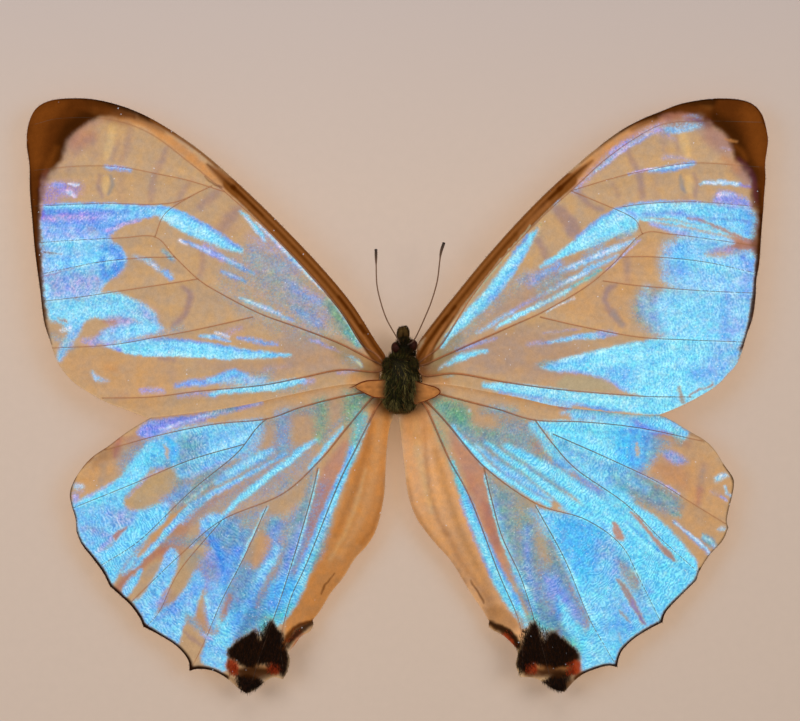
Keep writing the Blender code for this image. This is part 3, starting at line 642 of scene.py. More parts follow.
LEFT_FOREWING_SHINE = [
    patch("sky", [(40, 222), (60, 222), (85, 226), (107, 236), (113, 243), (120, 246), (126, 255),
                  (125, 264), (119, 272), (108, 280), (102, 288), (98, 295), (75, 298), (44, 300),
                  (42, 285), (40, 262), (38, 240)], 0.97, 2),
    patch("periwinkle", [(42, 222), (70, 222), (104, 230), (108, 238), (80, 240), (44, 238)], 0.55, 5),
    patch("lavender", [(45, 272), (66, 276), (94, 272), (98, 292), (74, 296), (48, 298), (44, 285)],
          0.62, 6),
    streak("cyan", [(52, 244, 2), (80, 246, 6), (98, 250, 6), (88, 262, 6), (62, 262, 4)], 0.8, 5),
    streak("deep", [(103, 247, 3), (115, 250, 4), (121, 260, 4.5), (117, 270, 4), (104, 276, 4)], 0.9, 3.5),
    streak("deep", [(103, 258, 2.5), (104, 270, 3)], 0.9, 2),
    streak("cyan", [(108, 263, 2.5), (113, 259, 1.5)], 0.8, 2),
    streak("blue", [(67, 262, 3), (68, 300, 3.5), (70, 325, 3)], 0.6, 3.5),
    streak("cyan", [(47, 287, 3), (47, 296, 3)], 0.9, 2.5),
    patch("blue", [(44, 205), (60, 203.5), (95, 203), (125, 204.5), (150, 207), (152, 217), (135, 219),
                   (120, 227), (107, 236), (92, 230), (60, 225), (42, 224)], 0.97, 1.8),
    patch("periwinkle", [(42, 211), (70, 211), (108, 210), (112, 217), (90, 222), (60, 223), (41, 222)],
          0.75, 3),
    streak("violet", [(42, 215, 2.5), (64, 215, 2), (90, 214, 1)], 0.55, 2.5),
    patch("indigo", [(40, 209), (50, 211), (48, 220), (40, 220)], 0.5, 3),
    streak("lilac", [(44, 219, 1.5), (70, 217, 2), (95, 218, 1)], 0.75, 1.5),
    streak("cyan", [(46, 207.5, 1.8), (70, 206.5, 2), (100, 206.5, 2), (130, 208, 2.5), (150, 210, 2)],
           0.85, 1.5),
    streak("blue", [(46, 213, 1), (80, 210.5, 1.2), (108, 211, 1)], 0.8, 1),
    streak("sky", [(108, 219, 3.5), (125, 217, 4), (148, 212, 4.5), (162, 211, 4)], 0.8, 2.5),
    streak("lilac", [(108, 231, 2), (122, 225, 1.8), (140, 220, 1.2)], 0.9, 1.2),
    streak("cyan", [(160, 211, 4.5), (172, 216, 7.5), (186, 224, 8.5), (202, 232, 7.5), (216, 239.5, 6),
                    (229, 246, 4), (241, 251, 1.5)], 1.0, 1.8),
    streak("blue", [(150, 207, 1.5), (168, 209, 1.5), (186, 215, 1.5), (205, 225, 1.5), (224, 237, 1.8),
                    (240, 249, 1.5)], 0.85, 1.5),
    streak("bright", [(163, 218, 2), (176, 221, 3), (192, 229, 2.5), (208, 237, 2)], 0.7, 2),
    patch("cyan", [(44, 300), (75, 299), (100, 294), (115, 293), (130, 298), (145, 305), (153, 312),
                   (158, 322), (150, 330), (138, 322), (120, 318), (104, 319), (96, 318), (84, 322),
                   (78, 330), (68, 330), (60, 323), (50, 321), (46, 310)], 0.95, 2.5),
    streak("lavender", [(140, 310, 7), (152, 318, 6), (150, 328, 6)], 0.55, 5),
    streak("lavender", [(110, 320, 4), (130, 324, 5), (112, 331, 4), (92, 342, 3.5)], 0.75, 3.5),
    patch("sky", [(104, 330), (122, 324), (140, 322), (160, 325), (163, 331), (148, 335), (130, 340),
                  (108, 344), (98, 340)], 0.85, 3),
    streak("cyan", [(118, 334, 3), (135, 330, 5), (152, 328, 4)], 0.8, 3),
    streak("lavender", [(84, 341, 3), (100, 343, 3), (112, 346, 2)], 0.6, 3),
    streak("sky", [(80, 322, 5), (74, 332, 5), (68, 342, 4), (62, 352, 4), (60, 358, 3)], 0.85, 2.5),
    streak("white", [(62, 331, 1.5), (70, 328, 2)], 0.7, 1.5),
    streak("cyan", [(108, 347, 1), (120, 347, 4), (140, 348, 7.5), (170, 348, 8), (200, 350, 7.5),
                    (230, 353, 6), (250, 354, 4), (270, 355, 2.8), (290, 355, 1)], 1.0, 1.4),
    streak("blue", [(122, 342, 1), (150, 339.5, 1.2), (180, 340, 1.4), (210, 343.5, 1.4), (240, 350, 1.2),
                    (262, 353, 1)], 0.75, 1.4),
    streak("bright", [(124, 351, 1), (150, 353, 1.6), (190, 355, 1.4), (230, 357, 1.2), (262, 355, 1.2)],
           0.8, 1.2),
    streak("periwinkle", [(108, 345, 1.5), (120, 350, 1.5)], 0.8, 1.5),
    streak("sky", [(200, 335.5, 1.2), (214, 337, 1.8), (230, 341, 1)], 0.95, 1.2),
    streak("white", [(216, 333, 1), (224, 335, 1), (229, 337, 0.8)], 0.9, 1),
    streak("blue", [(238, 338, 1), (252, 340, 2.2), (266, 343, 1.8), (278, 344.5, 1)], 0.75, 2),
    streak("lilac", [(310, 340, 0.8), (318, 342, 1)], 0.9, 1),
    streak("periwinkle", [(318, 342, 1.2), (330, 347, 1), (340, 352, 0.8)], 0.6, 1.5),
    streak("cyan", [(350, 357, 1), (357, 361, 1.8), (361, 366, 1.8)], 0.9, 1.5),
    streak("blue", [(176, 386, 1.5), (190, 383, 3), (205, 382, 3.5), (218, 379, 4), (232, 374, 4.5),
                    (246, 376, 2.5)], 0.9, 2.2),
    streak("cyan", [(208, 381, 1.5), (222, 377, 2.5), (234, 373, 2.5), (246, 376, 1.2)], 0.85, 1.8),
    streak("haze", [(240, 382, 3), (258, 378, 5), (270, 378, 3)], 0.45, 4),
    streak("periwinkle", [(142, 391, 2), (150, 390, 2.4), (163, 391, 2)], 0.65, 2),
    streak("periwinkle", [(178, 396, 1.5), (198, 394, 2), (216, 394, 2.5)], 0.5, 2.5),
    streak("cyan", [(212, 394, 2), (230, 391, 2.4), (250, 389, 3.2), (275, 386, 4), (292, 383, 3.4),
                    (304, 380.5, 2)], 1.0, 1.5),
    streak("bright", [(246, 389, 1.2), (268, 387, 2), (290, 384, 1.4)], 0.7, 1.4),
    streak("periwinkle", [(304, 382, 2.5), (313, 381, 2)], 0.5, 2),
    streak("white", [(93, 374, 1), (97, 378, 1.6)], 0.7, 1.4),
    streak("sky", [(92, 373, 1.5), (98, 379, 2.5), (108, 381, 1)], 0.55, 2),
    streak("blue", [(106, 167, 1.8), (116, 168, 2.6), (130, 170.5, 1.4)], 0.72, 1.8),
    streak("lilac", [(108, 166, 0.8), (122, 167.5, 0.8)], 0.7, 1),
    patch("violet", [(40, 184), (60, 182), (80, 184), (80, 194), (62, 197), (58, 203), (40, 206)], 0.42, 5),
    streak("periwinkle", [(54, 185, 2), (62, 185, 2.5)], 0.8, 2),
    streak("white", [(68, 184, 0.8), (73, 184.5, 1.4), (79, 184, 0.6)], 0.95, 1),
    streak("white", [(67, 191, 1), (71, 193, 1.6), (75, 196, 0.8)], 0.8, 1.2),
    streak("lilac", [(62, 191, 2), (74, 193, 2.5)], 0.6, 2.5),
    streak("sky", [(134, 256, 1), (143, 259, 2), (153, 264, 2.6), (160, 270, 2.4), (170, 276, 3.2)],
           0.55, 2),
    streak("white", [(146, 262, 1.2), (156, 267, 1.4)], 0.55, 1.2),
    streak("haze", [(163, 250, 1.5), (170, 257, 2.4), (174, 262, 1)], 0.85, 1.6),
    streak("blue", [(166, 272, 2), (171, 278, 2.4)], 0.6, 2),
    streak("white", [(180, 241, 1.6), (186, 244, 1.2)], 0.8, 1.4),
    streak("blue", [(184, 241, 1.2), (200, 248, 1.8), (216, 255, 2), (232, 262, 2), (246, 270, 1.8),
                    (254, 274, 1)], 0.9, 1.5),
    streak("white", [(196, 246, 0.7), (212, 253, 1), (228, 260, 1), (240, 266, 0.8)], 0.7, 1),
    streak("blue", [(222, 272, 1.2), (234, 277, 1.8), (246, 282, 1)], 0.85, 1.4),
    streak("white", [(226, 273, 0.7), (240, 279, 0.9)], 0.6, 1),
    streak("sky", [(240, 298, 1), (256, 304, 1.8), (270, 310, 2), (284, 317, 1.6), (293, 321, 0.8)],
           0.95, 1.3),
    streak("white", [(246, 300, 0.6), (262, 306.5, 0.9), (280, 315, 0.8)], 0.7, 0.9),
    streak("cyan", [(240, 211, 0.8), (248, 219, 1.6), (257, 229, 2.4), (265, 240, 1.6)], 0.95, 1.4),
    streak("white", [(244, 217, 0.6), (254, 228, 0.9), (262, 238, 0.8)], 0.7, 0.9),
    streak("white", [(256, 222, 0.7), (270, 236, 1), (284, 251, 1.3), (300, 267, 1.3), (314, 281, 1.1),
                     (326, 293, 0.6)], 0.95, 1.0),
    streak("blue", [(262, 230, 1.5), (284, 252, 1.5), (300, 268, 1.5)], 0.35, 2.5),
    patch("haze", [(246, 250), (262, 258), (285, 252), (312, 280), (336, 305), (352, 330), (362, 348),
                   (340, 338), (310, 325), (280, 300), (256, 280)], 0.42, 9),
    patch("blue", [(248, 246), (258, 244), (262, 258), (252, 264)], 0.28, 6),
    patch("blue", [(272, 256), (290, 256), (300, 266), (285, 276), (272, 268)], 0.25, 7),
    patch("periwinkle", [(290, 282), (308, 290), (325, 300), (330, 312), (318, 326), (300, 318),
                         (290, 300)], 0.18, 7),
    streak("blue", [(288, 282, 2), (296, 290, 3), (306, 296, 3), (320, 302, 3)], 0.50, 3.5),
    streak("blue", [(294, 308, 2), (304, 315, 3), (318, 324, 2.5)], 0.60, 3),
    streak("teal", [(328, 302, 3), (340, 318, 5), (350, 332, 6), (358, 344, 3)], 0.85, 4),
    streak("sea", [(346, 332, 1.2), (352, 338, 1.6), (358, 346, 1.2)], 0.7, 1.8),
    streak("lavender", [(262, 372, 2), (276, 368, 2), (290, 366, 1)], 0.25, 3),
    streak("lavender", [(338, 373, 1.2), (350, 371.5, 1.8), (358, 370.5, 1)], 0.55, 1.8),
    streak("haze", [(270, 374, 5), (258, 376, 4)], 0.35, 5),
    # Touches over the forms above
    streak("sky", [(224, 382, 3), (238, 381, 4), (252, 381, 4), (264, 380, 2)], 0.70, 3),
    streak("haze", [(280, 391, 2), (294, 390, 3), (306, 388, 2)], 0.50, 3),
    streak("periwinkle", [(250, 236, 3), (262, 242, 4), (274, 250, 4)], 0.32, 6),
    streak("haze", [(162, 336, 3), (172, 331, 4), (182, 328, 3)], 0.50, 4),
    streak("lavender", [(224, 334, 2), (232, 331, 3), (240, 328, 2)], 0.45, 4),
    streak("periwinkle", [(204, 246, 2), (212, 251, 4), (222, 258, 3)], 0.60, 3),
    patch("haze", [(342, 350), (352, 356), (360, 366), (352, 368), (342, 362)], 0.45, 4),
    patch("haze", [(228, 252), (262, 246), (284, 268), (304, 300), (330, 330), (322, 346), (284, 340),
                   (244, 318), (216, 290)], 0.34, 9),
    streak("haze", [(52, 336, 2), (62, 341, 4), (72, 346, 3)], 0.55, 4),
]

LEFT_FOREWING_BARE = [
    patch("membrane", [(84, 326), (92, 320), (104, 321), (104, 328), (94, 334), (84, 336)], 0.85, 2.5),
    streak("rose", [(104, 321, 1.5), (116, 322, 2)], 0.55, 2),
    streak("rose", [(58, 318, 1), (66, 322, 2)], 0.7, 2),
    streak("plum", [(44, 252, 1), (52, 253.5, 1), (62, 254, 0.6)], 0.75, 1.2),
    streak("indigo", [(44, 276, 0.8), (60, 272, 0.8), (80, 266, 0.6)], 0.6, 1),
    streak("rose", [(98, 279, 2), (96, 290, 2)], 0.3, 3),
    streak("lavender", [(88, 228, 3), (96, 233, 3)], 0.35, 3),
    # The dark tip
    patch("mauve", [(100, 118), (86, 128), (72, 140), (66, 158), (56, 172), (48, 178), (60, 160), (60, 140),
                    (76, 122)], 0.55, 7),
    patch("border", [(98, 116), (84, 125), (72, 133), (66, 141), (63, 150), (61, 160), (54, 167), (46, 172),
                     (42, 181), (40.5, 195), (39.5, 215), (39.5, 240), (41, 262), (43, 285), (44.5, 305),
                     (47, 325), (49, 340), (36, 335), (15, 240), (15, 110), (50, 85), (110, 92), (118, 102),
                     (110, 112)], 1.0, 3.5),
    patch("border_light", [(30, 110), (44, 103), (64, 102), (58, 112), (48, 126), (44, 144), (42, 160),
                           (34, 170), (28, 150)], 0.75, 8),
    streak("border_dark", [(104, 110, 5), (88, 115, 6), (74, 124, 7), (64, 136, 6.5), (58, 150, 5.5),
                           (50, 164, 5), (44, 176, 3)], 0.80, 6),
    streak("border_dark", [(38, 190, 2), (38, 240, 1.5), (42, 285, 1.5), (46, 318, 1)], 0.7, 2.5),
    streak("plum", [(46, 172, 2.5), (43, 184, 3), (42, 200, 2)], 0.6, 3.5),
    # The brown band of the front margin
    rim_streak("costa", LEFT_FOREWING[0], 0, 232, 6.4, (7.6, 6.6)),
    rim_streak("costa", LEFT_FOREWING[0], 224, 262, 6.6, (6.4, 1.0), 0.9, 2.4),
    rim_streak("costa_light", LEFT_FOREWING[0], 30, 215, 10.2, 1.2, 0.40, 1.8),
    rim_streak("costa_light", LEFT_FOREWING[0], 15, 250, 3.8, 0.9, 0.45, 1.5),
    rim_streak("costa_dark", LEFT_FOREWING[0], 30, 74, 5.8, (1.8, 1.4), 0.90, 1.8),
    rim_streak("costa_dark", LEFT_FOREWING[0], 60, 200, 6.8, 0.9, 0.75, 2.0),
    rim_streak("costa_dark", LEFT_FOREWING[0], 186, 228, 6.4, (0.6, 2.2), 0.90, 1.6),
    rim_streak("costa_dark", LEFT_FOREWING[0], 226, 262, 6.2, (2.2, 0.2), 0.90, 1.6),
    rim_streak("costa_dark", LEFT_FOREWING[0], 0, 330, 1.6, 0.5, 0.55, 0.9),
    rim_streak("costa_dark", LEFT_FOREWING[0], 10, 200, 12.6, 0.4, 0.50, 0.9),
    rim_streak("costa", LEFT_FOREWING[0], 255, 330, 1.5, (0.6, 3.0), 0.55, 1.8),
    rim_streak("costa_dark", LEFT_FOREWING[0], 306, 345, 0.6, (0.6, 3.6), 0.85, 1.8),
    rim_streak("costa", LEFT_FOREWING[0], 318, 392, 5.0, (1.2, 8.5), 0.85, 4.0),
    rim_streak("border_dark", LEFT_FOREWING[0], 334, 400, 1.5, (2.0, 6.0), 0.90, 3.0),
    streak("edge", [(27, 144, 0.8), (29.5, 180, 1.2), (31.5, 213, 1.5), (35, 252, 1.5), (40, 289, 1.5),
                    (44, 321, 1.4), (51, 344, 0.8)], 0.80, 1.4),
    streak("edge", [(58, 99, 0.6), (75, 98, 1.0), (100.3, 100.3, 1.4), (130, 109, 1.2), (150, 118, 0.6)],
           0.85, 1.2),
    # Touches over the forms above
    streak("border_light", [(56, 148, 2.5), (50, 160, 4.5), (45, 172, 3)], 0.60, 4),
    streak("costa_light", [(130, 124, 2), (117, 121, 4), (106, 118, 4)], 0.55, 5),
    patch("base", [(392, 356), (380, 354), (370, 360), (362, 368), (366, 377), (376, 382), (392, 382)],
          0.60, 8),
    patch("base", [(392, 356), (384, 357), (378, 364), (375, 372), (378, 380), (392, 382)], 0.80, 5),
    streak("costa_dark", [(386, 361, 1.0), (377.7, 350.3, 1.3), (368.5, 336.5, 1.6), (361, 325.5, 1.4)],
           0.85, 1.4),
    streak("costa_dark", [(376, 362, 0.5), (367.4, 352.3, 0.9), (361.8, 343, 0.9), (355.2, 332, 0.7),
                          (346.5, 319.7, 0.5)], 0.70, 1.2),
    streak("border", [(78, 104, 4), (94, 107, 6), (110, 112, 5), (122, 114, 3.5), (134, 117, 2)], 0.75, 3),
    streak("blush", [(70, 146, 1.5), (78, 134, 2.5), (90, 125, 2.5), (102, 121, 1.5)], 0.30, 4),
    streak("costa_light", [(212, 168, 1.5), (222, 174, 3), (232, 182, 2)], 0.50, 3),
    streak("mauve", [(222, 236, 2), (232, 231, 3), (240, 226, 2)], 0.35, 5),
    streak("costa_light", [(351, 320, 0.6), (361.8, 334.5, 0.9), (371.5, 348.8, 0.9), (380, 358.5, 0.5)],
           0.70, 1.1),
    streak("costa_dark", [(356, 309, 0.5), (366.4, 324.6, 0.6), (376.6, 338.8, 0.6), (385, 352, 0.5)],
           0.60, 0.9),
    streak("glint", [(356, 361, 0.5), (359.4, 364, 1.4), (361, 366.5, 0.5)], 0.75, 1.2),
    patch("moss", [(324, 334), (340, 340), (356, 350), (368, 358), (372, 374), (356, 376), (346, 366),
                   (334, 352)], 0.42, 6),
    streak("glint", [(355.5, 361, 0.5), (359.2, 364, 1.3), (361, 366.5, 0.5)], 0.60, 1.2),
    streak("border", [(40.5, 232, 1), (42, 245, 2.4), (43.5, 258, 1.6)], 0.45, 3),
    streak("costa", [(208, 160, 1), (220, 170, 3), (232, 180, 2)], 0.45, 3),
    rim_streak("costa", LEFT_FOREWING[0], 252, 335, 1.4, 1.2, 0.65, 1.2),
    streak("mauve", [(68, 170, 2), (72, 160, 3), (80, 150, 2)], 0.40, 4),
]

RIGHT_FOREWING_PIGMENT = [
    patch("warm", [(560, 300), (640, 240), (660, 260), (630, 300), (625, 330), (560, 310)], 0.35, 12),
    patch("mauve", [(440, 356), (500, 330), (560, 335), (600, 365), (560, 380), (470, 372)], 0.36, 12),
    patch("mauve", [(470, 335), (500, 300), (560, 262), (620, 240), (600, 270), (540, 300)], 0.32, 10),
    patch("orange", [(572, 172), (600, 148), (640, 122), (665, 113), (690, 108), (702, 108), (684, 117),
                     (665, 121), (640, 134), (610, 153), (585, 180), (570, 190)], 0.70, 3),
    streak("pale", [(683, 135, 4), (686, 146, 4.5), (688, 157, 3)], 0.80, 2.5),
    streak("mauve", [(663, 134, 3), (665, 153, 2.5)], 0.40, 4),
    streak("mauve", [(676, 136, 2), (678, 150, 2)], 0.45, 3),
    streak("mauve", [(655, 176, 3), (657, 198, 3)], 0.22, 4),
    streak("mauve", [(627, 150, 2), (634, 164, 3), (640, 178, 3.5), (642, 197, 3)], 0.70, 3),
    streak("mauve", [(613, 184, 2), (619, 197, 2)], 0.45, 3),
    streak("mauve", [(576, 189, 3), (584, 200, 3), (592, 207, 2.5), (602, 210, 2)], 0.75, 3),
    patch("mauve", [(552, 205), (563, 207), (571, 214), (579, 224), (580, 234), (570, 238), (562, 226),
                    (555, 216)], 0.80, 3.5),
    streak("mauve", [(537, 240, 3), (543, 250, 3.5), (546, 259, 2)], 0.70, 3.5),
    streak("mauve", [(626, 256, 3.5), (628, 281, 3)], 0.50, 3.5),
    streak("mauve", [(616, 285, 1.5), (608, 289, 3), (605, 298, 3), (608, 308, 3), (615, 316, 3.5),
                     (622, 325, 3)], 0.80, 3),
    streak("grey", [(613, 313, 2.5), (622, 325, 2.5)], 0.55, 2.5),
    streak("grey", [(680, 176, 1), (682, 184, 2.5), (685, 192, 1.5)], 0.90, 2),
    streak("pale", [(688, 178, 2.5), (689, 190, 3)], 0.85, 2),
    streak("mauve", [(694, 174, 1.5), (697, 184, 2), (695, 196, 2)], 0.60, 2.5),
    patch("rose", [(704, 125), (720, 130), (732, 139), (735, 150), (722, 151), (706, 140)], 0.60, 6),
    patch("rose", [(736, 164), (746, 168), (752, 180), (752, 190), (742, 178), (734, 170)], 0.60, 5),
    patch("rose", [(722, 246), (736, 238), (757, 240), (758, 252), (742, 252)], 0.75, 4),
    patch("orange", [(421, 371), (440, 368), (450, 376), (446, 385), (421, 386)], 0.60, 5),
    patch("moss", [(434, 342), (450, 330), (462, 336), (460, 350), (446, 360), (436, 362)], 0.55, 6),
]

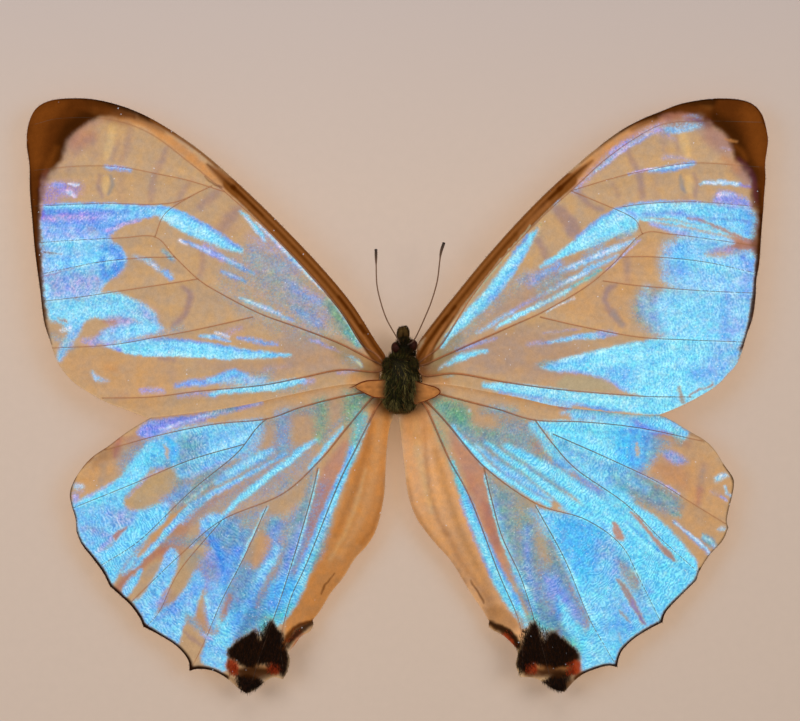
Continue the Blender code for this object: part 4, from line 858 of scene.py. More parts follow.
RIGHT_FOREWING_SHINE = [
    patch("sky", [(664, 242), (660, 255), (660, 268), (666, 280), (690, 290), (690, 240)], 0.66, 6),
    patch("sky", [(680, 240), (674, 248), (671, 256), (671, 266), (675, 276), (684, 285), (702, 292),
                  (752, 300), (757, 256), (746, 251), (722, 257), (706, 254), (733, 243), (722, 239),
                  (700, 237)], 0.96, 3.5),
    patch("haze", [(640, 294), (632, 306), (636, 320), (646, 330), (664, 338), (676, 330), (676, 298),
                   (660, 290)], 0.75, 7),
    patch("sky", [(704, 288), (690, 291), (668, 291), (658, 296), (653, 306), (655, 318), (660, 328),
                  (668, 337), (700, 345), (746, 338), (753, 300)], 0.95, 5),
    patch("cyan", [(541, 368), (555, 362), (575, 357), (600, 350), (620, 345), (661, 338), (700, 334),
                   (747, 335), (742, 352), (737, 364), (728, 374), (716, 386), (697, 398), (677, 408),
                   (660, 414), (640, 413), (650, 402), (640, 395), (625, 391), (615, 384), (600, 377),
                   (580, 372), (560, 371)], 1.0, 2),
    patch("blue", [(670, 246), (680, 243), (688, 250), (690, 262), (686, 276), (678, 280), (670, 272),
                   (667, 260)], 0.40, 6),
    streak("cyan", [(678, 258, 3), (692, 262, 5), (710, 268, 6), (735, 272, 5)], 0.75, 5),
    streak("azure", [(680, 250, 3), (678, 262, 4), (684, 272, 3)], 0.60, 4),
    streak("deep", [(744, 258, 4), (753, 262, 3), (748, 268, 3)], 0.60, 3),
    streak("sky", [(664, 278, 3), (674, 283, 4), (684, 288, 2)], 0.55, 3),
    patch("cyan", [(664, 296), (700, 292), (722, 296), (724, 320), (716, 350), (690, 352), (668, 335)],
          0.55, 8),
    streak("blue", [(727, 292, 3), (725, 310, 3), (724, 328, 2.5)], 0.70, 3.5),
    patch("periwinkle", [(716, 330), (735, 318), (745, 330), (736, 360), (716, 378), (704, 372)], 0.42, 7),
    patch("periwinkle", [(732, 262), (754, 268), (753, 300), (740, 296)], 0.35, 6),
    patch("blue", [(690, 366), (716, 362), (728, 370), (706, 384), (688, 378)], 0.40, 6),
    patch("blue", [(600, 368), (628, 366), (636, 380), (620, 388), (604, 378)], 0.50, 6),
    streak("blue", [(548, 366, 2.5), (570, 362, 3), (585, 358, 2)], 0.45, 3),
    streak("bright", [(560, 361, 1.2), (600, 352, 1.5), (640, 344.5, 1.4)], 0.70, 1.8),
    streak("bright", [(590, 364, 2), (640, 356, 3), (700, 344, 3)], 0.45, 4),
    streak("bright", [(640, 378, 3), (665, 370, 3), (690, 358, 2)], 0.40, 4),
    streak("periwinkle", [(560, 371, 1.5), (590, 374, 1.5), (614, 384, 1.5), (628, 390, 1.5)], 0.55, 2),
    streak("cyan", [(484, 385, 2.5), (498, 387, 4), (520, 389.5, 5), (548, 393, 5.5), (580, 398, 6.5),
                    (615, 403, 7.5), (640, 405, 8.5), (662, 408, 6)], 1.0, 1.6),
    streak("bright", [(492, 385, 1.2), (530, 389, 2), (570, 395, 2.5), (610, 401, 2.5), (640, 402, 2)],
           0.65, 1.8),
    streak("blue", [(500, 392.5, 1), (540, 398, 1.2), (580, 405, 1.4), (620, 411, 1.4)], 0.70, 1.4),
    streak("deep", [(592, 407.5, 0.8), (606, 409.5, 1.2)], 0.80, 1.2),
    patch("cyan", [(540, 268), (552, 258), (564, 249), (575, 240), (590, 228), (605, 216), (622, 208),
                   (640, 205), (660, 203), (700, 203), (722, 205), (745, 207), (757, 213), (757.5, 226),
                   (752, 240), (735, 236), (715, 230), (698, 226), (680, 221), (660, 218), (640, 219),
                   (634, 231), (612, 236), (590, 244), (565, 256)], 0.98, 1.8),
    streak("blue", [(575, 239, 1.4), (598, 221, 1.6), (624, 206.5, 1.4), (660, 202, 1.2), (700, 202, 1)],
           0.75, 1.5),
    streak("bright", [(560, 254, 1.5), (585, 240, 3), (604, 227, 3.5), (624, 216, 3)], 0.60, 3),
    streak("bright", [(636, 209, 2), (660, 206.5, 2.4), (690, 206.5, 2)], 0.60, 2),
    streak("periwinkle", [(618, 214, 2), (630, 213, 2.5), (636, 217, 1.5)], 0.60, 2.5),
    streak("haze", [(618, 238, 2.5), (628, 234, 3), (634, 230, 2)], 0.70, 2.5),
    streak("violet", [(644, 215, 1.5), (656, 214, 2.5), (672, 213, 2), (690, 216, 3), (700, 220, 2.5)],
           0.65, 2.5),
    streak("cyan", [(642, 219.5, 1), (668, 222, 1.3), (692, 226, 1.4), (714, 231, 1.2), (730, 234, 1)],
           0.95, 1.2),
    patch("sky", [(652, 223), (676, 226), (700, 231), (722, 236), (734, 241), (712, 240), (690, 237),
                  (674, 233)], 0.90, 1.8),
    streak("periwinkle", [(650, 223, 1.5), (666, 229, 2), (684, 234, 2)], 0.60, 1.8),
    patch("blue", [(700, 211), (730, 209), (757, 214), (757, 230), (750, 239), (735, 230), (712, 222)],
          0.35, 4),
    streak("indigo", [(706, 219, 0.5), (728, 219.5, 0.7), (746, 221, 0.9), (757, 225, 1.2)], 0.65, 1.3),
    streak("deep", [(744, 212, 2), (755, 217, 2)], 0.45, 2.5),
    streak("sky", [(712, 224, 1.5), (730, 226, 3), (748, 230, 4)], 0.60, 2.5),
    patch("periwinkle", [(713, 203), (716, 193), (722, 190.5), (734, 192), (746, 198), (752, 205),
                         (748, 209), (730, 208)], 0.72, 2.4),
    streak("violet", [(724, 198, 1.5), (738, 201, 2.2), (750, 205, 1.6)], 0.40, 2.5),
    streak("white", [(720, 195, 1.5), (725, 193.5, 1.5), (732, 194.5, 1.5)], 0.55, 1.8),
    streak("lavender", [(574, 192, 1), (590, 175, 2.4), (604, 162, 3.2), (620, 149, 3.6), (640, 135, 3.4),
                        (656, 126, 3.0), (668, 120, 1.6)], 0.62, 4),
    streak("white", [(596, 171, 0.5), (612, 159, 0.7), (630, 146, 0.7), (650, 134, 0.6)], 0.65, 0.9),
    streak("periwinkle", [(600, 168, 0.8), (625, 149.5, 1), (650, 135, 1.2), (664, 128, 1.5)], 0.65, 1.4),
    streak("periwinkle", [(610, 153, 1.5), (620, 146, 2), (628, 141, 1.5)], 0.60, 2),
    patch("sky", [(664, 126), (680, 121.5), (694, 121.5), (705, 124), (701, 129), (688, 130.5), (676, 134),
                  (666, 132)], 0.88, 2),
    streak("blue", [(684, 117, 1.5), (692, 115.5, 2.5), (700, 117, 1.5)], 0.85, 2),
    streak("indigo", [(686, 120, 0.8), (698, 120.5, 1.2), (703, 122, 0.8)], 0.80, 1),
    streak("lavender", [(655, 130, 2.5), (666, 134, 2.5), (674, 140, 1.5)], 0.45, 3),
    streak("lilac", [(628, 174, 0.6), (640, 171, 1), (652, 169.5, 1.2)], 0.90, 1),
    streak("blue", [(650, 171, 1.5), (664, 169.5, 2.6), (678, 167, 3), (694, 163, 2)], 0.85, 1.8),
    streak("white", [(650, 169.5, 0.6), (666, 167.5, 0.9), (684, 165, 0.8)], 0.70, 0.9),
    streak("lavender", [(664, 158, 1.5), (670, 157, 2), (680, 158, 1.5), (690, 160, 1)], 0.60, 2.5),
    streak("lilac", [(722, 147.5, 1), (730, 149, 1.2)], 0.80, 1.4),
    streak("sky", [(701, 183.5, 1), (712, 182.5, 2), (728, 182.5, 2), (740, 184.5, 1.4)], 0.80, 1.4),
    streak("white", [(704, 183.5, 0.6), (714, 182.6, 1), (728, 182.6, 1), (738, 184, 0.7)], 0.95, 0.9),
    streak("violet", [(740, 184.5, 1), (750, 187, 1.6)], 0.75, 1.4),
    streak("white", [(751, 176, 1), (751.5, 182, 1), (750, 185, 0.6)], 0.70, 1.1),
    streak("cyan", [(442, 347, 1), (447, 339, 2), (456, 329, 3.5), (468, 317, 5), (480, 305, 6),
                    (490, 294, 6), (500, 282, 6), (508, 271, 6), (516, 259, 5.5), (525, 246, 4),
                    (533, 235, 2.6), (537, 230, 1.2)], 1.0, 2),
    streak("blue", [(476, 312, 1.5), (490, 300, 2.6), (502, 286, 2), (514, 268, 1.6), (526, 250, 1.4)],
           0.65, 2.2),
    streak("bright", [(452, 331, 1), (470, 313, 1.8), (488, 293, 2), (504, 272, 1.8), (520, 250, 1.4)],
           0.60, 1.6),
    streak("glint", [(458, 311, 0.3), (470, 296, 0.6), (478, 286, 0.3), (484, 279, 0.7), (496, 264, 0.8),
                     (502, 257.5, 0.4), (508, 251, 0.8), (518, 240, 0.8), (524, 233.5, 0.3),
                     (532, 225, 0.8), (540, 217, 0.9), (548, 209, 0.6), (553, 205, 0.3)], 0.90, 0.6),
    streak("teal", [(468, 301, 0.8), (484, 282, 1.2), (502, 262, 1.2)], 0.45, 1.4),
    streak("deep", [(512, 254, 0.8), (520, 245, 1.4), (527, 235, 1.6)], 0.65, 1.2),
    streak("pale", [(541, 224, 1), (538, 232, 1.3), (535, 238, 0.8)], 0.75, 1.2),
    streak("sky", [(554, 204, 1.4), (559, 200, 1)], 0.80, 1.2),
    streak("cyan", [(439, 369, 0.8), (445, 365, 1.5), (452, 361.5, 2.8), (462, 357, 3.2), (474, 353.5, 2.2),
                    (486, 351, 1.2)], 1.0, 1.5),
    streak("periwinkle", [(458, 350, 1.5), (472, 346, 1.8), (486, 341, 1.2), (496, 338, 0.8)], 0.65, 2),
    streak("white", [(440, 367, 0.6), (446, 364, 0.8)], 0.60, 0.9),
    streak("sky", [(476, 333, 0.8), (484, 329, 1.8), (492, 324, 2), (502, 318, 2), (512, 312, 1.8)],
           0.70, 1.8),
    streak("periwinkle", [(512, 312, 1.5), (526, 303, 1.6), (540, 296, 1.8)], 0.60, 2),
    streak("sky", [(538, 297, 1), (556, 287, 2), (576, 277, 2.4), (598, 265, 2.6), (616, 256, 1.6)],
           0.85, 1.6),
    streak("white", [(546, 293, 0.5), (566, 282.5, 0.9), (590, 270, 0.8)], 0.70, 0.9),
    streak("cyan", [(495, 328.5, 0.8), (510, 320, 1.8), (528, 310.5, 2.2), (546, 301.5, 2.4),
                    (562, 294, 1.8), (570, 290, 1)], 1.0, 1.2),
    streak("bright", [(500, 325.5, 0.7), (524, 312.5, 1), (548, 300.5, 1), (566, 292, 0.7)], 0.80, 0.9),
    streak("sea", [(572, 287, 1.4), (586, 279, 1.8), (600, 270.5, 1.2)], 0.80, 1.4),
    streak("white", [(546, 312, 0.6), (560, 305, 0.9), (574, 298, 0.7)], 0.55, 1),
    streak("blue", [(530, 284, 2), (546, 273, 3.5), (560, 264, 3), (552, 262, 2)], 0.70, 3),
    streak("lavender", [(522, 280, 3), (536, 274, 4), (530, 284, 3)], 0.50, 3.5),
    streak("cyan", [(541, 266, 1.2), (556, 257, 1.6), (576, 250, 2), (600, 242, 2), (612, 237, 1)],
           0.75, 1.4),
    streak("sky", [(560, 272, 1.5), (584, 262, 3), (606, 252, 3.4), (622, 246, 2.5), (634, 240, 1.2)],
           0.88, 2),
    streak("white", [(568, 268, 0.6), (594, 256.5, 1), (616, 248, 0.7)], 0.55, 1),
    streak("sky", [(582, 271, 0.8), (600, 261, 1.2), (608, 257, 0.8)], 0.75, 1.2),
    streak("lilac", [(606, 270.5, 0.5), (618, 260, 0.7), (632, 247, 0.7), (640, 240, 0.5)], 0.90, 0.8),
    patch("haze", [(444, 352), (466, 325), (500, 292), (524, 270), (530, 282), (506, 302), (480, 328),
                   (462, 344)], 0.40, 6),
    streak("sky", [(548, 342, 0.8), (562, 340, 1.8), (576, 337, 2.4), (590, 336, 3), (602, 335, 3)],
           0.92, 1.5),
    streak("lavender", [(600, 334, 3.4), (610, 334, 2.4), (616, 334, 1)], 0.75, 2),
    streak("lavender", [(528, 344, 1.5), (540, 343, 2.4), (548, 343, 1.5)], 0.55, 2),
    streak("lavender", [(544, 333, 1), (562, 331, 1), (580, 328.5, 1)], 0.45, 1.4),
    streak("haze", [(536, 366, 1.5), (544, 363, 2.5), (554, 362, 2)], 0.55, 2.5),
    streak("sea", [(444, 377, 0.8), (452, 376, 1)], 0.50, 1.2),
    # Touches over the forms above
    streak("sky", [(512, 398, 1.5), (530, 400.5, 3), (550, 402.5, 4), (568, 405, 3.5)], 0.80, 3),
    streak("haze", [(540, 288, 3), (552, 281, 4), (562, 274, 3)], 0.55, 4),
    streak("deep", [(748, 214, 3), (751, 222, 3.5), (748, 232, 3)], 0.50, 3),
    streak("deep", [(752, 262, 3), (752, 275, 3.5), (751, 288, 3)], 0.45, 3),
    streak("lavender", [(712, 251, 2), (726, 250, 3), (738, 251, 2.5)], 0.75, 2.5),
    streak("mist", [(584, 256, 2), (592, 250, 3.5), (602, 246, 3)], 0.50, 3),
    patch("haze", [(534, 288), (552, 276), (572, 280), (566, 296), (548, 306), (530, 306)], 0.38, 6),
    streak("sky", [(646, 288, 2), (644, 300, 4), (648, 314, 4), (656, 328, 3)], 0.60, 5),
]

RIGHT_FOREWING_BARE = [
    patch("olive", [(566, 376), (590, 376), (604, 380), (616, 388), (606, 391), (570, 390), (556, 384)],
          0.80, 3),
    streak("rose", [(688, 218, 1), (704, 222, 1.6), (720, 228, 2), (738, 236, 2), (750, 240, 1.5)],
           0.75, 1.8),
    streak("violet", [(676, 232, 2), (690, 234, 2.5)], 0.35, 3),
    streak("grey", [(679, 387, 1.5), (680, 394, 2), (683, 402, 1.8)], 0.80, 1.6),
    streak("rose", [(690, 396, 1.4), (698, 390, 1.4), (706, 388, 1), (713, 384, 1.6)], 0.75, 1.6),
    streak("grey", [(728, 340, 1.2), (733, 348, 1.2)], 0.35, 2),
    # The dark tip
    patch("mauve", [(694, 122), (708, 127), (722, 134), (732, 144), (735, 156), (744, 166), (754, 178),
                    (748, 186), (738, 176), (726, 164), (716, 152), (702, 138)], 0.55, 7),
    patch("border", [(694, 108), (703, 112), (706, 119), (713, 125), (722, 131), (729, 139), (733, 149),
                     (735, 160), (742, 164), (749, 170), (752, 182), (753, 196), (756, 207), (758, 215),
                     (757.5, 240), (756.5, 256), (754, 280), (752.5, 300), (749.5, 320), (744, 337),
                     (740, 350), (775, 330), (790, 200), (785, 95), (720, 80), (640, 100), (636, 122),
                     (662, 113), (680, 109)], 1.0, 3.5),
    patch("border_light", [(748, 103), (762, 114), (768, 140), (766, 164), (758, 164), (752, 150),
                           (748, 130), (740, 112)], 0.75, 8),
    streak("border_dark", [(696, 106, 4), (706, 111, 5), (718, 119, 6), (730, 129, 6.5), (738, 142, 6),
                           (742, 156, 5), (750, 168, 4.5), (756, 180, 3)], 0.80, 6),
    streak("border_dark", [(759, 190, 2), (761, 215, 1.5), (759, 250, 1.5)], 0.7, 2.5),
    streak("plum", [(738, 160, 2), (750, 172, 2.5), (754, 186, 3), (755, 204, 2.5)], 0.60, 3.5),
    streak("orange", [(726, 139.5, 0.8), (731, 140, 1.4), (737, 141, 0.8)], 0.60, 1.6),
    # The brown band of the front margin
    rim_streak("costa", RIGHT_FOREWING[0], 0, 62, (8.6, 6.4), (9.0, 6.8)),
    rim_streak("costa", RIGHT_FOREWING[0], 56, 236, (6.2, 6.8), (6.6, 7.2)),
    rim_streak("costa", RIGHT_FOREWING[0], 228, 266, 6.8, (6.8, 1.0), 0.9, 2.4),
    rim_streak("costa_light", RIGHT_FOREWING[0], 4, 60, (13.5, 10.6), (2.6, 1.4), 0.45, 2.0),
    rim_streak("costa_light", RIGHT_FOREWING[0], 56, 215, 10.4, 1.2, 0.40, 1.8),
    rim_streak("costa_light", RIGHT_FOREWING[0], 10, 252, 3.5, 0.9, 0.45, 1.5),
    rim_streak("costa_dark", RIGHT_FOREWING[0], 44, 64, 7.4, (1.2, 1.4), 0.90, 1.8),
    rim_streak("costa_dark", RIGHT_FOREWING[0], 60, 200, 6.8, 0.9, 0.75, 2.0),
    rim_streak("costa_dark", RIGHT_FOREWING[0], 186, 224, 6.4, (0.6, 2.2), 0.90, 1.6),
    rim_streak("costa_dark", RIGHT_FOREWING[0], 222, 258, 6.2, (2.2, 0.2), 0.90, 1.6),
    rim_streak("costa_dark", RIGHT_FOREWING[0], 0, 330, 1.4, 0.4, 0.45, 0.9),
    rim_streak("costa_dark", RIGHT_FOREWING[0], 10, 200, (14.5, 12.8), 0.4, 0.50, 0.9),
    rim_streak("costa", RIGHT_FOREWING[0], 255, 330, 1.5, (0.6, 3.0), 0.55, 1.8),
    rim_streak("costa_dark", RIGHT_FOREWING[0], 306, 350, 0.6, (0.6, 3.4), 0.85, 1.8),
    rim_streak("costa", RIGHT_FOREWING[0], 318, 396, 5.0, (1.2, 8.5), 0.85, 4.0),
    rim_streak("border_dark", RIGHT_FOREWING[0], 334, 404, 1.5, (2.0, 6.0), 0.90, 3.0),
    streak("edge", [(762, 215, 1.4), (760, 240, 1.6), (757.5, 262, 1.8), (755.5, 285, 2.2), (753, 305, 2.2),
                    (749, 325, 1.8), (744, 342, 1.4), (739, 356, 0.9)], 0.85, 1.4),
    streak("edge", [(600, 145.5, 0.6), (640, 119.5, 0.9), (668, 108.5, 1.2), (690, 101.5, 1.3),
                    (710, 99, 1.3), (740, 99.4, 1.0), (757, 107, 0.8), (766, 127, 0.6)], 0.85, 1.2),
    # Touches over the forms above
    streak("border", [(664, 110, 2), (680, 109, 4), (694, 110, 5.5), (706, 114, 6)], 0.75, 3.5),
    streak("plum", [(690, 119, 1.5), (701, 121, 3), (710, 126, 3)], 0.60, 4),
    streak("border", [(757, 205, 2), (757, 222, 3), (755, 240, 4.5), (756, 252, 3)], 0.65, 3.5),
    streak("costa_light", [(520, 232, 1.5), (534, 217, 3), (548, 204, 2.5)], 0.55, 3),
    streak("membrane", [(592, 263, 1), (604, 259, 2), (614, 254, 1)], 0.50, 2.5),
    patch("base", [(410, 356), (422, 352), (432, 358), (440, 367), (437, 377), (426, 383), (410, 382)],
          0.60, 8),
    patch("base", [(410, 356), (418, 355), (426, 362), (428, 371), (424, 380), (410, 382)], 0.80, 5),
    streak("costa_dark", [(415.5, 362, 1.0), (420.4, 353.9, 1.3), (425.5, 345.7, 1.5), (431.6, 337, 1.6),
                          (440.8, 323.8, 1.6), (447, 316, 1.2)], 0.85, 1.4),
    streak("costa_dark", [(430.6, 361, 0.5), (432.7, 352.3, 0.8), (438.8, 338.6, 0.8), (446, 328.4, 0.7),
                          (454, 316.6, 0.5)], 0.65, 1.2),
    patch("blush", [(660, 117), (676, 113), (692, 117), (692, 125), (674, 129), (660, 125)], 0.50, 4),
    streak("costa_light", [(445.9, 322.8, 0.6), (435.7, 338.6, 0.9), (428.6, 350.8, 1.0),
                           (424.5, 360, 0.6)], 0.75, 1.1),
    streak("olive", [(425, 338, 0.6), (421.5, 343, 1.6), (419, 348, 0.8)], 0.45, 1.6),
    streak("costa_dark", [(444.5, 310, 0.4), (433.4, 324.8, 0.6), (423, 337.5, 0.6), (418.5, 343.5, 0.6),
                          (416.3, 352, 0.6)], 0.60, 0.9),
    patch("plum", [(662, 115), (678, 113), (694, 116), (708, 120), (706, 127), (690, 126), (672, 127)],
          0.34, 4),
    streak("border", [(668, 111, 2), (682, 110, 3), (694, 111, 3)], 0.55, 3),
    patch("mauve", [(532, 292), (552, 282), (566, 286), (560, 298), (544, 306), (530, 306)], 0.30, 5),
    streak("border", [(752, 190, 2), (753, 202, 3), (752, 214, 2)], 0.40, 3.5),
    streak("mauve", [(676, 204, 3), (684, 199, 3)], 0.40, 4),
    streak("orange", [(724, 158, 3), (731, 162, 4), (738, 170, 3)], 0.45, 4),
    streak("mauve", [(732, 362, 3), (742, 361, 4), (748, 356, 3)], 0.40, 4),
    streak("glint", [(447, 334, 0.5), (462, 312, 0.8), (485, 280, 0.8), (510, 250, 0.9), (530, 226, 0.6)],
           0.50, 1.1),
    patch("moss", [(434, 352), (448, 352), (456, 362), (452, 376), (438, 378), (430, 366)], 0.40, 6),
    streak("border_light", [(736, 146, 2), (742, 152, 3), (746, 160, 2)], 0.50, 3),
]

LEFT_HINDWING_PIGMENT = [
    patch("mauve", [(300, 400), (360, 392), (340, 430), (300, 470), (262, 500), (240, 500), (260, 460),
                    (270, 425)], 0.25, 14),
    patch("warm", [(70, 482), (96, 456), (112, 446), (120, 462), (104, 482), (84, 492)], 0.50, 10),
    patch("border_light", [(92, 458), (106, 448), (112, 444), (118, 450), (104, 462), (92, 468)], 0.35, 6),
    streak("rose", [(119, 440, 4), (117, 448, 4), (115, 456, 2)], 0.80, 4),
    patch("rose", [(122, 438), (140, 433), (146, 440), (130, 446)], 0.45, 4),
    streak("grey", [(103, 466, 3), (101, 485, 2)], 0.45, 4),
    patch("olive", [(124, 496), (150, 472), (180, 466), (210, 470), (196, 492), (160, 496), (136, 510)],
          0.35, 8),
    patch("grey", [(118, 452), (138, 446), (150, 444), (132, 462), (120, 466)], 0.35, 6),
    streak("pale", [(164, 446, 3), (166, 452, 4), (167, 460, 3)], 0.90, 2.5),
    patch("rose", [(186, 505), (230, 492), (262, 478), (240, 490), (212, 506), (190, 528), (180, 560),
                   (166, 566), (160, 548), (176, 524)], 0.50, 5),
    patch("rose", [(112, 590), (128, 570), (150, 552), (172, 540), (166, 552), (146, 566), (130, 582),
                   (120, 594)], 0.70, 4),
    patch("grey", [(186, 540), (200, 536), (208, 552), (206, 568), (196, 572), (186, 564)], 0.40, 6),
    streak("pale", [(196, 545, 3), (205, 549, 4), (211, 556, 3), (214, 566, 2)], 0.85, 3),
    patch("olive", [(178, 560), (192, 550), (196, 566), (186, 590), (176, 600), (172, 588)], 0.55, 5),
    streak("mauve", [(172, 596, 4), (164, 606, 4), (158, 616, 2)], 0.80, 4),
    patch("orange", [(192, 604), (204, 616), (208, 630), (216, 634), (210, 640), (196, 626)], 0.45, 4),
    streak("mauve", [(186, 644, 2), (196, 640, 2)], 0.55, 3),
    patch("blush", [(228, 590), (246, 584), (250, 590), (234, 612), (228, 626), (222, 622), (226, 604)],
          0.60, 5),
    patch("grey", [(240, 560), (256, 545), (262, 556), (250, 588), (238, 590)], 0.40, 6),
    streak("mauve", [(276, 570, 4), (268, 590, 5), (260, 610, 5), (256, 626, 3)], 0.50, 5),
    patch("blush", [(322, 470), (344, 440), (352, 452), (340, 480), (326, 505), (310, 545), (296, 572),
                    (292, 560), (304, 530), (314, 500)], 0.75, 5),
    patch("rose", [(312, 500), (322, 480), (332, 488), (322, 516), (308, 540), (306, 524)], 0.45, 5),
    patch("mauve", [(268, 548), (282, 545), (294, 552), (284, 578), (276, 600), (268, 610), (270, 580)],
          0.35, 6),
    patch("amber", [(352, 386), (360, 382), (370, 381), (382, 381), (382, 396), (372, 396), (360, 391)],
          0.85, 2.5),
    streak("border_light", [(380, 402, 2), (366, 406, 2.5), (352, 408, 1)], 0.40, 4),
    patch("orange", [(378, 396), (390, 400), (389, 440), (386, 470), (384, 500), (378, 526), (368, 545),
                     (355, 560), (343, 579), (330, 595), (313, 622), (296, 628), (286, 640), (286, 618),
                     (300, 598), (318, 560), (334, 520), (348, 480), (362, 440), (370, 412)], 1.0, 3.5),
    streak("warm", [(380, 410, 3), (378, 440, 4), (372, 480, 4), (360, 520, 4), (340, 556, 3)], 0.60, 4),
    streak("border_light", [(371, 424, 1.5), (366, 450, 3), (352, 495, 3), (336, 535, 2)], 0.30, 4),
    streak("border_light", [(386, 470, 1), (382, 500, 2), (374, 525, 2.5), (362, 543, 2)], 0.35, 3.5),
    streak("pale", [(366, 470, 1), (356, 505, 2), (344, 535, 2), (330, 560, 1.5)], 0.45, 3),
    streak("border", [(334, 574, 0.5), (328, 582, 0.9), (323, 589, 1), (320.6, 595, 0.7)], 0.75, 1),
    streak("mauve", [(376, 404, 3), (374, 414, 3)], 0.30, 4),
]

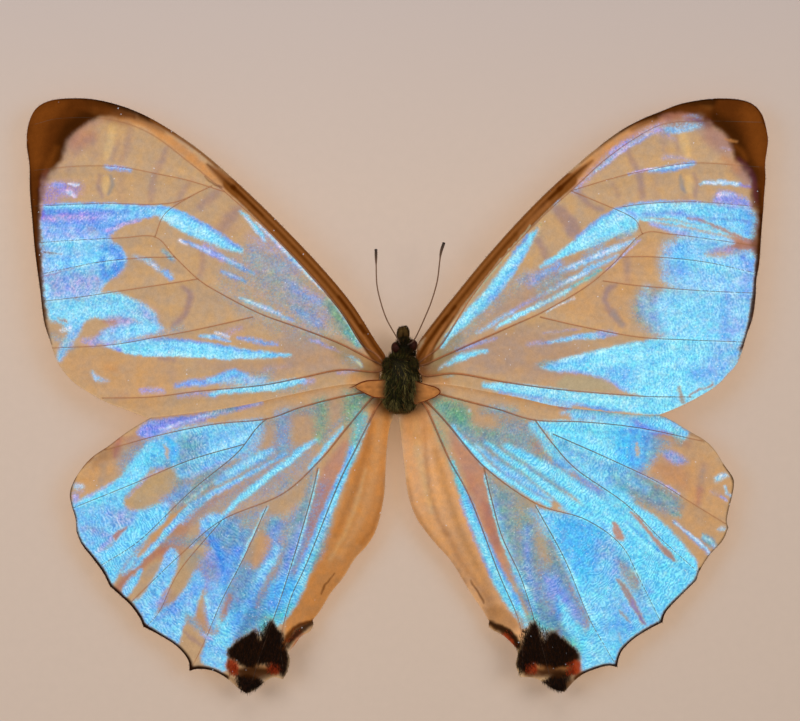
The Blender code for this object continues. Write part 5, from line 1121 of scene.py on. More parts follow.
LEFT_HINDWING_SHINE = [
    patch("haze", [(212, 526), (236, 519), (250, 522), (262, 524), (276, 520), (284, 526), (276, 534),
                   (262, 528), (252, 536), (244, 552), (232, 550), (222, 540)], 0.66, 6),
    patch("mist", [(282, 520), (302, 505), (304, 540), (296, 575), (286, 604), (270, 616), (264, 608),
                   (274, 582), (282, 560)], 0.62, 7),
    patch("mist", [(204, 538), (214, 540), (226, 556), (228, 576), (224, 600), (215, 606), (212, 580),
                   (208, 556)], 0.62, 6),
    patch("mist", [(240, 590), (262, 578), (262, 602), (250, 632), (238, 648), (224, 640), (232, 612)],
          0.62, 7),
    patch("mist", [(262, 452), (300, 446), (316, 452), (300, 480), (270, 500), (230, 515), (205, 522),
                   (190, 520), (215, 495), (240, 478)], 0.32, 8),
    patch("mist", [(118, 464), (130, 448), (146, 436), (154, 442), (146, 462), (132, 482), (122, 478)],
          0.50, 7),
    patch("haze", [(178, 462), (214, 462), (226, 474), (200, 494), (172, 506), (160, 504), (172, 488)],
          0.55, 7),
    patch("mist", [(318, 480), (328, 484), (314, 530), (296, 584), (286, 590), (298, 540)], 0.40, 6),
    patch("teal", [(345, 392), (372, 392), (366, 404), (352, 424), (344, 420)], 0.80, 7),
    patch("teal", [(314, 400), (327, 400), (327, 434), (316, 442)], 0.66, 5),
    patch("mist", [(276, 412), (289, 412), (290, 448), (276, 456)], 0.66, 5),
    patch("periwinkle", [(137, 434), (141, 427), (150, 421), (166, 418), (190, 415.5), (212, 411),
                         (240, 405.5), (262, 401), (262, 404.5), (240, 409.5), (214, 416), (190, 422),
                         (172, 429), (158, 436), (146, 438)], 0.95, 2.2),
    streak("violet", [(142, 431, 2), (152, 428, 4), (166, 424, 3), (182, 420, 2)], 0.50, 3),
    streak("lavender", [(176, 426, 1), (190, 423, 1.4), (206, 420, 1)], 0.85, 1.4),
    streak("white", [(160, 430, 0.8), (176, 425, 0.8), (196, 418.5, 0.7), (214, 413, 1.2), (224, 410, 1)],
           0.70, 1.2),
    patch("sky", [(148, 443), (160, 436), (176, 430), (200, 425), (222, 424), (262, 420), (258, 432),
                  (250, 446), (240, 456), (228, 462), (214, 468), (196, 474), (180, 478), (172, 466),
                  (162, 466), (150, 462)], 0.94, 3),
    patch("haze", [(176, 440), (190, 434), (204, 442), (198, 462), (184, 470), (174, 462)], 0.72, 6),
    streak("lavender", [(186, 452, 3), (194, 462, 3)], 0.40, 5),
    streak("bright", [(180, 432, 1.5), (205, 428.5, 2), (235, 426, 2.5), (256, 424, 1.5)], 0.55, 2.5),
    streak("bright", [(190, 463, 1.5), (206, 456, 2.5), (224, 447, 3), (242, 438, 2.5), (252, 430, 1.5)],
           0.75, 2.5),
    streak("azure", [(166, 438, 2), (173, 445, 4), (175, 455, 3.5), (171, 463, 2)], 0.95, 2.5),
    streak("azure", [(150, 446, 3), (156, 450, 6), (158, 460, 5)], 0.95, 3.5),
    streak("haze", [(163, 462, 2), (168, 466, 2.5)], 0.70, 2.5),
    patch("cyan", [(150, 443), (158, 446), (163, 452), (163, 464), (152, 468), (145, 476), (138, 484),
                   (130, 492), (124, 500), (124, 508), (118, 512), (110, 516), (100, 508), (74, 507),
                   (80, 500), (92, 494), (106, 486), (114, 482), (121, 476), (127, 468), (134, 458),
                   (142, 450)], 0.96, 2.2),
    streak("lilac", [(82, 500, 0.8), (98, 490.5, 1), (112, 483, 1)], 0.60, 1.4),
    streak("lilac", [(164, 468, 0.8), (150, 475, 0.8), (138, 487, 0.8), (128, 497, 0.8)], 0.60, 1.4),
    patch("sky", [(70, 503), (76, 503), (100, 504), (122, 506), (128, 510), (140, 512), (152, 508),
                  (166, 503), (169, 510), (165, 522), (155, 530), (145, 540), (134, 552), (126, 562),
                  (118, 574), (112, 584), (108, 588), (98, 572), (88, 556), (76, 538), (72, 520)], 0.98, 2),
    patch("cyan", [(138, 512), (160, 505), (166, 512), (158, 524), (146, 534), (130, 552), (118, 570),
                   (110, 582), (102, 568), (92, 556), (104, 552), (120, 538), (130, 524)], 0.85, 4),
    patch("lavender", [(108, 511), (126, 508), (134, 516), (124, 526), (112, 524)], 0.60, 4),
    streak("white", [(116, 513, 0.8), (117, 520, 1), (121, 526, 0.8)], 0.60, 1.2),
    streak("lavender", [(82, 529, 2.5), (96, 530, 3.5), (106, 536, 3)], 0.60, 3.5),
    streak("lilac", [(97, 551, 1.5), (104, 546, 2), (112, 539, 2.4), (117, 536, 1.5)], 0.90, 1.8),
    patch("pearl", [(73, 483), (82, 484), (84, 487), (79, 489), (73, 488)], 0.80, 2.0),
    patch("lilac", [(72, 494), (77, 494), (78, 499), (75, 504), (72, 502)], 0.88, 1.8),
    streak("lavender", [(74, 491, 1), (82, 492, 1.5)], 0.45, 2),
    patch("haze", [(172, 500), (196, 484), (220, 466), (262, 452), (268, 462), (240, 474), (212, 490),
                   (190, 506), (176, 512)], 0.50, 6),
    patch("blue", [(160, 500), (174, 492), (186, 484), (190, 490), (178, 500), (166, 506)], 0.55, 4),
    streak("lilac", [(222, 462, 0.7), (205, 470, 0.8), (190, 478, 0.7)], 0.50, 1.2),
    streak("sky", [(272, 450, 2.5), (258, 458, 4), (242, 466, 4.5), (226, 476, 4), (216, 483, 2)],
           0.90, 2.2),
    streak("bright", [(268, 451, 1.2), (248, 462, 2), (228, 474, 1.6)], 0.65, 1.8),
    streak("sky", [(286, 454, 0.8), (264, 466, 1.2), (246, 476, 1.8), (228, 486, 2), (210, 495, 2.2),
                   (196, 503, 2.8), (184, 512, 3.2), (174, 523, 3.2), (163, 535, 3), (152, 548, 2.6),
                   (143, 558, 2), (134, 568, 1.4)], 1.0, 1.5),
    streak("bright", [(240, 479, 0.7), (214, 493, 0.8), (194, 506, 1.4), (180, 519, 1.6), (166, 534, 1.6),
                      (154, 547, 1.6), (146, 555, 1)], 0.80, 1.2),
    streak("periwinkle", [(238, 481.5, 0.6), (210, 496, 0.8), (188, 512, 1), (172, 530, 1),
                          (158, 545, 0.8)], 0.65, 1),
    streak("bright", [(218, 478, 0.6), (204, 488, 0.8), (194, 497, 1), (186, 502, 0.8)], 0.50, 1.4),
    streak("cyan", [(316, 440, 1), (306, 446, 2), (296, 454, 2.6), (288, 462, 2.8), (276, 470, 2.8),
                    (264, 479, 2.8), (252, 489, 3), (240, 499, 2.6), (230, 509, 2.2), (222, 517, 1)],
           1.0, 1.8),
    streak("bright", [(310, 445, 0.8), (292, 459, 1.2), (272, 474, 1.2), (252, 490, 1.2), (232, 508, 1)],
           0.70, 1.2),
    streak("cyan", [(343, 426, 0.8), (337, 434, 1.5), (329, 443, 2), (322, 453, 2), (316, 461, 2.2),
                    (310, 468, 1.5)], 0.90, 1.8),
    streak("haze", [(340, 420, 2), (330, 432, 3), (320, 442, 2)], 0.45, 3),
    patch("haze", [(280, 484), (292, 480), (286, 492), (276, 496)], 0.45, 3),
    patch("sea", [(356, 412), (368, 414), (366, 428), (360, 444), (353, 462), (346, 462), (350, 440)],
          0.70, 4),
    streak("bright", [(368, 424, 0.5), (362, 438, 1), (356, 452, 1)], 0.75, 1.2),
    streak("cyan", [(354, 448, 2.5), (348, 464, 3.4), (341, 480, 3.8), (334, 496, 4.2), (328, 512, 4.6),
                    (322, 528, 4.8), (316, 544, 5.2), (309, 560, 5.6), (303, 574, 6), (297, 588, 6.4),
                    (290, 602, 6.4), (282, 614, 6), (276, 622, 4)], 1.0, 2),
    streak("blue", [(352, 448, 1.2), (344, 466, 1.2), (334, 488, 1.2), (322, 514, 1.2), (312, 540, 1.4),
                    (300, 566, 1.4), (290, 588, 1.6)], 0.65, 1.6),
    streak("deep", [(330, 512, 0.6), (322, 532, 0.8), (314, 552, 0.8), (306, 572, 0.8)], 0.80, 1),
    streak("bright", [(342, 480, 0.8), (332, 504, 1), (320, 536, 1.1), (310, 562, 1.2), (300, 584, 1.4),
                      (290, 602, 1.8), (282, 612, 1.4)], 0.70, 1.2),
    streak("blue", [(286, 596, 2), (280, 606, 2.5), (276, 616, 2)], 0.50, 3),
    streak("haze", [(312, 472, 1.5), (308, 495, 3.5), (302, 518, 5), (294, 545, 6), (286, 568, 6),
                    (282, 585, 4)], 0.80, 4),
    streak("periwinkle", [(302, 528, 3), (292, 552, 4.5), (284, 576, 4.5), (278, 595, 4)], 0.75, 4),
    streak("bright", [(318.5, 470, 0.7), (315, 486, 1), (311, 502, 0.9), (307, 518, 0.9), (301, 538, 0.8),
                      (294, 560, 0.7), (288, 572, 0.5)], 0.95, 0.9),
    patch("azure", [(268, 584), (286, 574), (296, 586), (288, 606), (274, 616), (262, 608)], 0.80, 5),
    patch("mist", [(224, 520), (262, 512), (252, 534), (240, 556), (228, 580), (220, 560), (212, 540),
                   (206, 524)], 0.85, 5),
    streak("mist", [(274, 522, 6), (272, 545, 7), (266, 566, 6), (260, 580, 6)], 0.85, 6),
    streak("periwinkle", [(276, 530, 4), (272, 552, 4), (264, 570, 3.5)], 0.50, 4),
    streak("bright", [(267, 507, 1), (260, 520, 1.1), (253, 534, 1), (246, 549, 0.9), (238, 566, 1),
                      (231, 580, 0.8), (224, 592, 0.7)], 0.95, 0.9),
    patch("blue", [(236, 545), (244, 548), (238, 566), (228, 588), (222, 602), (218, 590), (224, 566),
                   (230, 552)], 0.88, 3),
    patch("sky", [(200, 521), (208, 514), (220, 515), (226, 521), (214, 527), (202, 531)], 0.92, 2),
    streak("lilac", [(202, 531, 0.8), (196, 540, 1), (190, 548, 0.8)], 0.80, 1.2),
    streak("blue", [(202, 531, 1.5), (210, 536, 2.5), (216, 544, 4), (220, 554, 5), (223, 566, 5),
                    (224, 580, 4)], 0.95, 3),
    streak("deep", [(208, 535, 1.2), (217, 548, 3), (222, 562, 3), (225, 576, 2)], 0.75, 2),
    patch("periwinkle", [(200, 560), (212, 552), (218, 566), (220, 590), (216, 618), (212, 630), (206, 616),
                         (206, 590), (198, 576)], 0.80, 4),
    patch("sky", [(212, 580), (222, 584), (224, 600), (218, 620), (213, 630), (207, 612), (206, 598)],
          0.80, 4),
    streak("bright", [(205, 596, 0.8), (208, 608, 1.2), (211, 622, 1)], 0.65, 1.2),
    patch("sky", [(166, 552), (172, 548), (176, 551), (179, 560), (175, 572), (170, 584), (162, 594),
                  (158, 604), (155, 618), (150, 628), (143, 626), (134, 606), (142, 596), (150, 584),
                  (158, 570), (162, 560)], 0.98, 1.8),
    streak("bright", [(144, 600, 3), (146, 612, 3.5), (150, 622, 2)], 0.50, 3.5),
    patch("sky", [(184, 588), (190, 576), (196, 571), (202, 572), (206, 582), (202, 592), (197, 604),
                  (194, 616), (186, 616), (184, 624), (181, 636), (177, 646), (164, 640), (150, 630),
                  (148, 624), (158, 614), (168, 604), (176, 598)], 0.97, 2),
    patch("blue", [(162, 610), (176, 600), (190, 584), (198, 574), (206, 580), (200, 590), (188, 602),
                   (172, 618)], 0.55, 4),
    streak("indigo", [(160, 620, 1), (166, 612, 1.5), (174, 604, 1)], 0.40, 2),
    streak("bright", [(190, 590, 1.2), (186, 602, 1.6), (182, 618, 1.6), (178, 634, 1.8)], 0.50, 2.5),
    streak("sky", [(140, 571, 2), (134, 580, 4), (127, 590, 4.4), (122, 597, 3)], 0.98, 1.6),
    patch("sky", [(200, 656), (205, 645), (208, 635), (216, 640), (224, 644), (228, 650), (227, 662),
                  (225, 672), (212, 668), (203, 664)], 0.96, 2),
    patch("cyan", [(216, 622), (230, 610), (238, 606), (246, 612), (240, 630), (232, 644), (228, 650),
                   (216, 645), (210, 636), (218, 632)], 0.90, 3),
    streak("lilac", [(202, 634, 0.8), (206, 637, 1.8), (212, 640, 1.2)], 0.85, 1.4),
    streak("sky", [(278, 548, 3), (272, 560, 4), (264, 572, 4.4), (256, 584, 5), (248, 598, 6.5),
                   (240, 612, 6), (233, 628, 5), (227, 642, 3)], 0.94, 3),
    streak("blue", [(260, 580, 3), (250, 596, 6), (243, 610, 6), (236, 622, 3)], 0.60, 3.5),
    streak("bright", [(270, 560, 1.5), (260, 575, 2), (250, 590, 1.6)], 0.55, 2),
    patch("mist", [(240, 630), (250, 612), (262, 600), (270, 612), (258, 630), (244, 638)], 0.85, 5),
    patch("blue", [(266, 604), (276, 600), (284, 606), (276, 618), (266, 614)], 0.75, 3),
    patch("sea", [(256, 624), (268, 612), (284, 608), (292, 604), (284, 618), (274, 624), (262, 636)],
          0.75, 4),
    streak("sea", [(232, 652, 1.5), (240, 640, 2), (250, 631, 1.5)], 0.35, 2),
    # Touches over the forms above
    streak("sky", [(150, 544, 2.5), (140, 554, 4), (131, 563, 4), (124, 572, 3)], 0.85, 2.5),
    streak("sky", [(262, 430, 3), (258, 440, 3.5), (252, 450, 4.5), (244, 458, 4)], 0.70, 4),
    patch("mist", [(152, 456), (166, 456), (172, 466), (160, 470), (150, 468)], 0.50, 4),
    streak("sky", [(200, 504, 3), (191, 511, 4), (182, 520, 4)], 0.60, 3),
    streak("haze", [(330, 520, 2), (322, 548, 3.5), (312, 568, 3)], 0.60, 3),
    patch("mist", [(236, 562), (252, 566), (256, 578), (250, 596), (238, 610), (226, 612), (224, 600),
                   (230, 580)], 0.78, 5),
    streak("azure", [(262, 593, 2), (254, 606, 3), (248, 620, 3)], 0.60, 3),
    streak("haze", [(163, 542, 3), (180, 541, 5), (198, 541, 5)], 0.60, 5),
    streak("haze", [(194, 556, 3), (204, 562, 4), (212, 574, 4)], 0.55, 4),
    streak("mist", [(183, 612, 3), (192, 622, 4), (202, 632, 4)], 0.55, 4),
    streak("sky", [(134, 603, 2), (142, 611, 3.5), (150, 620, 3)], 0.75, 3),
    streak("sky", [(84, 544, 2), (92, 552, 3.5), (100, 562, 3)], 0.75, 3),
    streak("haze", [(288, 412, 3), (301, 411, 4), (314, 410, 3)], 0.55, 4),
    streak("steel", [(264, 592, 2.5), (255, 608, 4), (247, 622, 4.5), (240, 636, 4)], 0.62, 4),
    streak("haze", [(212, 414, 2), (222, 411, 3.5), (232, 409, 3)], 0.60, 3.5),
    streak("haze", [(262, 424, 3), (272, 421, 4), (282, 420, 3)], 0.50, 4),
    streak("periwinkle", [(154, 608, 2.5), (162, 600, 3.5), (168, 592, 2.5)], 0.65, 3),
    streak("haze", [(178, 512, 3), (192, 506, 3), (204, 500, 3)], 0.45, 4),
]

LEFT_HINDWING_BARE = [
    streak("pale", [(164, 445, 0.8), (166.5, 451, 2.0), (167.5, 458, 1.2)], 0.75, 1.8),
    patch("rose", [(112, 536), (120, 529), (128, 526), (122, 533), (115, 541)], 0.85, 1.8),
    streak("rose", [(104, 550, 1), (110, 546, 1.5)], 0.30, 2),
    patch("olive", [(104, 550), (110, 542), (116, 540), (110, 547)], 0.35, 2.5),
    streak("warm", [(185, 505, 1), (172, 518, 1.8), (160, 532, 2.2), (148, 545, 2.4), (138, 556, 2)],
           0.75, 1.8),
    patch("membrane", [(176, 575), (184, 566), (190, 578), (182, 590), (174, 600), (168, 606), (166, 598)],
          0.70, 4),
    patch("membrane", [(184, 626), (190, 626), (200, 638), (204, 644), (200, 656), (198, 664), (190, 662),
                       (182, 646)], 0.88, 3),
    streak("mauve", [(184, 632, 1.5), (193, 640, 2.2), (203, 646, 1.5)], 0.65, 2),
    streak("rose", [(230, 596, 2.5), (226, 608, 2.5), (222, 620, 1.5)], 0.60, 3),
    patch("black", [(226, 648), (232, 645), (240, 638), (248, 633), (254, 629), (258, 637), (260, 640),
                    (264, 632), (268, 622), (272, 619), (278, 628), (283, 634), (284, 644), (288, 652),
                    (290, 662), (287, 672), (283, 679), (279, 672), (272, 665), (262, 666), (252, 670),
                    (244, 668), (236, 662), (228, 658)], 1.0, 3),
    streak("border_dark", [(259, 636, 0.8), (259, 648, 1.2), (258, 658, 0.8)], 0.55, 1.5),
    patch("border", [(232, 668), (244, 668), (256, 668), (268, 666), (280, 666), (280, 675), (268, 676),
                     (252, 680), (238, 678)], 0.85, 3),
    patch("red", [(227, 659), (233, 660), (238, 665), (237, 675), (230, 674), (226, 668)], 0.95, 2.5),
    patch("red", [(270, 663), (277, 664), (280, 671), (274, 674), (266, 669)], 0.85, 3),
    streak("orange", [(256, 666, 1), (264, 668, 1.5)], 0.45, 2.5),
    patch("black", [(236, 676), (249, 674), (260, 680), (262, 685), (250, 692), (243, 697), (240, 688)],
          1.0, 2.4),
    streak("border", [(282, 648, 2.2), (287, 638, 2.4), (292, 631, 2.4), (300, 626, 2), (308, 622, 2),
                      (313, 621, 1.5)], 0.95, 1.8),
    streak("red", [(288, 641, 2), (293, 638, 2.6), (300, 632, 1.8)], 0.85, 1.8),
    streak("edge", [(75, 477, 1), (70, 487, 2.2), (68.5, 495, 2.2), (70, 504, 2)], 0.95, 1.4),
    streak("edge", [(70, 504, 2), (74.5, 518, 2.2), (75.5, 531, 2.4), (81, 544, 2.4), (92, 558, 2.8),
                    (102, 571, 2.8), (109, 586, 3.2)], 1.0, 1.5),
    streak("edge", [(109, 586, 2.8), (119.5, 595, 2.8), (130, 605, 3), (139, 617.5, 3.4),
                    (142.5, 626, 3.4)], 1.0, 1.5),
    streak("edge", [(142.5, 626, 3.4), (158, 635, 3), (174, 645, 3), (184, 655, 3), (188.5, 663, 3.4),
                    (189.5, 671, 3.4)], 1.0, 1.5),
    streak("edge", [(189.5, 671, 3.4), (198, 669, 3.2), (212, 671, 3), (226, 678, 3)], 1.0, 1.5),
    streak("border_light", [(140, 422, 0.8), (127, 431, 1), (108, 445.5, 1.2), (93, 456, 1.2),
                            (82, 467, 1.4)], 0.70, 1.4),
    # Touches over the forms above
    patch("warm", [(262, 534), (270, 537), (272, 545), (268, 554), (259, 565), (253, 568), (252, 560),
                   (256, 547)], 0.60, 4),
    streak("mauve", [(268, 577, 1.5), (262, 593, 2.5), (257, 607, 2)], 0.45, 3.5),
    patch("membrane", [(186, 553), (200, 549), (212, 563), (215, 578), (206, 582), (196, 576), (186, 590),
                       (178, 584)], 0.25, 5),
    patch("base", [(392, 396), (378, 396), (372, 402), (378, 412), (392, 416)], 0.65, 6),
    streak("border_dark", [(240, 672, 2), (256, 671, 2.5), (272, 670, 2)], 0.60, 3),
    streak("border", [(284, 648, 2.5), (291, 636, 3), (300, 629, 3.2), (310, 625, 2.6)], 0.70, 3),
    streak("ochre", [(293, 645, 1.5), (303, 635, 2.2), (312, 629, 1.6)], 0.50, 3),
    patch("olive", [(240, 516), (252, 514), (262, 518), (262, 526), (250, 530), (240, 527)], 0.50, 4),
    streak("grey", [(200, 514, 3), (212, 511, 3.5), (222, 507, 3)], 0.35, 4),
    streak("border_dark", [(227, 652, 1.5), (228.5, 662, 1.2), (229, 674, 1.2)], 0.55, 2),
    streak("base", [(228, 678, 1.5), (236, 683, 3), (242, 690, 2)], 0.50, 3),
    streak("ochre", [(342, 582, 3), (331, 601, 5), (320, 618, 4)], 0.35, 5),
    streak("grey", [(144, 576, 2), (151, 571, 3.5), (158, 564, 2)], 0.45, 4),
    patch("border_dark", [(238, 670), (252, 666), (268, 669), (272, 675), (262, 681), (244, 680)], 0.70, 3),
    streak("black", [(288, 647, 2), (294, 637, 2.6), (303, 629, 2.6), (312, 623.5, 2.2)], 0.85, 1.8),
    streak("red", [(293, 650, 1.6), (297, 643, 2.2), (303, 636, 1.6)], 0.75, 2),
]

RIGHT_HINDWING_PIGMENT = [
    patch("mauve", [(440, 392), (500, 405), (530, 420), (545, 450), (500, 440), (460, 420)], 0.20, 14),
    patch("warm", [(650, 466), (690, 440), (720, 462), (732, 490), (724, 524), (700, 560), (690, 540),
                   (668, 512)], 0.40, 12),
    patch("rose", [(650, 464), (670, 460), (688, 470), (690, 492), (672, 486), (654, 474)], 0.30, 8),
    patch("rose", [(654, 432), (686, 436), (690, 448), (670, 440)], 0.30, 5),
    streak("mauve", [(704, 466, 4), (700, 484, 4.5), (698, 500, 4)], 0.50, 5),
    streak("rose", [(700, 490, 3), (698, 502, 3)], 0.55, 4),
    streak("warm", [(693, 460, 2), (693, 480, 2.5), (696, 500, 2)], 0.55, 4),
    streak("grey", [(704, 470, 2), (702, 480, 2)], 0.35, 3),
    patch("grey", [(626, 476), (650, 482), (680, 500), (672, 512), (650, 506), (630, 496)], 0.55, 8),
    streak("pale", [(637, 442, 3), (637, 449, 4), (636, 457, 3)], 0.85, 2.5),
    patch("olive", [(486, 476), (510, 488), (534, 502), (536, 520), (520, 522), (498, 512), (488, 496)],
          0.60, 6),
    patch("blush", [(452, 432), (470, 448), (486, 468), (490, 492), (496, 524), (508, 562), (514, 578),
                    (500, 570), (488, 540), (474, 506), (462, 472), (452, 448)], 0.70, 5),
    patch("rose", [(480, 500), (490, 504), (496, 524), (502, 548), (494, 548), (486, 526)], 0.60, 4),
    patch("rose", [(466, 470), (474, 478), (478, 496), (468, 486)], 0.35, 5),
    streak("olive", [(514, 535, 3), (518, 552, 4), (522, 566, 3)], 0.60, 5),
    patch("olive", [(532, 536), (546, 540), (556, 552), (556, 562), (544, 552), (534, 546)], 0.70, 4),
    patch("grey", [(534, 552), (552, 560), (556, 578), (544, 590), (536, 574)], 0.70, 6),
    streak("rose", [(540, 578, 3), (542, 590, 3)], 0.80, 3.5),
    patch("mauve", [(536, 590), (556, 596), (560, 620), (550, 626), (540, 610)], 0.50, 6),
    patch("rose", [(566, 582), (574, 586), (580, 600), (588, 616), (588, 626), (580, 612), (572, 600)],
          0.65, 4),
    patch("amber", [(419, 383), (428, 385), (437, 388), (440, 392), (434, 397), (426, 401), (418, 403)],
          0.85, 2.5),
    patch("apricot", [(422, 396), (430, 404), (430, 420), (440, 448), (452, 476), (462, 506), (474, 536),
                      (486, 566), (498, 592), (514, 612), (524, 630), (520, 640), (504, 630), (489, 622),
                      (482, 611), (469, 591), (452, 562), (437, 546), (425, 531), (416, 518), (408, 497),
                      (405, 472), (402, 447), (402, 428), (405, 414), (414, 408)], 1.0, 3.5),
    streak("pale", [(416, 420, 3), (418, 450, 3.5), (424, 480, 3), (432, 512, 2)], 0.55, 4),
    streak("border_light", [(424, 420, 1), (426, 460, 2), (432, 500, 2), (446, 535, 2)], 0.35, 3.5),
    streak("border_light", [(407, 480, 1), (414, 510, 2.5), (430, 538, 3), (446, 556, 2.5), (466, 584, 2)],
           0.40, 3.5),
    streak("border_light", [(446, 530, 2), (458, 555, 4), (474, 580, 3), (488, 600, 3)], 0.35, 5),
    streak("warm", [(430, 425, 2), (440, 470, 3), (456, 520, 3), (476, 565, 3)], 0.60, 4),
    streak("border", [(471, 581, 0.5), (476, 589, 0.9), (481, 597, 1), (484.2, 604, 0.7)], 0.75, 1),
]

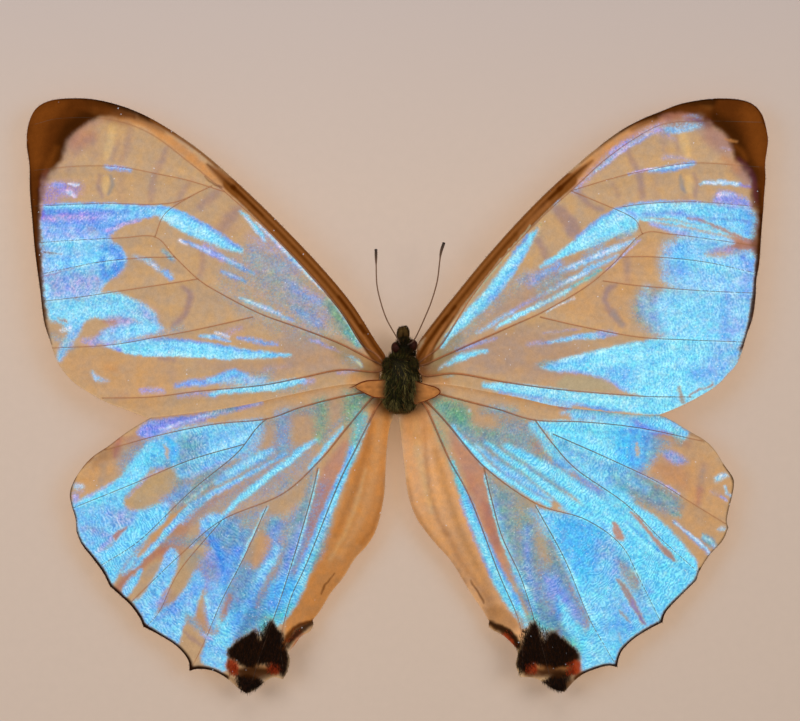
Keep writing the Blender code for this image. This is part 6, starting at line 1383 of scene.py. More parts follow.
RIGHT_HINDWING_SHINE = [
    patch("haze", [(446, 418), (466, 428), (492, 430), (506, 424), (516, 418), (532, 424), (540, 440),
                   (560, 470), (565, 492), (540, 496), (505, 478), (476, 452), (458, 432)], 0.64, 7),
    patch("haze", [(488, 480), (512, 492), (528, 508), (540, 534), (552, 560), (540, 566), (520, 556),
                   (504, 530)], 0.50, 7),
    patch("mist", [(512, 566), (534, 568), (560, 566), (576, 590), (588, 620), (570, 640), (548, 632),
                   (528, 606)], 0.66, 8),
    patch("teal", [(432, 398), (446, 399), (462, 403), (470, 414), (468, 428), (456, 428), (446, 420),
                   (436, 410)], 0.85, 5),
    patch("teal", [(432, 414), (440, 424), (448, 446), (442, 446), (436, 430)], 0.55, 4),
    patch("haze", [(456, 422), (468, 424), (476, 440), (490, 436), (498, 440), (480, 446), (468, 446)],
          0.55, 5),
    patch("haze", [(488, 408), (500, 408), (506, 414), (512, 432), (528, 436), (520, 444), (504, 432),
                   (492, 416)], 0.35, 6),
    patch("cyan", [(536, 421), (560, 421), (600, 421), (640, 417), (660, 416), (674, 422), (688, 431),
                   (684, 440), (672, 434), (650, 430), (630, 436), (628, 452), (630, 468), (622, 474),
                   (606, 464), (580, 452), (560, 442), (552, 434), (544, 428)], 0.97, 2.2),
    patch("cyan", [(530, 424), (546, 430), (552, 440), (556, 450), (572, 464), (592, 478), (612, 492),
                   (628, 502), (640, 510), (630, 500), (628, 482), (620, 470), (600, 462), (580, 450),
                   (560, 438), (550, 432), (540, 424)], 0.94, 2.5),
    patch("haze", [(554, 444), (566, 442), (584, 452), (600, 462), (604, 472), (590, 470), (570, 458)],
          0.60, 4),
    patch("sky", [(560, 446), (590, 455), (614, 466), (630, 476), (628, 486), (620, 492), (614, 496),
                  (600, 484), (580, 470)], 0.80, 6),
    patch("sky", [(572, 410), (600, 411), (640, 415), (656, 422), (640, 432), (616, 424), (590, 421),
                  (572, 419)], 0.90, 2.5),
    streak("indigo", [(560, 407, 1), (585, 410, 1.2), (610, 410.5, 1.2)], 0.60, 1.6),
    patch("azure", [(618, 430), (632, 424), (650, 430), (656, 446), (650, 464), (636, 472), (620, 468),
                    (616, 446)], 0.85, 6),
    patch("blue", [(624, 420), (640, 420), (656, 428), (650, 440), (640, 434), (626, 432)], 0.60, 4),
    streak("violet", [(636, 422, 2), (642, 427, 2), (652, 431, 1.5), (662, 433, 1.5), (672, 434, 1)],
           0.75, 2),
    streak("sky", [(656, 418, 2), (672, 424, 3), (686, 432, 3)], 0.85, 2.5),
    streak("azure", [(628, 438, 2.5), (626, 447, 4), (629, 458, 3), (637, 464, 2)], 0.90, 3.5),
    streak("deep", [(643, 436, 2), (646, 446, 3), (643, 457, 2.5), (640, 463, 1.5)], 0.55, 3),
    patch("haze", [(648, 438), (660, 440), (664, 448), (656, 458), (648, 464), (646, 452)], 0.55, 5),
    patch("haze", [(672, 426), (680, 430), (684, 440), (680, 446), (672, 436)], 0.55, 3),
    patch("lavender", [(662, 452), (670, 450), (682, 456), (688, 462), (678, 464), (668, 460)], 0.95, 3),
    patch("haze", [(612, 470), (640, 474), (660, 486), (680, 500), (674, 512), (656, 508), (636, 500),
                   (616, 488)], 0.90, 8),
    streak("bright", [(560, 424, 2), (600, 424, 2.5), (626, 424, 2)], 0.55, 3),
    streak("bright", [(570, 446, 1.5), (590, 454, 2), (608, 462, 2)], 0.60, 2),
    streak("bright", [(584, 436, 3), (600, 444, 4), (612, 452, 3)], 0.45, 4),
    streak("lilac", [(638, 473, 0.6), (654, 480, 0.9), (668, 487, 0.9), (680, 494, 0.7)], 0.90, 1),
    patch("pearl", [(714.5, 478), (719, 475), (726, 473.5), (728, 476), (721, 480), (716, 483)], 0.85, 1.8),
    streak("white", [(717, 478, 0.6), (722, 476, 0.8), (726, 475, 0.5)], 0.65, 1.0),
    streak("pearl", [(725, 487, 0.9), (727, 492, 1.2), (731, 496, 1.0)], 0.90, 1.4),
    streak("lilac", [(722, 497, 1), (727, 500.5, 1.3)], 0.95, 1.1),
    streak("lavender", [(712, 492, 1), (722, 497, 1.5)], 0.35, 2.5),
    streak("haze", [(672, 512, 2), (676, 514, 3), (680, 516, 1.5)], 0.80, 2.2),
    streak("lavender", [(674, 522, 1.5), (682, 528, 1), (688, 533, 1)], 0.85, 1.4),
    streak("blue", [(686, 532, 1.4), (696, 541, 2), (704, 548, 2.2), (711, 554, 1.6)], 0.85, 1.6),
    streak("white", [(675, 523, 0.4), (690, 534.5, 0.9), (698, 541.5, 1.1), (706, 548.5, 1.1),
                     (711, 554, 0.8)], 0.98, 0.8),
    patch("haze", [(703, 534), (708, 535), (716, 542), (715, 548), (708, 545), (702, 539)], 0.95, 2),
    streak("white", [(704, 537, 1), (710, 541, 1.3), (715, 547, 1.2)], 0.70, 1.4),
    patch("pearl", [(721, 527), (726, 528), (724, 531), (718, 530)], 0.75, 1.8),
    streak("cyan", [(453, 426, 0.8), (460, 436, 1.6), (470, 447, 2.2), (480, 458, 2.6), (490, 468, 2.8),
                    (504, 477, 2.8), (520, 488, 2.6), (536, 498, 2.6), (550, 505, 2)], 1.0, 1.5),
    streak("bright", [(464, 440, 0.7), (480, 457, 1), (498, 473, 1), (520, 487, 1)], 0.80, 1),
    streak("sky", [(476, 445, 1), (488, 456, 2), (504, 468, 3), (520, 478, 3.4), (536, 489, 3.2),
                   (550, 499, 2)], 0.94, 2),
    streak("blue", [(500, 469, 2), (520, 482, 2), (540, 495, 1.6)], 0.45, 2.5),
    streak("cyan", [(486, 442, 1), (500, 453, 2.4), (516, 464, 3), (532, 476, 3.6), (548, 488, 4.4),
                    (564, 500, 5.4), (578, 510, 5.4), (590, 516, 3.5)], 1.0, 1.8),
    streak("cyan", [(506, 446, 2.5), (522, 455, 4.5), (540, 466, 5.5), (556, 475, 6.5), (572, 486, 7.5),
                    (588, 498, 8.5), (604, 508, 6.5), (616, 514, 3.5)], 1.0, 2.2),
    streak("bright", [(530, 459, 2), (556, 473, 2.6), (580, 489, 3.4), (596, 500, 3)], 0.60, 3),
    streak("bright", [(510, 461, 0.9), (540, 481, 1.5), (566, 501, 2)], 0.60, 1.8),
    streak("cyan", [(532, 426, 3), (540, 434, 4), (548, 446, 4), (558, 458, 4), (568, 468, 3)], 0.85, 3),
    streak("blue", [(556, 462, 3), (572, 470, 4), (590, 484, 4.5), (608, 496, 3.5), (618, 502, 2)],
           0.60, 4),
    streak("cyan", [(573, 468, 0.8), (590, 479, 1.2), (606, 490, 1.2), (622, 501, 1)], 0.95, 1.2),
    streak("periwinkle", [(588, 486, 2), (602, 495, 2.2), (612, 502, 2)], 0.55, 2.5),
    patch("sky", [(537, 507), (560, 513), (590, 519), (610, 520), (624, 524), (640, 540), (648, 556),
                  (664, 562), (692, 556), (697, 578), (682, 594), (668, 609), (663, 622), (650, 628),
                  (634, 638), (622, 650), (617, 666), (600, 666), (584, 671), (580, 662), (584, 650),
                  (586, 636), (590, 620), (580, 600), (568, 576), (556, 550), (545, 524)], 1.0, 1.8),
    patch("cyan", [(560, 508), (590, 505), (620, 512), (650, 522), (662, 532), (690, 560), (694, 578),
                   (664, 610), (656, 610), (648, 600), (640, 580), (630, 556), (610, 530), (580, 520)],
          0.95, 3),
    patch("cyan", [(628, 504), (640, 508), (660, 520), (678, 538), (690, 552), (696, 566), (694, 578),
                   (680, 572), (660, 552), (644, 530)], 0.97, 2),
    patch("azure", [(552, 520), (575, 518), (596, 524), (604, 540), (598, 562), (592, 590), (580, 590),
                    (566, 560)], 0.85, 6),
    patch("cyan", [(574, 580), (600, 576), (612, 590), (604, 620), (616, 640), (618, 655), (600, 664),
                   (584, 668), (580, 654), (576, 640), (590, 624), (584, 606)], 0.55, 6),
    patch("lavender", [(598, 541), (612, 544), (612, 556), (602, 560), (594, 552)], 0.45, 5),
    patch("haze", [(616, 556), (628, 562), (640, 580), (646, 594), (640, 600), (630, 588), (620, 576)],
          0.60, 4),
    streak("periwinkle", [(616, 560, 2), (614, 572, 3), (612, 584, 2)], 0.60, 3),
    patch("periwinkle", [(618, 596), (626, 602), (632, 616), (622, 612)], 0.40, 3),
    patch("blue", [(600, 626), (616, 618), (628, 620), (632, 630), (618, 630), (604, 634)], 0.50, 4),
    patch("blue", [(640, 578), (654, 586), (658, 600), (648, 600)], 0.35, 5),
    patch("bright", [(578, 640), (594, 636), (606, 650), (612, 662), (590, 668), (582, 656)], 0.35, 5),
    streak("bright", [(592, 518, 0.8), (606, 522, 1.4), (612, 536, 1.2), (620, 546, 1), (630, 562, 1),
                      (640, 580, 1), (648, 600, 1.2), (660, 618, 1)], 0.70, 1.4),
    streak("bright", [(604, 512, 1), (620, 522, 1.5), (636, 536, 1.5), (654, 552, 1.5), (672, 566, 1.5)],
           0.75, 1.6),
    streak("bright", [(536, 507, 1), (545, 523, 1.3), (555, 542, 1.3), (565, 560, 1.3), (575, 579, 1.1),
                      (583, 598, 0.9), (590, 614, 0.9), (600, 628, 0.8)], 0.95, 1),
    streak("deep", [(610, 512, 0.6), (622, 518, 0.9), (640, 534, 0.9), (655, 547, 0.9), (672, 561, 0.7)],
           0.60, 1),
    streak("bright", [(485, 474, 0.8), (488, 490, 1), (492, 506, 1.1), (497, 524, 1.1), (503, 542, 1.1),
                      (510, 560, 0.9), (517, 576, 0.7)], 0.98, 0.9),
    streak("haze", [(490, 480, 1.5), (499, 502, 6), (506, 524, 7), (513, 545, 6), (519, 562, 5),
                    (524, 580, 5)], 0.80, 6),
    streak("sky", [(494, 500, 1.5), (500, 520, 2), (507, 542, 2), (514, 562, 2), (520, 578, 3)], 0.60, 2.5),
    streak("haze", [(528, 516, 5), (528, 540, 6), (528, 562, 6), (530, 585, 6), (534, 604, 5)], 0.85, 5),
    streak("periwinkle", [(527, 530, 3), (527, 552, 4), (530, 574, 3.5), (536, 594, 3)], 0.55, 4),
    patch("haze", [(508, 486), (516, 492), (520, 506), (510, 502), (502, 494)], 0.45, 4),
    patch("haze", [(548, 532), (556, 548), (564, 566), (570, 582), (560, 584), (552, 566), (546, 548)],
          0.70, 4),
    patch("periwinkle", [(544, 578), (556, 576), (566, 590), (576, 608), (584, 624), (570, 620), (558, 604),
                         (548, 596)], 0.80, 4),
    streak("sky", [(516, 574, 2.5), (523, 586, 4), (530, 598, 3), (536, 612, 2)], 0.75, 3),
    streak("bright", [(521, 580, 1), (528, 592, 1.2), (537, 608, 0.9)], 0.55, 1.4),
    streak("cyan", [(452, 462, 1), (457, 476, 1.6), (463, 494, 3), (468, 508, 4), (474, 522, 4.4),
                    (480, 536, 4.6), (486, 550, 5), (492, 564, 5.4), (498, 578, 6), (505, 590, 6.5),
                    (512, 602, 6.5), (519, 614, 5.5), (524, 624, 3.5)], 1.0, 2),
    streak("blue", [(463, 488, 1), (473, 508, 1.5), (482, 530, 1.5), (492, 550, 1.6), (501, 570, 2),
                    (510, 588, 2.5), (518, 604, 2.5)], 0.70, 1.8),
    streak("periwinkle", [(460, 500, 1), (470, 528, 1), (482, 556, 1.2), (492, 578, 1.6)], 0.55, 1.6),
    streak("bright", [(466, 508, 1.2), (474, 525, 1.4), (483, 545, 1.5), (491, 562, 1.5), (500, 578, 1.6),
                      (510, 594, 1.4)], 0.70, 1.4),
    patch("sea", [(448, 452), (454, 462), (460, 480), (464, 494), (458, 490), (452, 470)], 0.60, 2.5),
    patch("cyan", [(558, 596), (566, 606), (576, 620), (586, 632), (590, 640), (582, 656), (572, 646),
                   (564, 632), (560, 614)], 0.92, 3),
    streak("deep", [(557, 602, 2), (559, 612, 2.4), (556, 620, 2)], 0.75, 2.5),
    patch("haze", [(540, 606), (552, 614), (562, 630), (552, 630), (540, 622)], 0.60, 4),
    patch("sea", [(526, 618), (534, 612), (546, 622), (556, 630), (544, 632), (534, 626)], 0.75, 3.5),
    streak("white", [(541, 628, 1), (544, 632, 1.6), (546, 640, 1)], 0.60, 1.6),
    streak("teal", [(563, 637, 1.5), (572, 646, 2), (578, 654, 1.5)], 0.60, 2),
    # Touches over the forms above
    streak("sky", [(620, 474, 5), (634, 482, 5), (646, 490, 3)], 0.70, 5),
    patch("cyan", [(602, 494), (618, 490), (634, 502), (636, 514), (624, 520), (606, 514)], 0.92, 4),
    streak("sky", [(562, 413, 1.5), (574, 411, 3.5), (590, 411, 4), (604, 412, 2)], 0.75, 2.5),
    streak("sea", [(566, 636, 3), (573, 643, 4), (580, 650, 3)], 0.70, 3),
    streak("white", [(470, 409, 0.5), (469, 411, 0.6)], 0.60, 1.0),
    streak("sky", [(532, 512, 2), (541, 524, 4), (547, 536, 3)], 0.62, 4),
    streak("haze", [(482, 410, 3), (498, 409, 4), (514, 410, 4)], 0.58, 4),
    streak("mist", [(650, 438, 2), (661, 441, 3.5), (670, 444, 2)], 0.45, 3),
    streak("sky", [(624, 584, 3), (632, 592, 4), (640, 600, 3)], 0.50, 4),
    streak("teal", [(472, 427, 3), (483, 431, 4), (494, 434, 3)], 0.55, 4),
    streak("steel", [(552, 620, 3), (560, 630, 4.5), (568, 638, 3)], 0.62, 3.5),
    streak("steel", [(524, 596, 2), (532, 606, 3), (540, 616, 3)], 0.45, 4),
]

RIGHT_HINDWING_BARE = [
    streak("pale", [(636.5, 443, 1.0), (638, 449, 2.4), (637.5, 455, 1.2)], 0.65, 1.8),
    streak("blush", [(631, 512, 0.8), (640, 521, 2.0), (650, 533, 2.2), (660, 545, 2.4), (668, 553, 3.0),
                     (674, 560, 1.0)], 0.85, 1.8),
    streak("mauve", [(664, 548, 2), (671, 556, 3), (676, 562, 1.5)], 0.60, 1.8),
    patch("blush", [(612, 521), (617, 523), (622, 531), (625, 537), (622, 541), (617, 540), (613, 531)],
          0.85, 2),
    patch("mauve", [(616, 560), (628, 566), (636, 576), (640, 588), (634, 592), (624, 578)], 0.50, 4),
    streak("rose", [(634, 574, 1.5), (638, 582, 2)], 0.45, 2.5),
    streak("mauve", [(618, 580, 1.6), (626, 590, 3), (632, 602, 3), (639, 614, 2.4), (644, 624, 1.5)],
           0.85, 2),
    # A painted glint in violet on the mauve streak
    streak("violet", [(632, 600, 1), (634, 607, 2), (638, 612, 1)], 0.50, 2.6),
    streak("indigo", [(640, 616, 1), (646, 626, 1)], 0.55, 1.4),
    streak("grey", [(620, 610, 1), (624, 615, 1.8), (630, 622, 1.2)], 0.65, 1.6),
    streak("grey", [(619, 634, 1), (621, 642, 1.6)], 0.45, 1.8),
    streak("rose", [(566, 406, 1.2), (572, 408, 1.5)], 0.50, 2),
    streak("rose", [(540, 452, 3), (532, 442, 3)], 0.45, 4),
    streak("rose", [(520, 470, 1), (540, 488, 1.5), (556, 500, 1.5)], 0.35, 2),
    patch("black", [(518, 650), (522, 644), (527, 632), (534, 621), (539, 629), (544, 641), (549, 634),
                    (556, 631), (563, 637), (571, 644), (580, 654), (577, 664), (564, 670), (550, 670),
                    (538, 665), (531, 666), (526, 674), (521, 672), (516, 664)], 1.0, 3),
    streak("border_dark", [(546, 640, 0.8), (549, 650, 1.2), (552, 660, 0.8)], 0.55, 1.5),
    patch("border", [(526, 666), (540, 664), (556, 668), (572, 666), (578, 672), (566, 678), (552, 676),
                     (536, 678), (524, 676)], 0.85, 3),
    patch("red", [(574, 662), (580, 661), (582, 669), (578, 676), (572, 673)], 0.95, 2.5),
    patch("red", [(529, 664), (536, 663), (538, 671), (531, 673)], 0.80, 3),
    streak("orange", [(538, 667, 1), (543, 669, 1.5)], 0.55, 2.5),
    streak("orange", [(558, 670, 1), (568, 669, 1.5)], 0.45, 2.5),
    patch("black", [(548, 683), (550, 677), (560, 676), (566, 682), (566, 690), (562, 693), (553, 688)],
          1.0, 2.4),
    streak("border", [(489, 623, 2), (495, 627, 2.2), (503, 629, 2.4), (509, 633, 2.6), (514, 639, 2.4),
                      (518, 646, 2.2)], 0.95, 1.8),
    streak("red", [(503, 634, 1.8), (509, 638, 2.6), (513, 643, 2)], 0.85, 1.8),
    streak("edge", [(724, 465, 0.8), (731, 474, 1.4), (734.6, 484, 1.6), (732.6, 496, 1.4),
                    (729.4, 509, 1.4), (728, 520, 1.8), (729, 529, 1.8), (723, 541.5, 1.6),
                    (710.5, 555.5, 1.6), (700.5, 571, 1.6)], 0.85, 1.2),
    streak("edge", [(701, 570, 2.4), (697, 581, 3), (682.5, 595.5, 2.8), (669.5, 609, 3.2), (665, 616, 3.4),
                    (663, 623, 3.4)], 1.0, 1.5),
    streak("edge", [(663, 623, 3.4), (651, 629, 3), (635.5, 639, 3.2), (624, 650, 3.4), (619.5, 659, 3.4),
                    (617.5, 668, 3.4)], 1.0, 1.5),
    streak("edge", [(617.5, 668, 3.4), (609, 666.5, 3.2), (599.5, 668.5, 3.2), (585, 674, 3.2),
                    (577, 679, 3)], 1.0, 1.5),
    streak("border_light", [(662, 417, 1), (674, 422.5, 1), (689, 432, 0.8), (704, 441, 0.8)], 0.50, 1.2),
    # Touches over the forms above
    streak("olive", [(516, 500, 2.5), (523, 512, 3.5), (530, 521, 2.5)], 0.45, 5),
    streak("membrane", [(537, 540, 3), (543, 551, 4.5), (548, 561, 3)], 0.60, 5),
    streak("grey", [(514, 614, 2.5), (522, 623, 2.5)], 0.40, 4),
    patch("base", [(404, 398), (420, 398), (428, 404), (424, 416), (404, 418)], 0.62, 7),
    patch("orange", [(402, 410), (418, 408), (432, 420), (428, 440), (412, 442), (402, 430)], 0.55, 8),
    streak("border_dark", [(540, 672, 2.5), (556, 674, 3), (570, 673, 2.5)], 0.60, 3),
    streak("border", [(492, 625, 2.5), (502, 630, 3.2), (510, 636, 3.6), (517, 645, 3)], 0.70, 3),
    patch("ochre", [(484, 608), (500, 606), (514, 618), (518, 628), (508, 632), (492, 628)], 0.60, 4),
    streak("ochre", [(436, 452, 4), (444, 480, 4), (458, 525, 4.5), (472, 555, 4.5), (486, 585, 5),
                     (494, 610, 5)], 0.42, 6),
    streak("border_dark", [(490, 623.5, 2), (498, 628, 3.2), (506, 632, 4), (513, 638, 4), (518, 646, 3)],
           0.75, 2.5),
    streak("red", [(505, 636.5, 1.4), (510.5, 641, 2.2), (514, 645, 1.4)], 0.75, 1.8),
    streak("ochre", [(517, 612, 2), (521, 621, 3.2), (524, 630, 2.5)], 0.50, 3),
    patch("black", [(546, 681), (554, 673), (566, 673), (573, 680), (568, 690), (562, 695), (552, 691)],
          0.85, 3),
    streak("base", [(568, 685, 2), (575, 679, 3), (581, 675, 2)], 0.60, 3),
    streak("black", [(544, 637, 1.5), (551, 632, 2.5), (558, 631, 2)], 0.45, 3),
    patch("border_dark", [(538, 670), (548, 666), (562, 669), (572, 672), (566, 680), (546, 679)], 0.45, 3),
    streak("black", [(489.5, 622.5, 1.6), (498, 627, 2.4), (507, 631, 2.6), (514, 637, 2.6),
                     (519, 645, 2.4)], 0.80, 1.8),
]

# layer is 1 for the upper pair and -1 for the lower one, fringed are the outline's runs with hair, an
# eyespot of the underside is (x, y, radius), and hue multiplies the shine's red, green and blue.
WINGS = {
    "left_forewing": {
        "outline": LEFT_FOREWING, "veins": LEFT_FOREWING_VEINS, "layer": 1,
        "pigment": LEFT_FOREWING_PIGMENT, "shine": LEFT_FOREWING_SHINE, "bare": LEFT_FOREWING_BARE,
        "fringed": [0], "eyespots": [(110, 184, 9), (128, 254, 8), (150, 318, 9)], "hue": (0.97, 0.97, 1.0),
    },
    "right_forewing": {
        "outline": RIGHT_FOREWING, "veins": RIGHT_FOREWING_VEINS, "layer": 1,
        "pigment": RIGHT_FOREWING_PIGMENT, "shine": RIGHT_FOREWING_SHINE, "bare": RIGHT_FOREWING_BARE,
        "fringed": [0], "eyespots": [(684, 184, 9), (672, 258, 8), (655, 318, 9)], "hue": (0.94, 1.0, 1.0),
    },
    "left_hindwing": {
        "outline": LEFT_HINDWING, "veins": LEFT_HINDWING_VEINS, "layer": -1,
        "pigment": LEFT_HINDWING_PIGMENT, "shine": LEFT_HINDWING_SHINE, "bare": LEFT_HINDWING_BARE,
        "fringed": [1, 2, 3, 4, 5, 6, 7, 8], "eyespots": [(166, 452, 12), (205, 556, 11), (238, 592, 10)],
        "hue": (0.74, 0.94, 1.0),
    },
    "right_hindwing": {
        "outline": RIGHT_HINDWING, "veins": RIGHT_HINDWING_VEINS, "layer": -1,
        "pigment": RIGHT_HINDWING_PIGMENT, "shine": RIGHT_HINDWING_SHINE, "bare": RIGHT_HINDWING_BARE,
        "fringed": [1, 2, 3, 4, 5, 6, 7, 8], "eyespots": [(636, 448, 12), (600, 552, 11), (560, 590, 10)],
        "hue": (0.74, 0.98, 1.0),
    },
}


def over(under, colour, cover):
    """A named colour over others, as far as it covers them."""
    return under * (1 - cover[:, None]) + linear(colour) * cover[:, None]


def hinge(wing):
    """The pixel from which the wing's scales and pleats fan out."""
    side = 1 if wing["outline"][0][0][0] > ORIGIN_PIXEL[0] else -1
    return np.array([ORIGIN_PIXEL[0] + HINGE_ASIDE * side, HINGE_Y[wing["layer"]]])


def ripples(wing, pixels, dense):
    """The fine waves of the scales: each place's phase, in wavelengths, and how strong they are there."""
    away = pixels - hinge(wing)
    distance = np.hypot(*away.T)
    phase = distance / WAVELENGTH + sum(amount * noise(pixels, size, seed) for amount, size, seed in SWAYS)
    strength = smooth_step(2.0 * noise(pixels, 22.0, 33) - 0.25) * (0.08 + 0.92 * dense ** 2)
    if wing["layer"] > 0:
        phase = phase + np.arctan2(away[:, 1], away[:, 0]) * FOREWING_FAN
        strength = FOREWING_RIPPLE * strength
    return phase, strength


def relief(phase, strength, pixels, dense):
    """The height of the upper side's ripples and of its fine grain."""
    grain = (noise(pixels, 1.9, 34) - 0.5) * GRAIN * (0.3 + 0.7 * dense)
    return RIPPLE * strength * np.sin(2 * np.pi * phase) + grain


def paint(wing, pixels):
    """The membrane's colour, the shining scales' colour and how densely they lie, at each place."""
    places = pixels + wander(pixels, *WANDER)
    rough = places + wander(pixels, *FINE_WANDER)
    pigment = plain("membrane", pixels)
    for mark in wing["pigment"]:
        pigment = over(pigment, mark[1], cover_of(mark, places))
    for line in wing["veins"]:
        widths = [max(0.2, 1.2 - math.dist(point, hinge(wing)) / 150) for point in line]
        points = [(x, y, width) for (x, y), width in zip(line, widths)]
        pigment = over(pigment, "vein_shade",
                       cover_of(streak("vein_shade", points, SHADED_VEIN, 1.2), pixels))
    drift = noise(pixels, 10.0, 17) + 0.6 * noise(pixels, 3.0, 18) - 0.8
    pigment = pigment * (1 + drift[:, None] * np.array(WARM_DRIFT))
    shine = plain("sky", pixels)
    dense = np.zeros(len(pixels))
    for kind, colour, strength, soft, points in wing["shine"]:
        cover = cover_of((kind, colour, strength, DUSTY * soft + DUSTY_MARGIN, points), rough)
        share = cover / np.maximum(cover + dense * (1 - cover), 1e-6)
        shine = over(shine, colour, share)
        dense = cover + dense * (1 - cover)
    worn = smooth_step(3.4 * noise(pixels, 3.2, 19) - 2.0)
    dense = dense * (1 - WORN * worn)
    # A painted highlight, in the bright colour, along one side of each vein
    side = np.sign(hinge(wing)[0] - ORIGIN_PIXEL[0])
    for line in wing["veins"]:
        beside = [(x + 1.0 * side, y + 1.3, 0.6) for x, y in line]
        cover = cover_of(streak("bright", beside, VEIN_HIGHLIGHT, 0.8), pixels) * dense
        shine = over(shine, "bright", cover)
        dense = dense + cover * (1 - dense) * 0.5
    for mark in wing["bare"]:
        cover = cover_of(mark, pixels if mark[1] in STEADY else rough)
        dense = dense * (1 - cover)
        pigment = over(pigment, mark[1], cover)
    for hue, size, seed in HUE_NOISES:
        drift = noise(pixels, size, seed) - 0.5
        shine = shine * (1 + drift[:, None] * np.array(HUE_DRIFT) * hue)
    return pigment, shine * wing["hue"], dense


def paint_under(wing, pixels):
    """The underside: pale and dull, with the bands that show through to the upper side, and eyespots."""
    places = pixels + wander(pixels, *UNDER_WANDER)
    pigment = plain("under", pixels)
    for mark in wing["pigment"]:
        colour = "band" if mark[1] in UNDER_BANDS else mark[1]
        pigment = over(pigment, colour, 0.8 * cover_of(mark, places))
    for x, y, radius in wing["eyespots"]:
        for share, colour in EYESPOT_RINGS:
            spot = streak(colour, [(x, y - 0.5, share * radius), (x, y + 0.5, share * radius)], 0.95, 1.5)
            pigment = over(pigment, colour, cover_of(spot, places))
    return pigment * (0.92 + 0.16 * noise(pixels, 3.0, 23)[:, None])


# ------------------------------------------------------------ meshes

def flat(pixels):
    """Pixels of the photograph as metres in the plane seen from above."""
    return (np.asarray(pixels, float) - ORIGIN_PIXEL) * (PIXEL, -PIXEL)


def add_piece(name, points, triangles, material, **attributes):
    """A mesh object, with a colour or a number for each point under each attribute's name."""
    data = bpy.data.meshes.new(name)
    triangles = np.asarray(triangles, np.int32)
    data.vertices.add(len(points))
    data.vertices.foreach_set("co", np.asarray(points, np.float32).ravel())
    data.loops.add(triangles.size)
    data.loops.foreach_set("vertex_index", triangles.ravel())
    data.polygons.add(len(triangles))
    data.polygons.foreach_set("loop_start", np.arange(0, triangles.size, 3, dtype=np.int32))
    data.polygons.foreach_set("use_smooth", np.ones(len(triangles), bool))
    data.update(calc_edges=True)
    for key, values in attributes.items():
        if values.ndim == 1:
            data.attributes.new(key, "FLOAT", "POINT").data.foreach_set("value", values.astype(np.float32))
        else:
            colours = np.hstack([values, np.ones((len(values), 1))]).astype(np.float32)
            data.attributes.new(key, "FLOAT_COLOR", "POINT").data.foreach_set("color", colours.ravel())
    data.materials.append(material)
    item = bpy.data.objects.new(name, data)
    bpy.context.scene.collection.objects.link(item)
    return item


def joined(parts):
    """Several (points, triangles, ...) as one, where what follows the triangles is a value for each point."""
    starts = np.cumsum([0] + [len(part[0]) for part in parts[:-1]])
    triangles = np.vstack([part[1] + start for part, start in zip(parts, starts)])
    columns = [np.concatenate([part[i] for part in parts]) for i in range(len(parts[0])) if i != 1]
    return [columns[0], triangles] + columns[1:]


def rings_to_triangles(rings, sides):
    """Triangles of a closed body of rings, with a fan at each end."""
    index = np.arange(rings * sides).reshape(rings, sides)
    near, far = index[:-1], index[1:]
    near_next, far_next = np.roll(near, -1, axis=1), np.roll(far, -1, axis=1)
    walls = np.concatenate([np.stack([near, near_next, far_next], axis=-1).reshape(-1, 3),
                            np.stack([near, far_next, far], axis=-1).reshape(-1, 3)])
    first, last = index[0], index[-1]
    caps = [[first[0], first[i + 1], first[i]] for i in range(1, sides - 1)]
    caps += [[last[0], last[i], last[i + 1]] for i in range(1, sides - 1)]
    return np.vstack([walls, caps])


def shell_walls(rim, count):
    """The walls of a shell whose upper side begins with the rim's points, count points before the lower."""
    edge = np.arange(len(rim))
    after = np.roll(edge, -1)
    walls = np.vstack([np.stack([edge, edge + count, after + count], axis=1),
                       np.stack([edge, after + count, after], axis=1)])
    turn = np.sum(rim[:, 0] * np.roll(rim[:, 1], -1) - rim[:, 1] * np.roll(rim[:, 0], -1))
    return walls[:, ::-1] if turn < 0 else walls


def tube(path, radii, sides):
    """A round tube along a path. Each of its points also gets its place along the path, 0 to 1."""
    path = np.asarray(path, float)
    ahead = unit(np.gradient(path, axis=0))
    across = np.cross(ahead[0], (0.31, 0.17, 0.93))
    angles = circle(sides)
    points = []
    for place, direction, radius in zip(path, ahead, radii):
        across = across - direction * (across @ direction)
        across /= np.linalg.norm(across)
        side = np.cross(direction, across)
        points.append(place + radius * (np.cos(angles)[:, None] * across + np.sin(angles)[:, None] * side))
    along = np.repeat(np.linspace(0, 1, len(path)), sides)
    return np.vstack(points), rings_to_triangles(len(path), sides), along


def hair_sizes(kind, count, random):
    """A random length for each hair of a kind, and the kind's radius, in metres."""
    shortest, longest, radius = kind
    return random.uniform(shortest, longest, count) * MM, radius * MM


def per_hair(values):
    """A value for each hair as one for each of its points."""
    return np.repeat(values, HAIR_POINTS, axis=0)


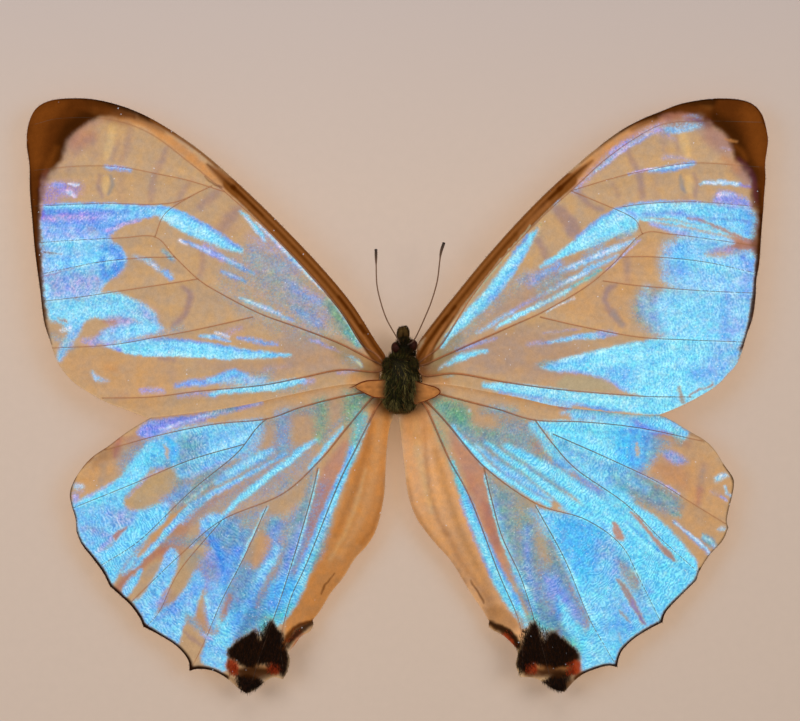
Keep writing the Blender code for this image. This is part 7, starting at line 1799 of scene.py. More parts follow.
def hairs(roots, directions, lengths, bends, radius):
    """Curved hairs that taper to a point, 16 triangles each, and each point's place along its hair."""
    count = len(roots)
    levels = np.array([0.0, 0.4, 0.75, 1.0])
    thickness = np.array([1.0, 0.9, 0.6])
    lengths = np.asarray(lengths)[:, None]
    centres = [roots + directions * lengths * t + bends * lengths * t * t for t in levels]
    across = unit(np.cross(directions, (0.37, 0.21, 0.90)))
    side = np.cross(directions, across)
    radius = np.broadcast_to(radius, count)[:, None]
    corners = []
    for centre, share in zip(centres, thickness):
        for angle in circle(3):
            corners.append(centre + radius * share * (math.cos(angle) * across + math.sin(angle) * side))
    points = np.stack(corners + [centres[-1]], axis=1).reshape(-1, 3)
    pattern = [[0, 2, 1]]
    for level in (0, 3):
        for turn in (0, 1, 2):
            low, low_next = level + turn, level + (turn + 1) % 3
            pattern += [[low, low_next, low_next + 3], [low, low_next + 3, low + 3]]
    pattern += [[6, 7, 9], [7, 8, 9], [8, 6, 9]]
    triangles = (np.array(pattern)[None] + HAIR_POINTS * np.arange(count)[:, None, None]).reshape(-1, 3)
    along = np.tile(np.append(np.repeat(levels[:3], 3), 1.0), count)
    return points, triangles, along


# ------------------------------------------------------------ wings

def wing_height(wing, pixels):
    """The middle of the wing's thickness at each place, the same surface as the solids have."""
    places = flat(pixels)
    span = np.abs(places[:, 0]) / (WINGSPAN / 2)
    length = places[:, 1] / (WINGSPAN / 2)
    droop = TIP_DROOP * span ** 2
    droop += np.where(length < 0, TAIL_DROOP * (length / TAIL_REACH) ** 2,
                      FRONT_DROOP * (length / FRONT_REACH) ** 2)
    near_vein = np.full(len(pixels), np.inf)
    for line in wing["veins"]:
        curve = catmull_rom(line, CREST_STEP)
        low, high = curve.min(axis=0) - 12, curve.max(axis=0) + 12
        near = np.all((pixels > low) & (pixels < high), axis=1)
        near_vein[near] = np.minimum(near_vein[near], line_distance(pixels[near], curve)[0])
    crest = np.maximum(0, 1 - near_vein * PIXEL / VEIN_REACH)
    if len(wing["outline"]) > INNER_MARGIN_RUN:
        gutter = catmull_rom(wing["outline"][INNER_MARGIN_RUN], FOLD_STEP)
        distance = line_distance(pixels, gutter)[0] * PIXEL
        droop += FOLD_DROP * np.maximum(0, 1 - distance / FOLD_WIDTH) ** 2
    return WING_ROOT_HEIGHT - droop + wing["layer"] * LAYER_OFFSET + VEIN_LIFT * (crest - 0.5)


def hex_grid(rim, step):
    """Points in even rows inside an outline, clear of the outline itself."""
    low, high = rim.min(axis=0), rim.max(axis=0)
    rows = np.arange(low[1], high[1], step * 0.866)
    columns = np.arange(low[0], high[0], step)
    x, y = np.meshgrid(columns, rows)
    x = x + 0.5 * step * (np.arange(len(rows)) % 2)[:, None]
    points = np.stack([x.ravel(), y.ravel()], axis=1)
    points = points[inside(points, rim)]
    return points[rim_distance(points, rim[::6]) > 0.75 * step]


def triangulate(rim, points):
    """The rim's points and those inside it as one flat mesh that faces up."""
    corners = [Vector(point) for point in np.vstack([rim, points])]
    found, _, triangles, *_ = delaunay_2d_cdt(corners, [], [list(range(len(rim)))], 1, 1e-5, False)
    places = np.array(found)
    triangles = np.array(triangles)
    first, second, third = (places[triangles[:, i]] for i in range(3))
    turn = np.cross(second - first, third - first)
    triangles[turn > 0] = triangles[turn > 0][:, ::-1]
    return places, triangles[inside((first + second + third) / 3, rim)]


def add_wing(name, wing, material):
    """A closed thin shell: a finely painted upper side, a plainer underside and a shared rim."""
    rim = np.vstack([catmull_rom(run, RIM_STEP)[:-1] for run in wing["outline"]])
    upper, upper_triangles = triangulate(rim, hex_grid(rim, UPPER_STEP))
    lower, lower_triangles = triangulate(rim, hex_grid(rim, LOWER_STEP))
    pigment, shine, dense = paint(wing, upper)
    under = paint_under(wing, lower)
    phase, strength = ripples(wing, upper, dense)
    upper_z = wing_height(wing, upper) + MEMBRANE / 2 + relief(phase, strength, upper, dense)
    lower_z = wing_height(wing, lower) - MEMBRANE / 2
    count = len(upper)
    points = np.vstack([np.column_stack([flat(upper), upper_z]), np.column_stack([flat(lower), lower_z])])
    triangles = np.vstack([upper_triangles, lower_triangles[:, ::-1] + count, shell_walls(rim, count)])
    none = np.zeros(len(lower))
    return add_piece(name, points, triangles, material,
                     pigment=np.vstack([pigment, under]),
                     shine=np.vstack([shine, plain("sky", lower)]),
                     dense=np.append(dense, none),
                     phase=np.append(phase, none),
                     waves=np.append(strength, none))


def add_veins(name, wing, material):
    """Tapering ribs that stand proud of both sides of the membrane."""
    parts = []
    start = hinge(wing)
    side = np.sign(start[0] - ORIGIN_PIXEL[0])
    for line in wing["veins"]:
        if math.dist(line[0], start) < VEIN_START:
            root = start[1] - ROOT_AHEAD + ROOT_SPREAD * (line[0][1] - start[1])
            line = [(ORIGIN_PIXEL[0] + ROOT_ASIDE * side, root)] + line
        curve = catmull_rom(line, VEIN_STEP)
        away = np.hypot(*(curve - start).T)
        radii = VEIN_BASE + (VEIN_TIP - VEIN_BASE) * np.clip(away / VEIN_RUN, 0, 1) ** 0.6
        heights = wing_height(wing, curve)
        points, triangles, _ = tube(np.column_stack([flat(curve), heights]), radii, VEIN_SIDES)
        pigment, shine, dense = paint(wing, curve)
        shade = np.clip(1.5 * pigment.mean(axis=1) / linear("membrane").mean(), 0.1, 1)[:, None]
        outer = np.clip(away / 120, 0, 1)[:, None]
        dark = linear("vein_base") + (linear("vein") - linear("vein_base")) * outer
        dark = dark * shade
        tint = dark + (0.28 * shine - dark) * 0.8 * dense[:, None]
        parts.append((points, triangles, np.repeat(tint, VEIN_SIDES, axis=0)))
    points, triangles, tint = joined(parts)
    return add_piece(name, points, triangles, material, tint=tint)


def add_fringe(name, wing, runs, random, material):
    """Short scale hairs that lie along the outer edge, most of them inside it."""
    parts = []
    for run in runs:
        curve = catmull_rom(wing["outline"][run], FRINGE_STEP)
        along = unit(np.gradient(curve, axis=0))
        outward = np.stack([along[:, 1], -along[:, 0]], axis=1)
        if np.mean(inside(curve + 2 * outward, wing["rim"])) > 0.5:
            outward = -outward
        curve = curve + random.uniform(-0.5, 0.5, curve.shape)
        heights = wing_height(wing, curve)
        roots = np.column_stack([flat(curve - FRINGE_INSET * outward), heights])
        spread = outward + random.uniform(-0.45, 0.45, outward.shape)
        directions = unit(np.column_stack([spread * (1, -1), random.uniform(-0.12, 0.12, len(curve))]))
        lengths, radius = hair_sizes(FRINGE_HAIR, len(curve), random)
        points, triangles, _ = hairs(roots, directions, lengths, np.zeros_like(roots), radius)
        pigment, _, _ = paint(wing, curve - 1.5 * outward)
        tint = per_hair(pigment * random.uniform(0.6, 1.1, (len(curve), 1)))
        parts.append((points, triangles, tint))
    points, triangles, tint = joined(parts)
    return add_piece(name, points, triangles, material, tint=tint)


# ------------------------------------------------------------ thorax, head and palps

def thorax_surface(along, angle, inset=0.0):
    """Points of the thorax in metres, the given depth in millimetres under the solid's surface."""
    stations = np.array(THORAX_STATIONS)
    curve = catmull_rom(np.column_stack([stations, np.zeros(len(stations))]), 0.05)[:, :4]
    share = np.clip(along, 0, 1) * (len(curve) - 1)
    y, half_width, low, high = (np.interp(share, np.arange(len(curve)), curve[:, i]) for i in range(4))
    y = y * (1 - 0.7 * inset / THORAX_REACH)
    middle, reach = (low + high) / 2, np.maximum((high - low) / 2 - inset, THORAX_CORE)
    depth = np.maximum(0, -np.sin(angle))
    x = np.maximum(half_width - inset, THORAX_CORE) * np.cos(angle) * (1 - THORAX_KEEL * depth)
    z = np.maximum(THORAX_REST + 0.5 * inset, middle + reach * np.sin(angle))
    return np.stack([x, y, z], axis=1) * MM


def head_place(places):
    """Millimetres along the head's own directions from its centre, as metres."""
    places = np.asarray(places, float)
    across, ahead, up = places[:, 0], places[:, 1], places[:, 2]
    turned = np.stack([across * math.cos(HEAD_YAW) - ahead * math.sin(HEAD_YAW),
                       across * math.sin(HEAD_YAW) + ahead * math.cos(HEAD_YAW), up], axis=1)
    return (np.array(HEAD_CENTRE) + turned) * MM


def sphere_grid(rings, sides):
    """Directions on a sphere as rings from the lower to the upper pole."""
    rise = np.linspace(-np.pi / 2 + POLE_GAP, np.pi / 2 - POLE_GAP, rings)
    rise, turn = (values.ravel() for values in np.meshgrid(rise, circle(sides), indexing="ij"))
    return np.stack([np.cos(rise) * np.cos(turn), np.cos(rise) * np.sin(turn), np.sin(rise)], axis=1)


def fur(roots, normals, random, lean, lengths, radius, spread=0.35, sag=0.25):
    """Hairs that rise from the skin and lean the way it lies, as points, triangles and places."""
    lean = np.broadcast_to(lean, roots.shape)
    directions = normals * random.uniform(0.25, 0.55, (len(roots), 1)) + lean
    directions = unit(directions + random.normal(0, spread, roots.shape) * 0.6)
    bends = lean * 0.3 + random.normal(0, 0.12, roots.shape) - (0, 0, sag * 0.4)
    points, triangles, place = hairs(roots, directions, lengths, bends, radius)
    points[:, 2] = np.maximum(points[:, 2], LOWEST_HAIR)
    return points, triangles, place


def shades(mix, count, random):
    """A random colour for each hair, from a few named ones with their shares."""
    colours, weights = mix
    table = np.array([linear(colour) for colour in colours])
    picks = random.choice(len(colours), count, p=weights)
    return table[picks] * random.uniform(0.6, 1.35, (count, 1))


def add_thorax(random, skin, coat):
    """The thorax's skin, and its fur: swirled, with a collar in front and a paler tuft behind."""
    rings, sides = THORAX_GRID
    along, angle = np.meshgrid(np.linspace(0, 1, rings), circle(sides), indexing="ij")
    points = thorax_surface(along.ravel(), angle.ravel(), THORAX_FUR_DEPTH)
    body = add_piece("thorax_skin", points, rings_to_triangles(rings, sides)[:, ::-1], skin,
                     tint=plain("skin", points))
    count = THORAX_HAIRS
    along = random.uniform(0.02, 0.98, count)
    angle = random.uniform(0, 2 * np.pi, count)
    roots = thorax_surface(along, angle, THORAX_FUR_DEPTH)
    tips = thorax_surface(along, angle, 0.0)
    normals = tips - roots
    normals /= np.maximum(np.linalg.norm(normals, axis=1, keepdims=True), 1e-9)
    swirl = noise(roots[:, :2] / MM, 1.3, 51)[:, None] - 0.5
    x, y, z = roots.T / MM
    collar = np.clip((y - COLLAR_START) / 0.7, 0, 1)
    lean = np.stack([0.9 * swirl[:, 0], -0.75 + 1.3 * collar, np.zeros(count)], axis=1)
    rear = np.clip((y - THORAX_REAR) / 1.4, 0, 1)
    lengths, radius = hair_sizes(THORAX_HAIR, count, random)
    lengths = lengths * (0.45 + 0.55 * rear) * (1 - 0.25 * collar)
    points, triangles, _ = fur(roots, normals, random, lean, lengths, radius)
    tint = shades(THORAX_MIX, count, random)
    rearmost = PALE_SHARE * (1 - np.clip((y - THORAX_REAR) / 1.1, 0, 1))
    tail_end = (random.uniform(0, 1, count) < rearmost) & (z > REAR_FLOOR)
    tint[tail_end] = linear("fur_ochre") * random.uniform(0.4, 1.2, (tail_end.sum(), 1))
    for centre, low, high, half_width in FUR_STREAKS:
        on = (np.abs(x - centre) < half_width) & (y > low) & (y < high) & (z > STREAK_FLOOR)
        pale = on & (random.uniform(0, 1, count) < PALE_SHARE)
        tint[pale] = linear("fur_grey") * random.uniform(0.4, 1.05, (pale.sum(), 1))
    return [body, add_piece("thorax_hair", points, triangles, coat, tint=per_hair(tint))]


def add_head(random, skin, coat):
    """The head's skin, its hair between the eyes, and the hair that fills the nape."""
    rings, sides = HEAD_GRID
    grid = sphere_grid(rings, sides)
    radii = np.array(HEAD_RADII) - HEAD_FUR_DEPTH
    points = head_place(grid * radii)
    head = add_piece("head_skin", points, rings_to_triangles(rings, sides), skin,
                     tint=plain("skin", points))
    normals = unit(random.normal(0, 1, (HEAD_HAIRS, 3)))
    normals = normals[np.abs(normals[:, 0]) < EYE_GAP]
    roots = head_place(normals * radii)
    lean = np.where(normals[:, 1:2] > -0.2, 1, -1) * np.array((0.0, 0.5, 0.0))
    crown = fur(roots, normals, random, lean, *hair_sizes(HEAD_HAIR, len(roots), random))[:2]
    middle, half_width, ahead, up, arch = NAPE
    across = random.uniform(-1, 1, NAPE_HAIRS)
    roots = np.stack([middle + half_width * across, random.uniform(*ahead, NAPE_HAIRS),
                      random.uniform(*up, NAPE_HAIRS) - arch * across ** 2], axis=1) * MM
    upward = np.tile((0.0, 0.3, 1.0), (NAPE_HAIRS, 1))
    forward = np.array((0.0, 0.8, 0.0))
    nape = fur(roots, upward, random, forward, *hair_sizes(NAPE_HAIR, NAPE_HAIRS, random))[:2]
    parts = []
    for points, triangles in (crown, nape):
        tint = shades(HEAD_MIX, len(points) // HAIR_POINTS, random)
        parts.append((points, triangles, per_hair(tint)))
    points, triangles, tint = joined(parts)
    return [head, add_piece("head_hair", points, triangles, coat, tint=tint)]


def add_eye(name, side, material):
    """A domed eye of six-sided facets."""
    rings, sides = EYE_GRID
    grid = sphere_grid(rings, sides)
    turn = np.arctan2(grid[:, 1], grid[:, 0])
    rise = np.arcsin(np.clip(grid[:, 2], -1, 1))
    row = rise * FACET_ROWS / np.pi
    column = turn * FACET_ROWS * np.cos(rise) / np.pi + 0.5 * (np.floor(row) % 2)
    dome = np.cos(2 * np.pi * row) + np.cos(2 * np.pi * column)
    across, ahead, up = EYE_OFFSET
    reach = 1 + FACET_RISE * dome
    points = head_place(grid * reach[:, None] * EYE_RADII + (side * across, ahead, up))
    return add_piece(name, points, rings_to_triangles(rings, sides), material)


def add_palp(name, side, random, skin, coat):
    """A plump feeler of three joints, brown, with painted shade darkening its outer flank and the hair
    there, so that it looks lit along its middle.
    """
    curve = catmull_rom(PALP_STATIONS, PALP_STEP)
    sides = PALP_SIDES
    angle = circle(sides)
    points, normals, shaded_flank = [], [], []
    for ahead, z, width, height in curve:
        width, height = max(width - PALP_FUR_DEPTH, 0.05), max(height - PALP_FUR_DEPTH, 0.05)
        closing = PALP_CLOSING * np.clip((ahead - 1.5) / 0.8, 0, 1)
        across = side * (PALP_SPREAD - closing) + PALP_TURN * (ahead - 0.7)
        ring = np.stack([across + width * np.cos(angle), np.full(sides, ahead),
                         z + height * np.sin(angle) - HEAD_CENTRE[2]], axis=1)
        points.append(ring)
        normals.append(np.stack([np.cos(angle), np.zeros(sides), np.sin(angle)], axis=1))
        shaded_flank.append(np.maximum(0, side * np.cos(angle)))
    points, normals, shaded_flank = np.vstack(points), np.vstack(normals), np.concatenate(shaded_flank)
    # Painted shade darkens the skin on the outer flank
    body = add_piece(name + "_skin", head_place(points), rings_to_triangles(len(curve), sides), skin,
                     tint=linear("palp") * (1 - 0.7 * shaded_flank[:, None]))
    picks = random.integers(0, len(points), PALP_HAIRS)
    lean = np.array((0.0, 0.75, 0.25))
    lengths, radius = hair_sizes(PALP_HAIR, PALP_HAIRS, random)
    hair_points, triangles, _ = fur(head_place(points[picks]), normals[picks], random, lean, lengths,
                                    radius, spread=0.25, sag=-0.1)
    tip = np.clip(picks / len(points) * 4 - 3, 0, 1)[:, None]
    tint = shades(PALP_MIX, PALP_HAIRS, random)
    # Painted shade darkens the hair on the outer flank, and hair near the tip is darker
    tint = tint * (1 - 0.85 * shaded_flank[picks, None]) * (1 - 0.8 * tip)
    return [body, add_piece(name + "_hair", hair_points, triangles, coat, tint=per_hair(tint))]


# ------------------------------------------------------------ antennae, proboscis and legs

def add_antenna(name, stations, material):
    """A thread of many short joints that thickens into a slim dark club."""
    stations = [(*flat([pixel])[0], height * MM) for pixel, height in stations]
    path = catmull_rom(stations, ANTENNA_STEP * MM)
    place = np.linspace(0, 1, len(path))
    run = np.cumsum(np.append(0, np.linalg.norm(np.diff(path, axis=0), axis=1)))
    club = np.clip(1 - (1 - place) / CLUB_SHARE, 0, 1)
    swell = np.sin(np.minimum(1, club * 1.12) * np.pi * 0.60)
    joint = (run / (ANTENNA_JOINT * MM)) % 1
    radii = (ANTENNA_STALK + (ANTENNA_CLUB - ANTENNA_STALK) * swell) * MM
    radii = radii * (1 - 0.16 * np.exp(-((joint - 0.5) * 9) ** 2))
    radii[-1] *= 0.35
    points, triangles, _ = tube(path, radii, ANTENNA_SIDES)
    tint = linear("stalk") * (1 - club[:, None]) + linear("club") * club[:, None]
    tint = tint * (1 - 0.45 * np.exp(-((joint - 0.5) * 6) ** 2))[:, None]
    tint = tint * (0.2 + 0.8 * np.clip(place / 0.10 - 0.2, 0, 1))[:, None]
    return add_piece(name, points, triangles, material, tint=np.repeat(tint, ANTENNA_SIDES, axis=0))


def add_proboscis(material):
    """A ribbed coil like a watch spring."""
    count = int(PROBOSCIS_TURNS * POINTS_PER_TURN)
    angle = 2 * np.pi * PROBOSCIS_TURNS * np.arange(count + 1) / count
    reach = PROBOSCIS_INNER + PROBOSCIS_PITCH * angle / (2 * np.pi)
    coil = np.stack([np.zeros(count + 1), reach * np.cos(angle), reach * np.sin(angle)], axis=1)
    ribs = 0.5 + 0.5 * np.cos(2 * np.pi * np.arange(count + 1) / 2)
    radii = PROBOSCIS_RADIUS * (0.97 - 0.12 * ribs) * (0.55 + 0.45 * np.clip(angle / 6, 0, 1))
    path = (np.array(PROBOSCIS_CENTRE) + coil) * MM
    points, triangles, along = tube(path, radii * MM, PROBOSCIS_SIDES)
    tint = linear("stalk") * (0.8 + 0.3 * along[:, None])
    return add_piece("coiled_tongue", points, triangles, material, tint=tint)


def add_leg(name, side, stations, random, material):
    """A jointed leg with spines along the shin, five foot joints and two claws."""
    stations = np.array([(side * x, y, z, r) for x, y, z, r in stations])
    curve = catmull_rom(stations, LEG_STEP)
    place = np.linspace(0, 1, len(curve))
    path, radii = curve[:, :3] * MM, np.maximum(curve[:, 3], 0.06) * MM
    bulge = np.abs(np.sin((place - FOOT) / (1 - FOOT) * FOOT_JOINTS * np.pi))
    radii = np.where(place > FOOT, radii * (0.84 + 0.16 * bulge), radii)
    knees = np.exp(-((place - SHIN) * 22) ** 2) + np.exp(-((place - FOOT) * 26) ** 2)
    radii = radii * (1 + 0.10 * knees)
    points, triangles, along = tube(path, radii, LEG_SIDES)
    mottle = 0.9 + 0.2 * noise(points[:, :2] / MM, 0.4, 61)[:, None]
    parts = [(points, triangles, linear("leg") * (1 - 0.35 * along[:, None]) * mottle)]
    picks = random.integers(int(0.06 * len(path)), int(0.96 * len(path)), SPINES)
    ahead = unit(np.gradient(path, axis=0))
    outward = random.normal(0, 1, (len(picks), 3))
    outward = unit(outward - ahead[picks] * np.sum(outward * ahead[picks], axis=1, keepdims=True))
    directions = outward * 0.55 + ahead[picks] * 0.85
    lengths = np.where(place[picks] > SHIN, 0.17, 0.11) * random.uniform(0.7, 1.2, len(picks)) * MM
    points, triangles, _ = hairs(path[picks] + outward * radii[picks, None] * 0.7, directions, lengths,
                                 np.zeros((len(picks), 3)), SPINE_RADIUS * MM)
    parts.append((points, triangles, plain("club", points)))
    end, forward = path[-1], ahead[-1]
    aside = np.cross(forward, (0.2, 0.1, 0.97))
    aside /= np.linalg.norm(aside)
    share = np.linspace(0, 1, CLAW_POINTS)[:, None]
    for turn in (-1, 1):
        hook = end + forward * CLAW_LENGTH * MM * share + aside * turn * CLAW_SPREAD * MM * share
        hook = hook - np.array((0, 0, CLAW_SPREAD * MM)) * share ** 2
        points, triangles, _ = tube(hook, np.linspace(*CLAW_RADII, CLAW_POINTS) * MM, CLAW_SIDES)
        parts.append((points, triangles, plain("club", points)))
    points, triangles, tint = joined(parts)
    points[:, 2] = np.maximum(points[:, 2], LOWEST_HAIR)
    return add_piece(name, points, triangles, material, tint=tint)


# ------------------------------------------------------------ tufts on the wings

def add_tufts(name, wing, side, random, material):
    """Soft dark and red hair over the patch at the hindwing's tail and on the small lobe beside it."""
    parts = []
    for outline, mix, length, lean, count in TUFTS:
        rim = np.array([(TUFT_MIRROR + (TUFT_MIRROR - x) * side, y) for x, y in outline], float)
        low, high = rim.min(axis=0), rim.max(axis=0)
        spots = random.uniform(low, high, (count * 3, 2))
        spots = spots[inside(spots, rim)]
        spots = spots[inside(spots, wing["rim"])]
        keep = np.clip(rim_distance(spots, rim) / TUFT_THINNING, 0.2, 1)
        spots = spots[random.uniform(0, 1, len(spots)) < keep][:count]
        roots = np.column_stack([flat(spots), wing_height(wing, spots) + MEMBRANE / 2])
        ahead = np.array((lean[0] * side, lean[1], 0.16))
        directions = unit(ahead + random.normal(0, 0.22, roots.shape) * (1, 1, 0.25))
        lengths = random.uniform(0.55, 1.15, len(roots)) * length * MM
        bends = np.tile((0.0, 0.0, -0.14), (len(roots), 1))
        points, triangles, _ = hairs(roots, directions, lengths, bends, TUFT_RADIUS * MM)
        parts.append((points, triangles, per_hair(shades(mix, len(roots), random))))
    points, triangles, tint = joined(parts)
    return add_piece(name, points, triangles, material, tint=tint)


def add_wing_base(name, side, random, skin, coat):
    """The ridged plate between thorax and wings, and the scale-covered lobe in front of it."""
    rim = catmull_rom(HINGE_PLATES[name] + HINGE_PLATES[name][:1], PLATE_STEP)[:-1]
    places, upper = triangulate(rim, hex_grid(rim, PLATE_STEP))
    rise = PLATE_RISE * np.sqrt(np.clip(rim_distance(places, rim) / 4, 0, 1))
    heights = [(PLATE_HEIGHT + sign * rise + PLATE_EDGE * sign) * MM for sign in (1, -1)]
    points = np.vstack([np.column_stack([flat(places), height]) for height in heights])
    count = len(places)
    triangles = np.vstack([upper, upper[:, ::-1] + count, shell_walls(rim, count)])
    crease = noise(places * (0.4, 1.0), 2.2, 71)[:, None]
    shaded = np.clip((np.abs(places[:, :1] - ORIGIN_PIXEL[0]) - 12) / 12, 0.4, 1)
    colour = linear("amber") * (0.75 + 0.5 * crease) * shaded
    parts = [(points, triangles, np.vstack([colour, colour]))]
    for line in HINGE_RIDGES[name]:
        curve = catmull_rom(line, RIDGE_STEP)
        path = np.column_stack([flat(curve), np.full(len(curve), (PLATE_HEIGHT + RIDGE_LIFT) * MM)])
        taper = np.sin(np.linspace(0.12, 0.88, len(curve)) * np.pi)
        points, triangles, _ = tube(path, RIDGE_RADIUS * taper * MM, RIDGE_SIDES)
        parts.append((points, triangles, plain("ridge", points)))
    points, triangles, tint = joined(parts)
    plates = add_piece(name + "_hinge", points, triangles, skin, tint=tint)
    centre = np.array((LOBE_CENTRE[0] * side, LOBE_CENTRE[1], LOBE_CENTRE[2]))
    normals = unit(random.normal(0, 1, (LOBE_HAIRS, 3)))
    normals[:, 2] = np.abs(normals[:, 2])
    roots = (centre + normals * LOBE_RADII) * MM
    lean = np.array((0.12 * side, -0.8, 0.0))
    points, triangles, _ = fur(roots, normals, random, lean, *hair_sizes(LOBE_HAIR, LOBE_HAIRS, random))
    tint = shades(LOBE_MIX, LOBE_HAIRS, random)
    return [plates, add_piece(name + "_lobe", points, triangles, coat, tint=per_hair(tint))]


# ------------------------------------------------------------ materials

class Shader:
    """A node material under construction. Sockets are linked and values are set by name."""

    def __init__(self, name):
        self.material = bpy.data.materials.new(name)
        self.material.use_nodes = True
        self.tree = self.material.node_tree
        self.tree.nodes.clear()
        self.place = self.add("ShaderNodeTexCoord").outputs["Object"]

    def add(self, kind, settings=None, **inputs):
        item = self.tree.nodes.new(kind)
        for key, value in (settings or {}).items():
            setattr(item, key, value)
        for key, value in inputs.items():
            socket = item.inputs[int(key[1:])] if key[0] == "_" else item.inputs[key.replace("_", " ")]
            if isinstance(value, bpy.types.NodeSocket):
                self.tree.links.new(value, socket)
            else:
                socket.default_value = value
        return item

    def attribute(self, name, output="Color"):
        return self.add("ShaderNodeAttribute", {"attribute_name": name}).outputs[output]

    def noise(self, scale, detail=2.0, output="Fac"):
        return self.add("ShaderNodeTexNoise", Vector=self.place, Scale=scale, Detail=detail).outputs[output]

    def math(self, operation, first, second=0.0, clamp=False):
        settings = {"operation": operation, "use_clamp": clamp}
        return self.add("ShaderNodeMath", settings, _0=first, _1=second).outputs[0]

    def spread(self, value, low, high):
        """The value, from 0 to 1, moved into the range from low to high."""
        return self.add("ShaderNodeMapRange", Value=value, To_Min=low, To_Max=high).outputs[0]

    def mix(self, factor, first, second, blend="MIX"):
        settings = {"data_type": "RGBA", "blend_type": blend}
        item = self.add("ShaderNodeMix", settings, _0=factor, _6=first, _7=second)
        return item.outputs[2]

    def vary(self, colour, amount):
        """The colour, made lighter and darker by a value from 0 to 1."""
        scaled = self.add("ShaderNodeVectorMath", {"operation": "SCALE"}, _0=colour, Scale=amount)
        return scaled.outputs[0]

    def bump(self, height, strength, distance):
        item = self.add("ShaderNodeBump", Height=height, Strength=strength, Distance=distance)
        return item.outputs[0]

    def finish(self, surface):
        self.add("ShaderNodeOutputMaterial", Surface=surface)
        return self.material


def wing_material():
    """Translucent brown membrane under a layer of tiny shining scales, with painted shade and
    highlight on their ripples, and painted glints.
    """
    shader = Shader("wing_membrane")
    dense = shader.attribute("dense", "Fac")
    cells = shader.add("ShaderNodeTexVoronoi", Vector=shader.place, Scale=SCALES_PER_METRE)
    chance, bright, glitter = shader.add("ShaderNodeSeparateColor", Color=cells.outputs["Color"]).outputs
    speckled = shader.math("SUBTRACT", dense, shader.math("MULTIPLY", chance, SPECKLE_REACH))
    speckled = shader.math("MULTIPLY", speckled, SPECKLE_CONTRAST, clamp=True)
    even = shader.math("MULTIPLY", dense, EVEN_COVER)
    cover = shader.math("ADD", even, shader.math("MULTIPLY", speckled, SPECKLED_COVER), clamp=True)
    membrane = shader.vary(shader.attribute("pigment"), shader.spread(shader.noise(1500), 0.86, 1.12))
    membrane = shader.vary(membrane, shader.spread(bright, 0.95, 1.05))
    drift = shader.noise(1100, 3.0, "Color")
    tinted = shader.mix(0.45, shader.attribute("shine"),
                        shader.mix(1.0, shader.attribute("shine"), drift, "OVERLAY"))
    # Painted shade and highlight that follow the ripples' phase, over random lighter and darker patches
    wave = shader.math("SINE", shader.math("MULTIPLY", shader.attribute("phase", "Fac"), 2 * math.pi))
    strength = shader.math("MULTIPLY", shader.attribute("waves", "Fac"), RIPPLE_SHADING)
    wave = shader.math("MULTIPLY", wave, strength)
    level = shader.math("ADD", wave, shader.spread(shader.noise(3600.0), -0.75, 1.75), clamp=True)
    scale_and_ripple_shading = shader.mix(level, SCALE_DARK_AND_TROUGH_SHADE, SCALE_LIGHT_AND_CREST_HIGHLIGHT)
    scales = shader.mix(1.0, shader.vary(tinted, shader.spread(bright, 0.92, 1.08)), scale_and_ripple_shading, "MULTIPLY")
    # Painted glints on a few single scales, and on rarer stray ones
    glint_highlight = shader.math("MULTIPLY", shader.math("GREATER_THAN", glitter, 0.98), 0.35)
    scales = shader.mix(glint_highlight, scales, GLINT_HIGHLIGHT_TONE)
    stray_glint = shader.math("MULTIPLY", shader.math("GREATER_THAN", glitter, 0.999), 0.45)
    colour = shader.mix(stray_glint, shader.mix(cover, membrane, scales), STRAY_GLINT_TONE)
    height = shader.math("ADD", shader.math("MULTIPLY", cells.outputs["Distance"], -0.6), shader.noise(5200))
    surface = shader.add(
        "ShaderNodeBsdfPrincipled", Base_Color=colour, Normal=shader.bump(height, 0.35, 0.00003),
        Roughness=shader.math("SUBTRACT", shader.spread(shader.noise(2600), 0.52, 0.70),
                              shader.math("MULTIPLY", cover, 0.18)),
        Specular_IOR_Level=shader.spread(cover, 0.0, 0.26))
    shadow = shader.add("ShaderNodeBsdfTransparent", Color=WING_SHADOW)
    rays = shader.add("ShaderNodeLightPath")
    mixed = shader.add("ShaderNodeMixShader", _0=rays.outputs["Is Shadow Ray"], _1=surface.outputs[0],
                       _2=shadow.outputs[0])
    return shader.finish(mixed.outputs[0])


def tinted_material(name, roughness, grain, bump, specular):
    """Colour from each point's tint, broken up by noise, with roughness and bump from noise too."""
    shader = Shader(name)
    speckle = shader.noise(grain)
    colour = shader.vary(shader.attribute("tint"), shader.spread(speckle, 0.72, 1.28))
    uneven = shader.spread(shader.noise(grain * 0.6), roughness - 0.1, roughness + 0.1)
    surface = shader.add("ShaderNodeBsdfPrincipled", Base_Color=colour, Roughness=uneven,
                         Specular_IOR_Level=specular,
                         Normal=shader.bump(shader.noise(grain * 1.7), bump, 0.00004))
    return shader.finish(surface.outputs[0])


def eye_material():
    """Dark red-brown, mottled and slightly glossy."""
    shader = Shader("dark_facets")
    facets = shader.add("ShaderNodeTexVoronoi", Vector=shader.place, Scale=FACETS_PER_METRE)
    mottle = shader.noise(2500)
    colour = shader.mix(mottle, EYE_DARK, EYE_LIGHT)
    surface = shader.add("ShaderNodeBsdfPrincipled", Base_Color=colour, Specular_IOR_Level=0.05,
                         Roughness=shader.spread(mottle, 0.30, 0.50),
                         Normal=shader.bump(facets.outputs["Distance"], 0.4, 0.00002))
    return shader.finish(surface.outputs[0])


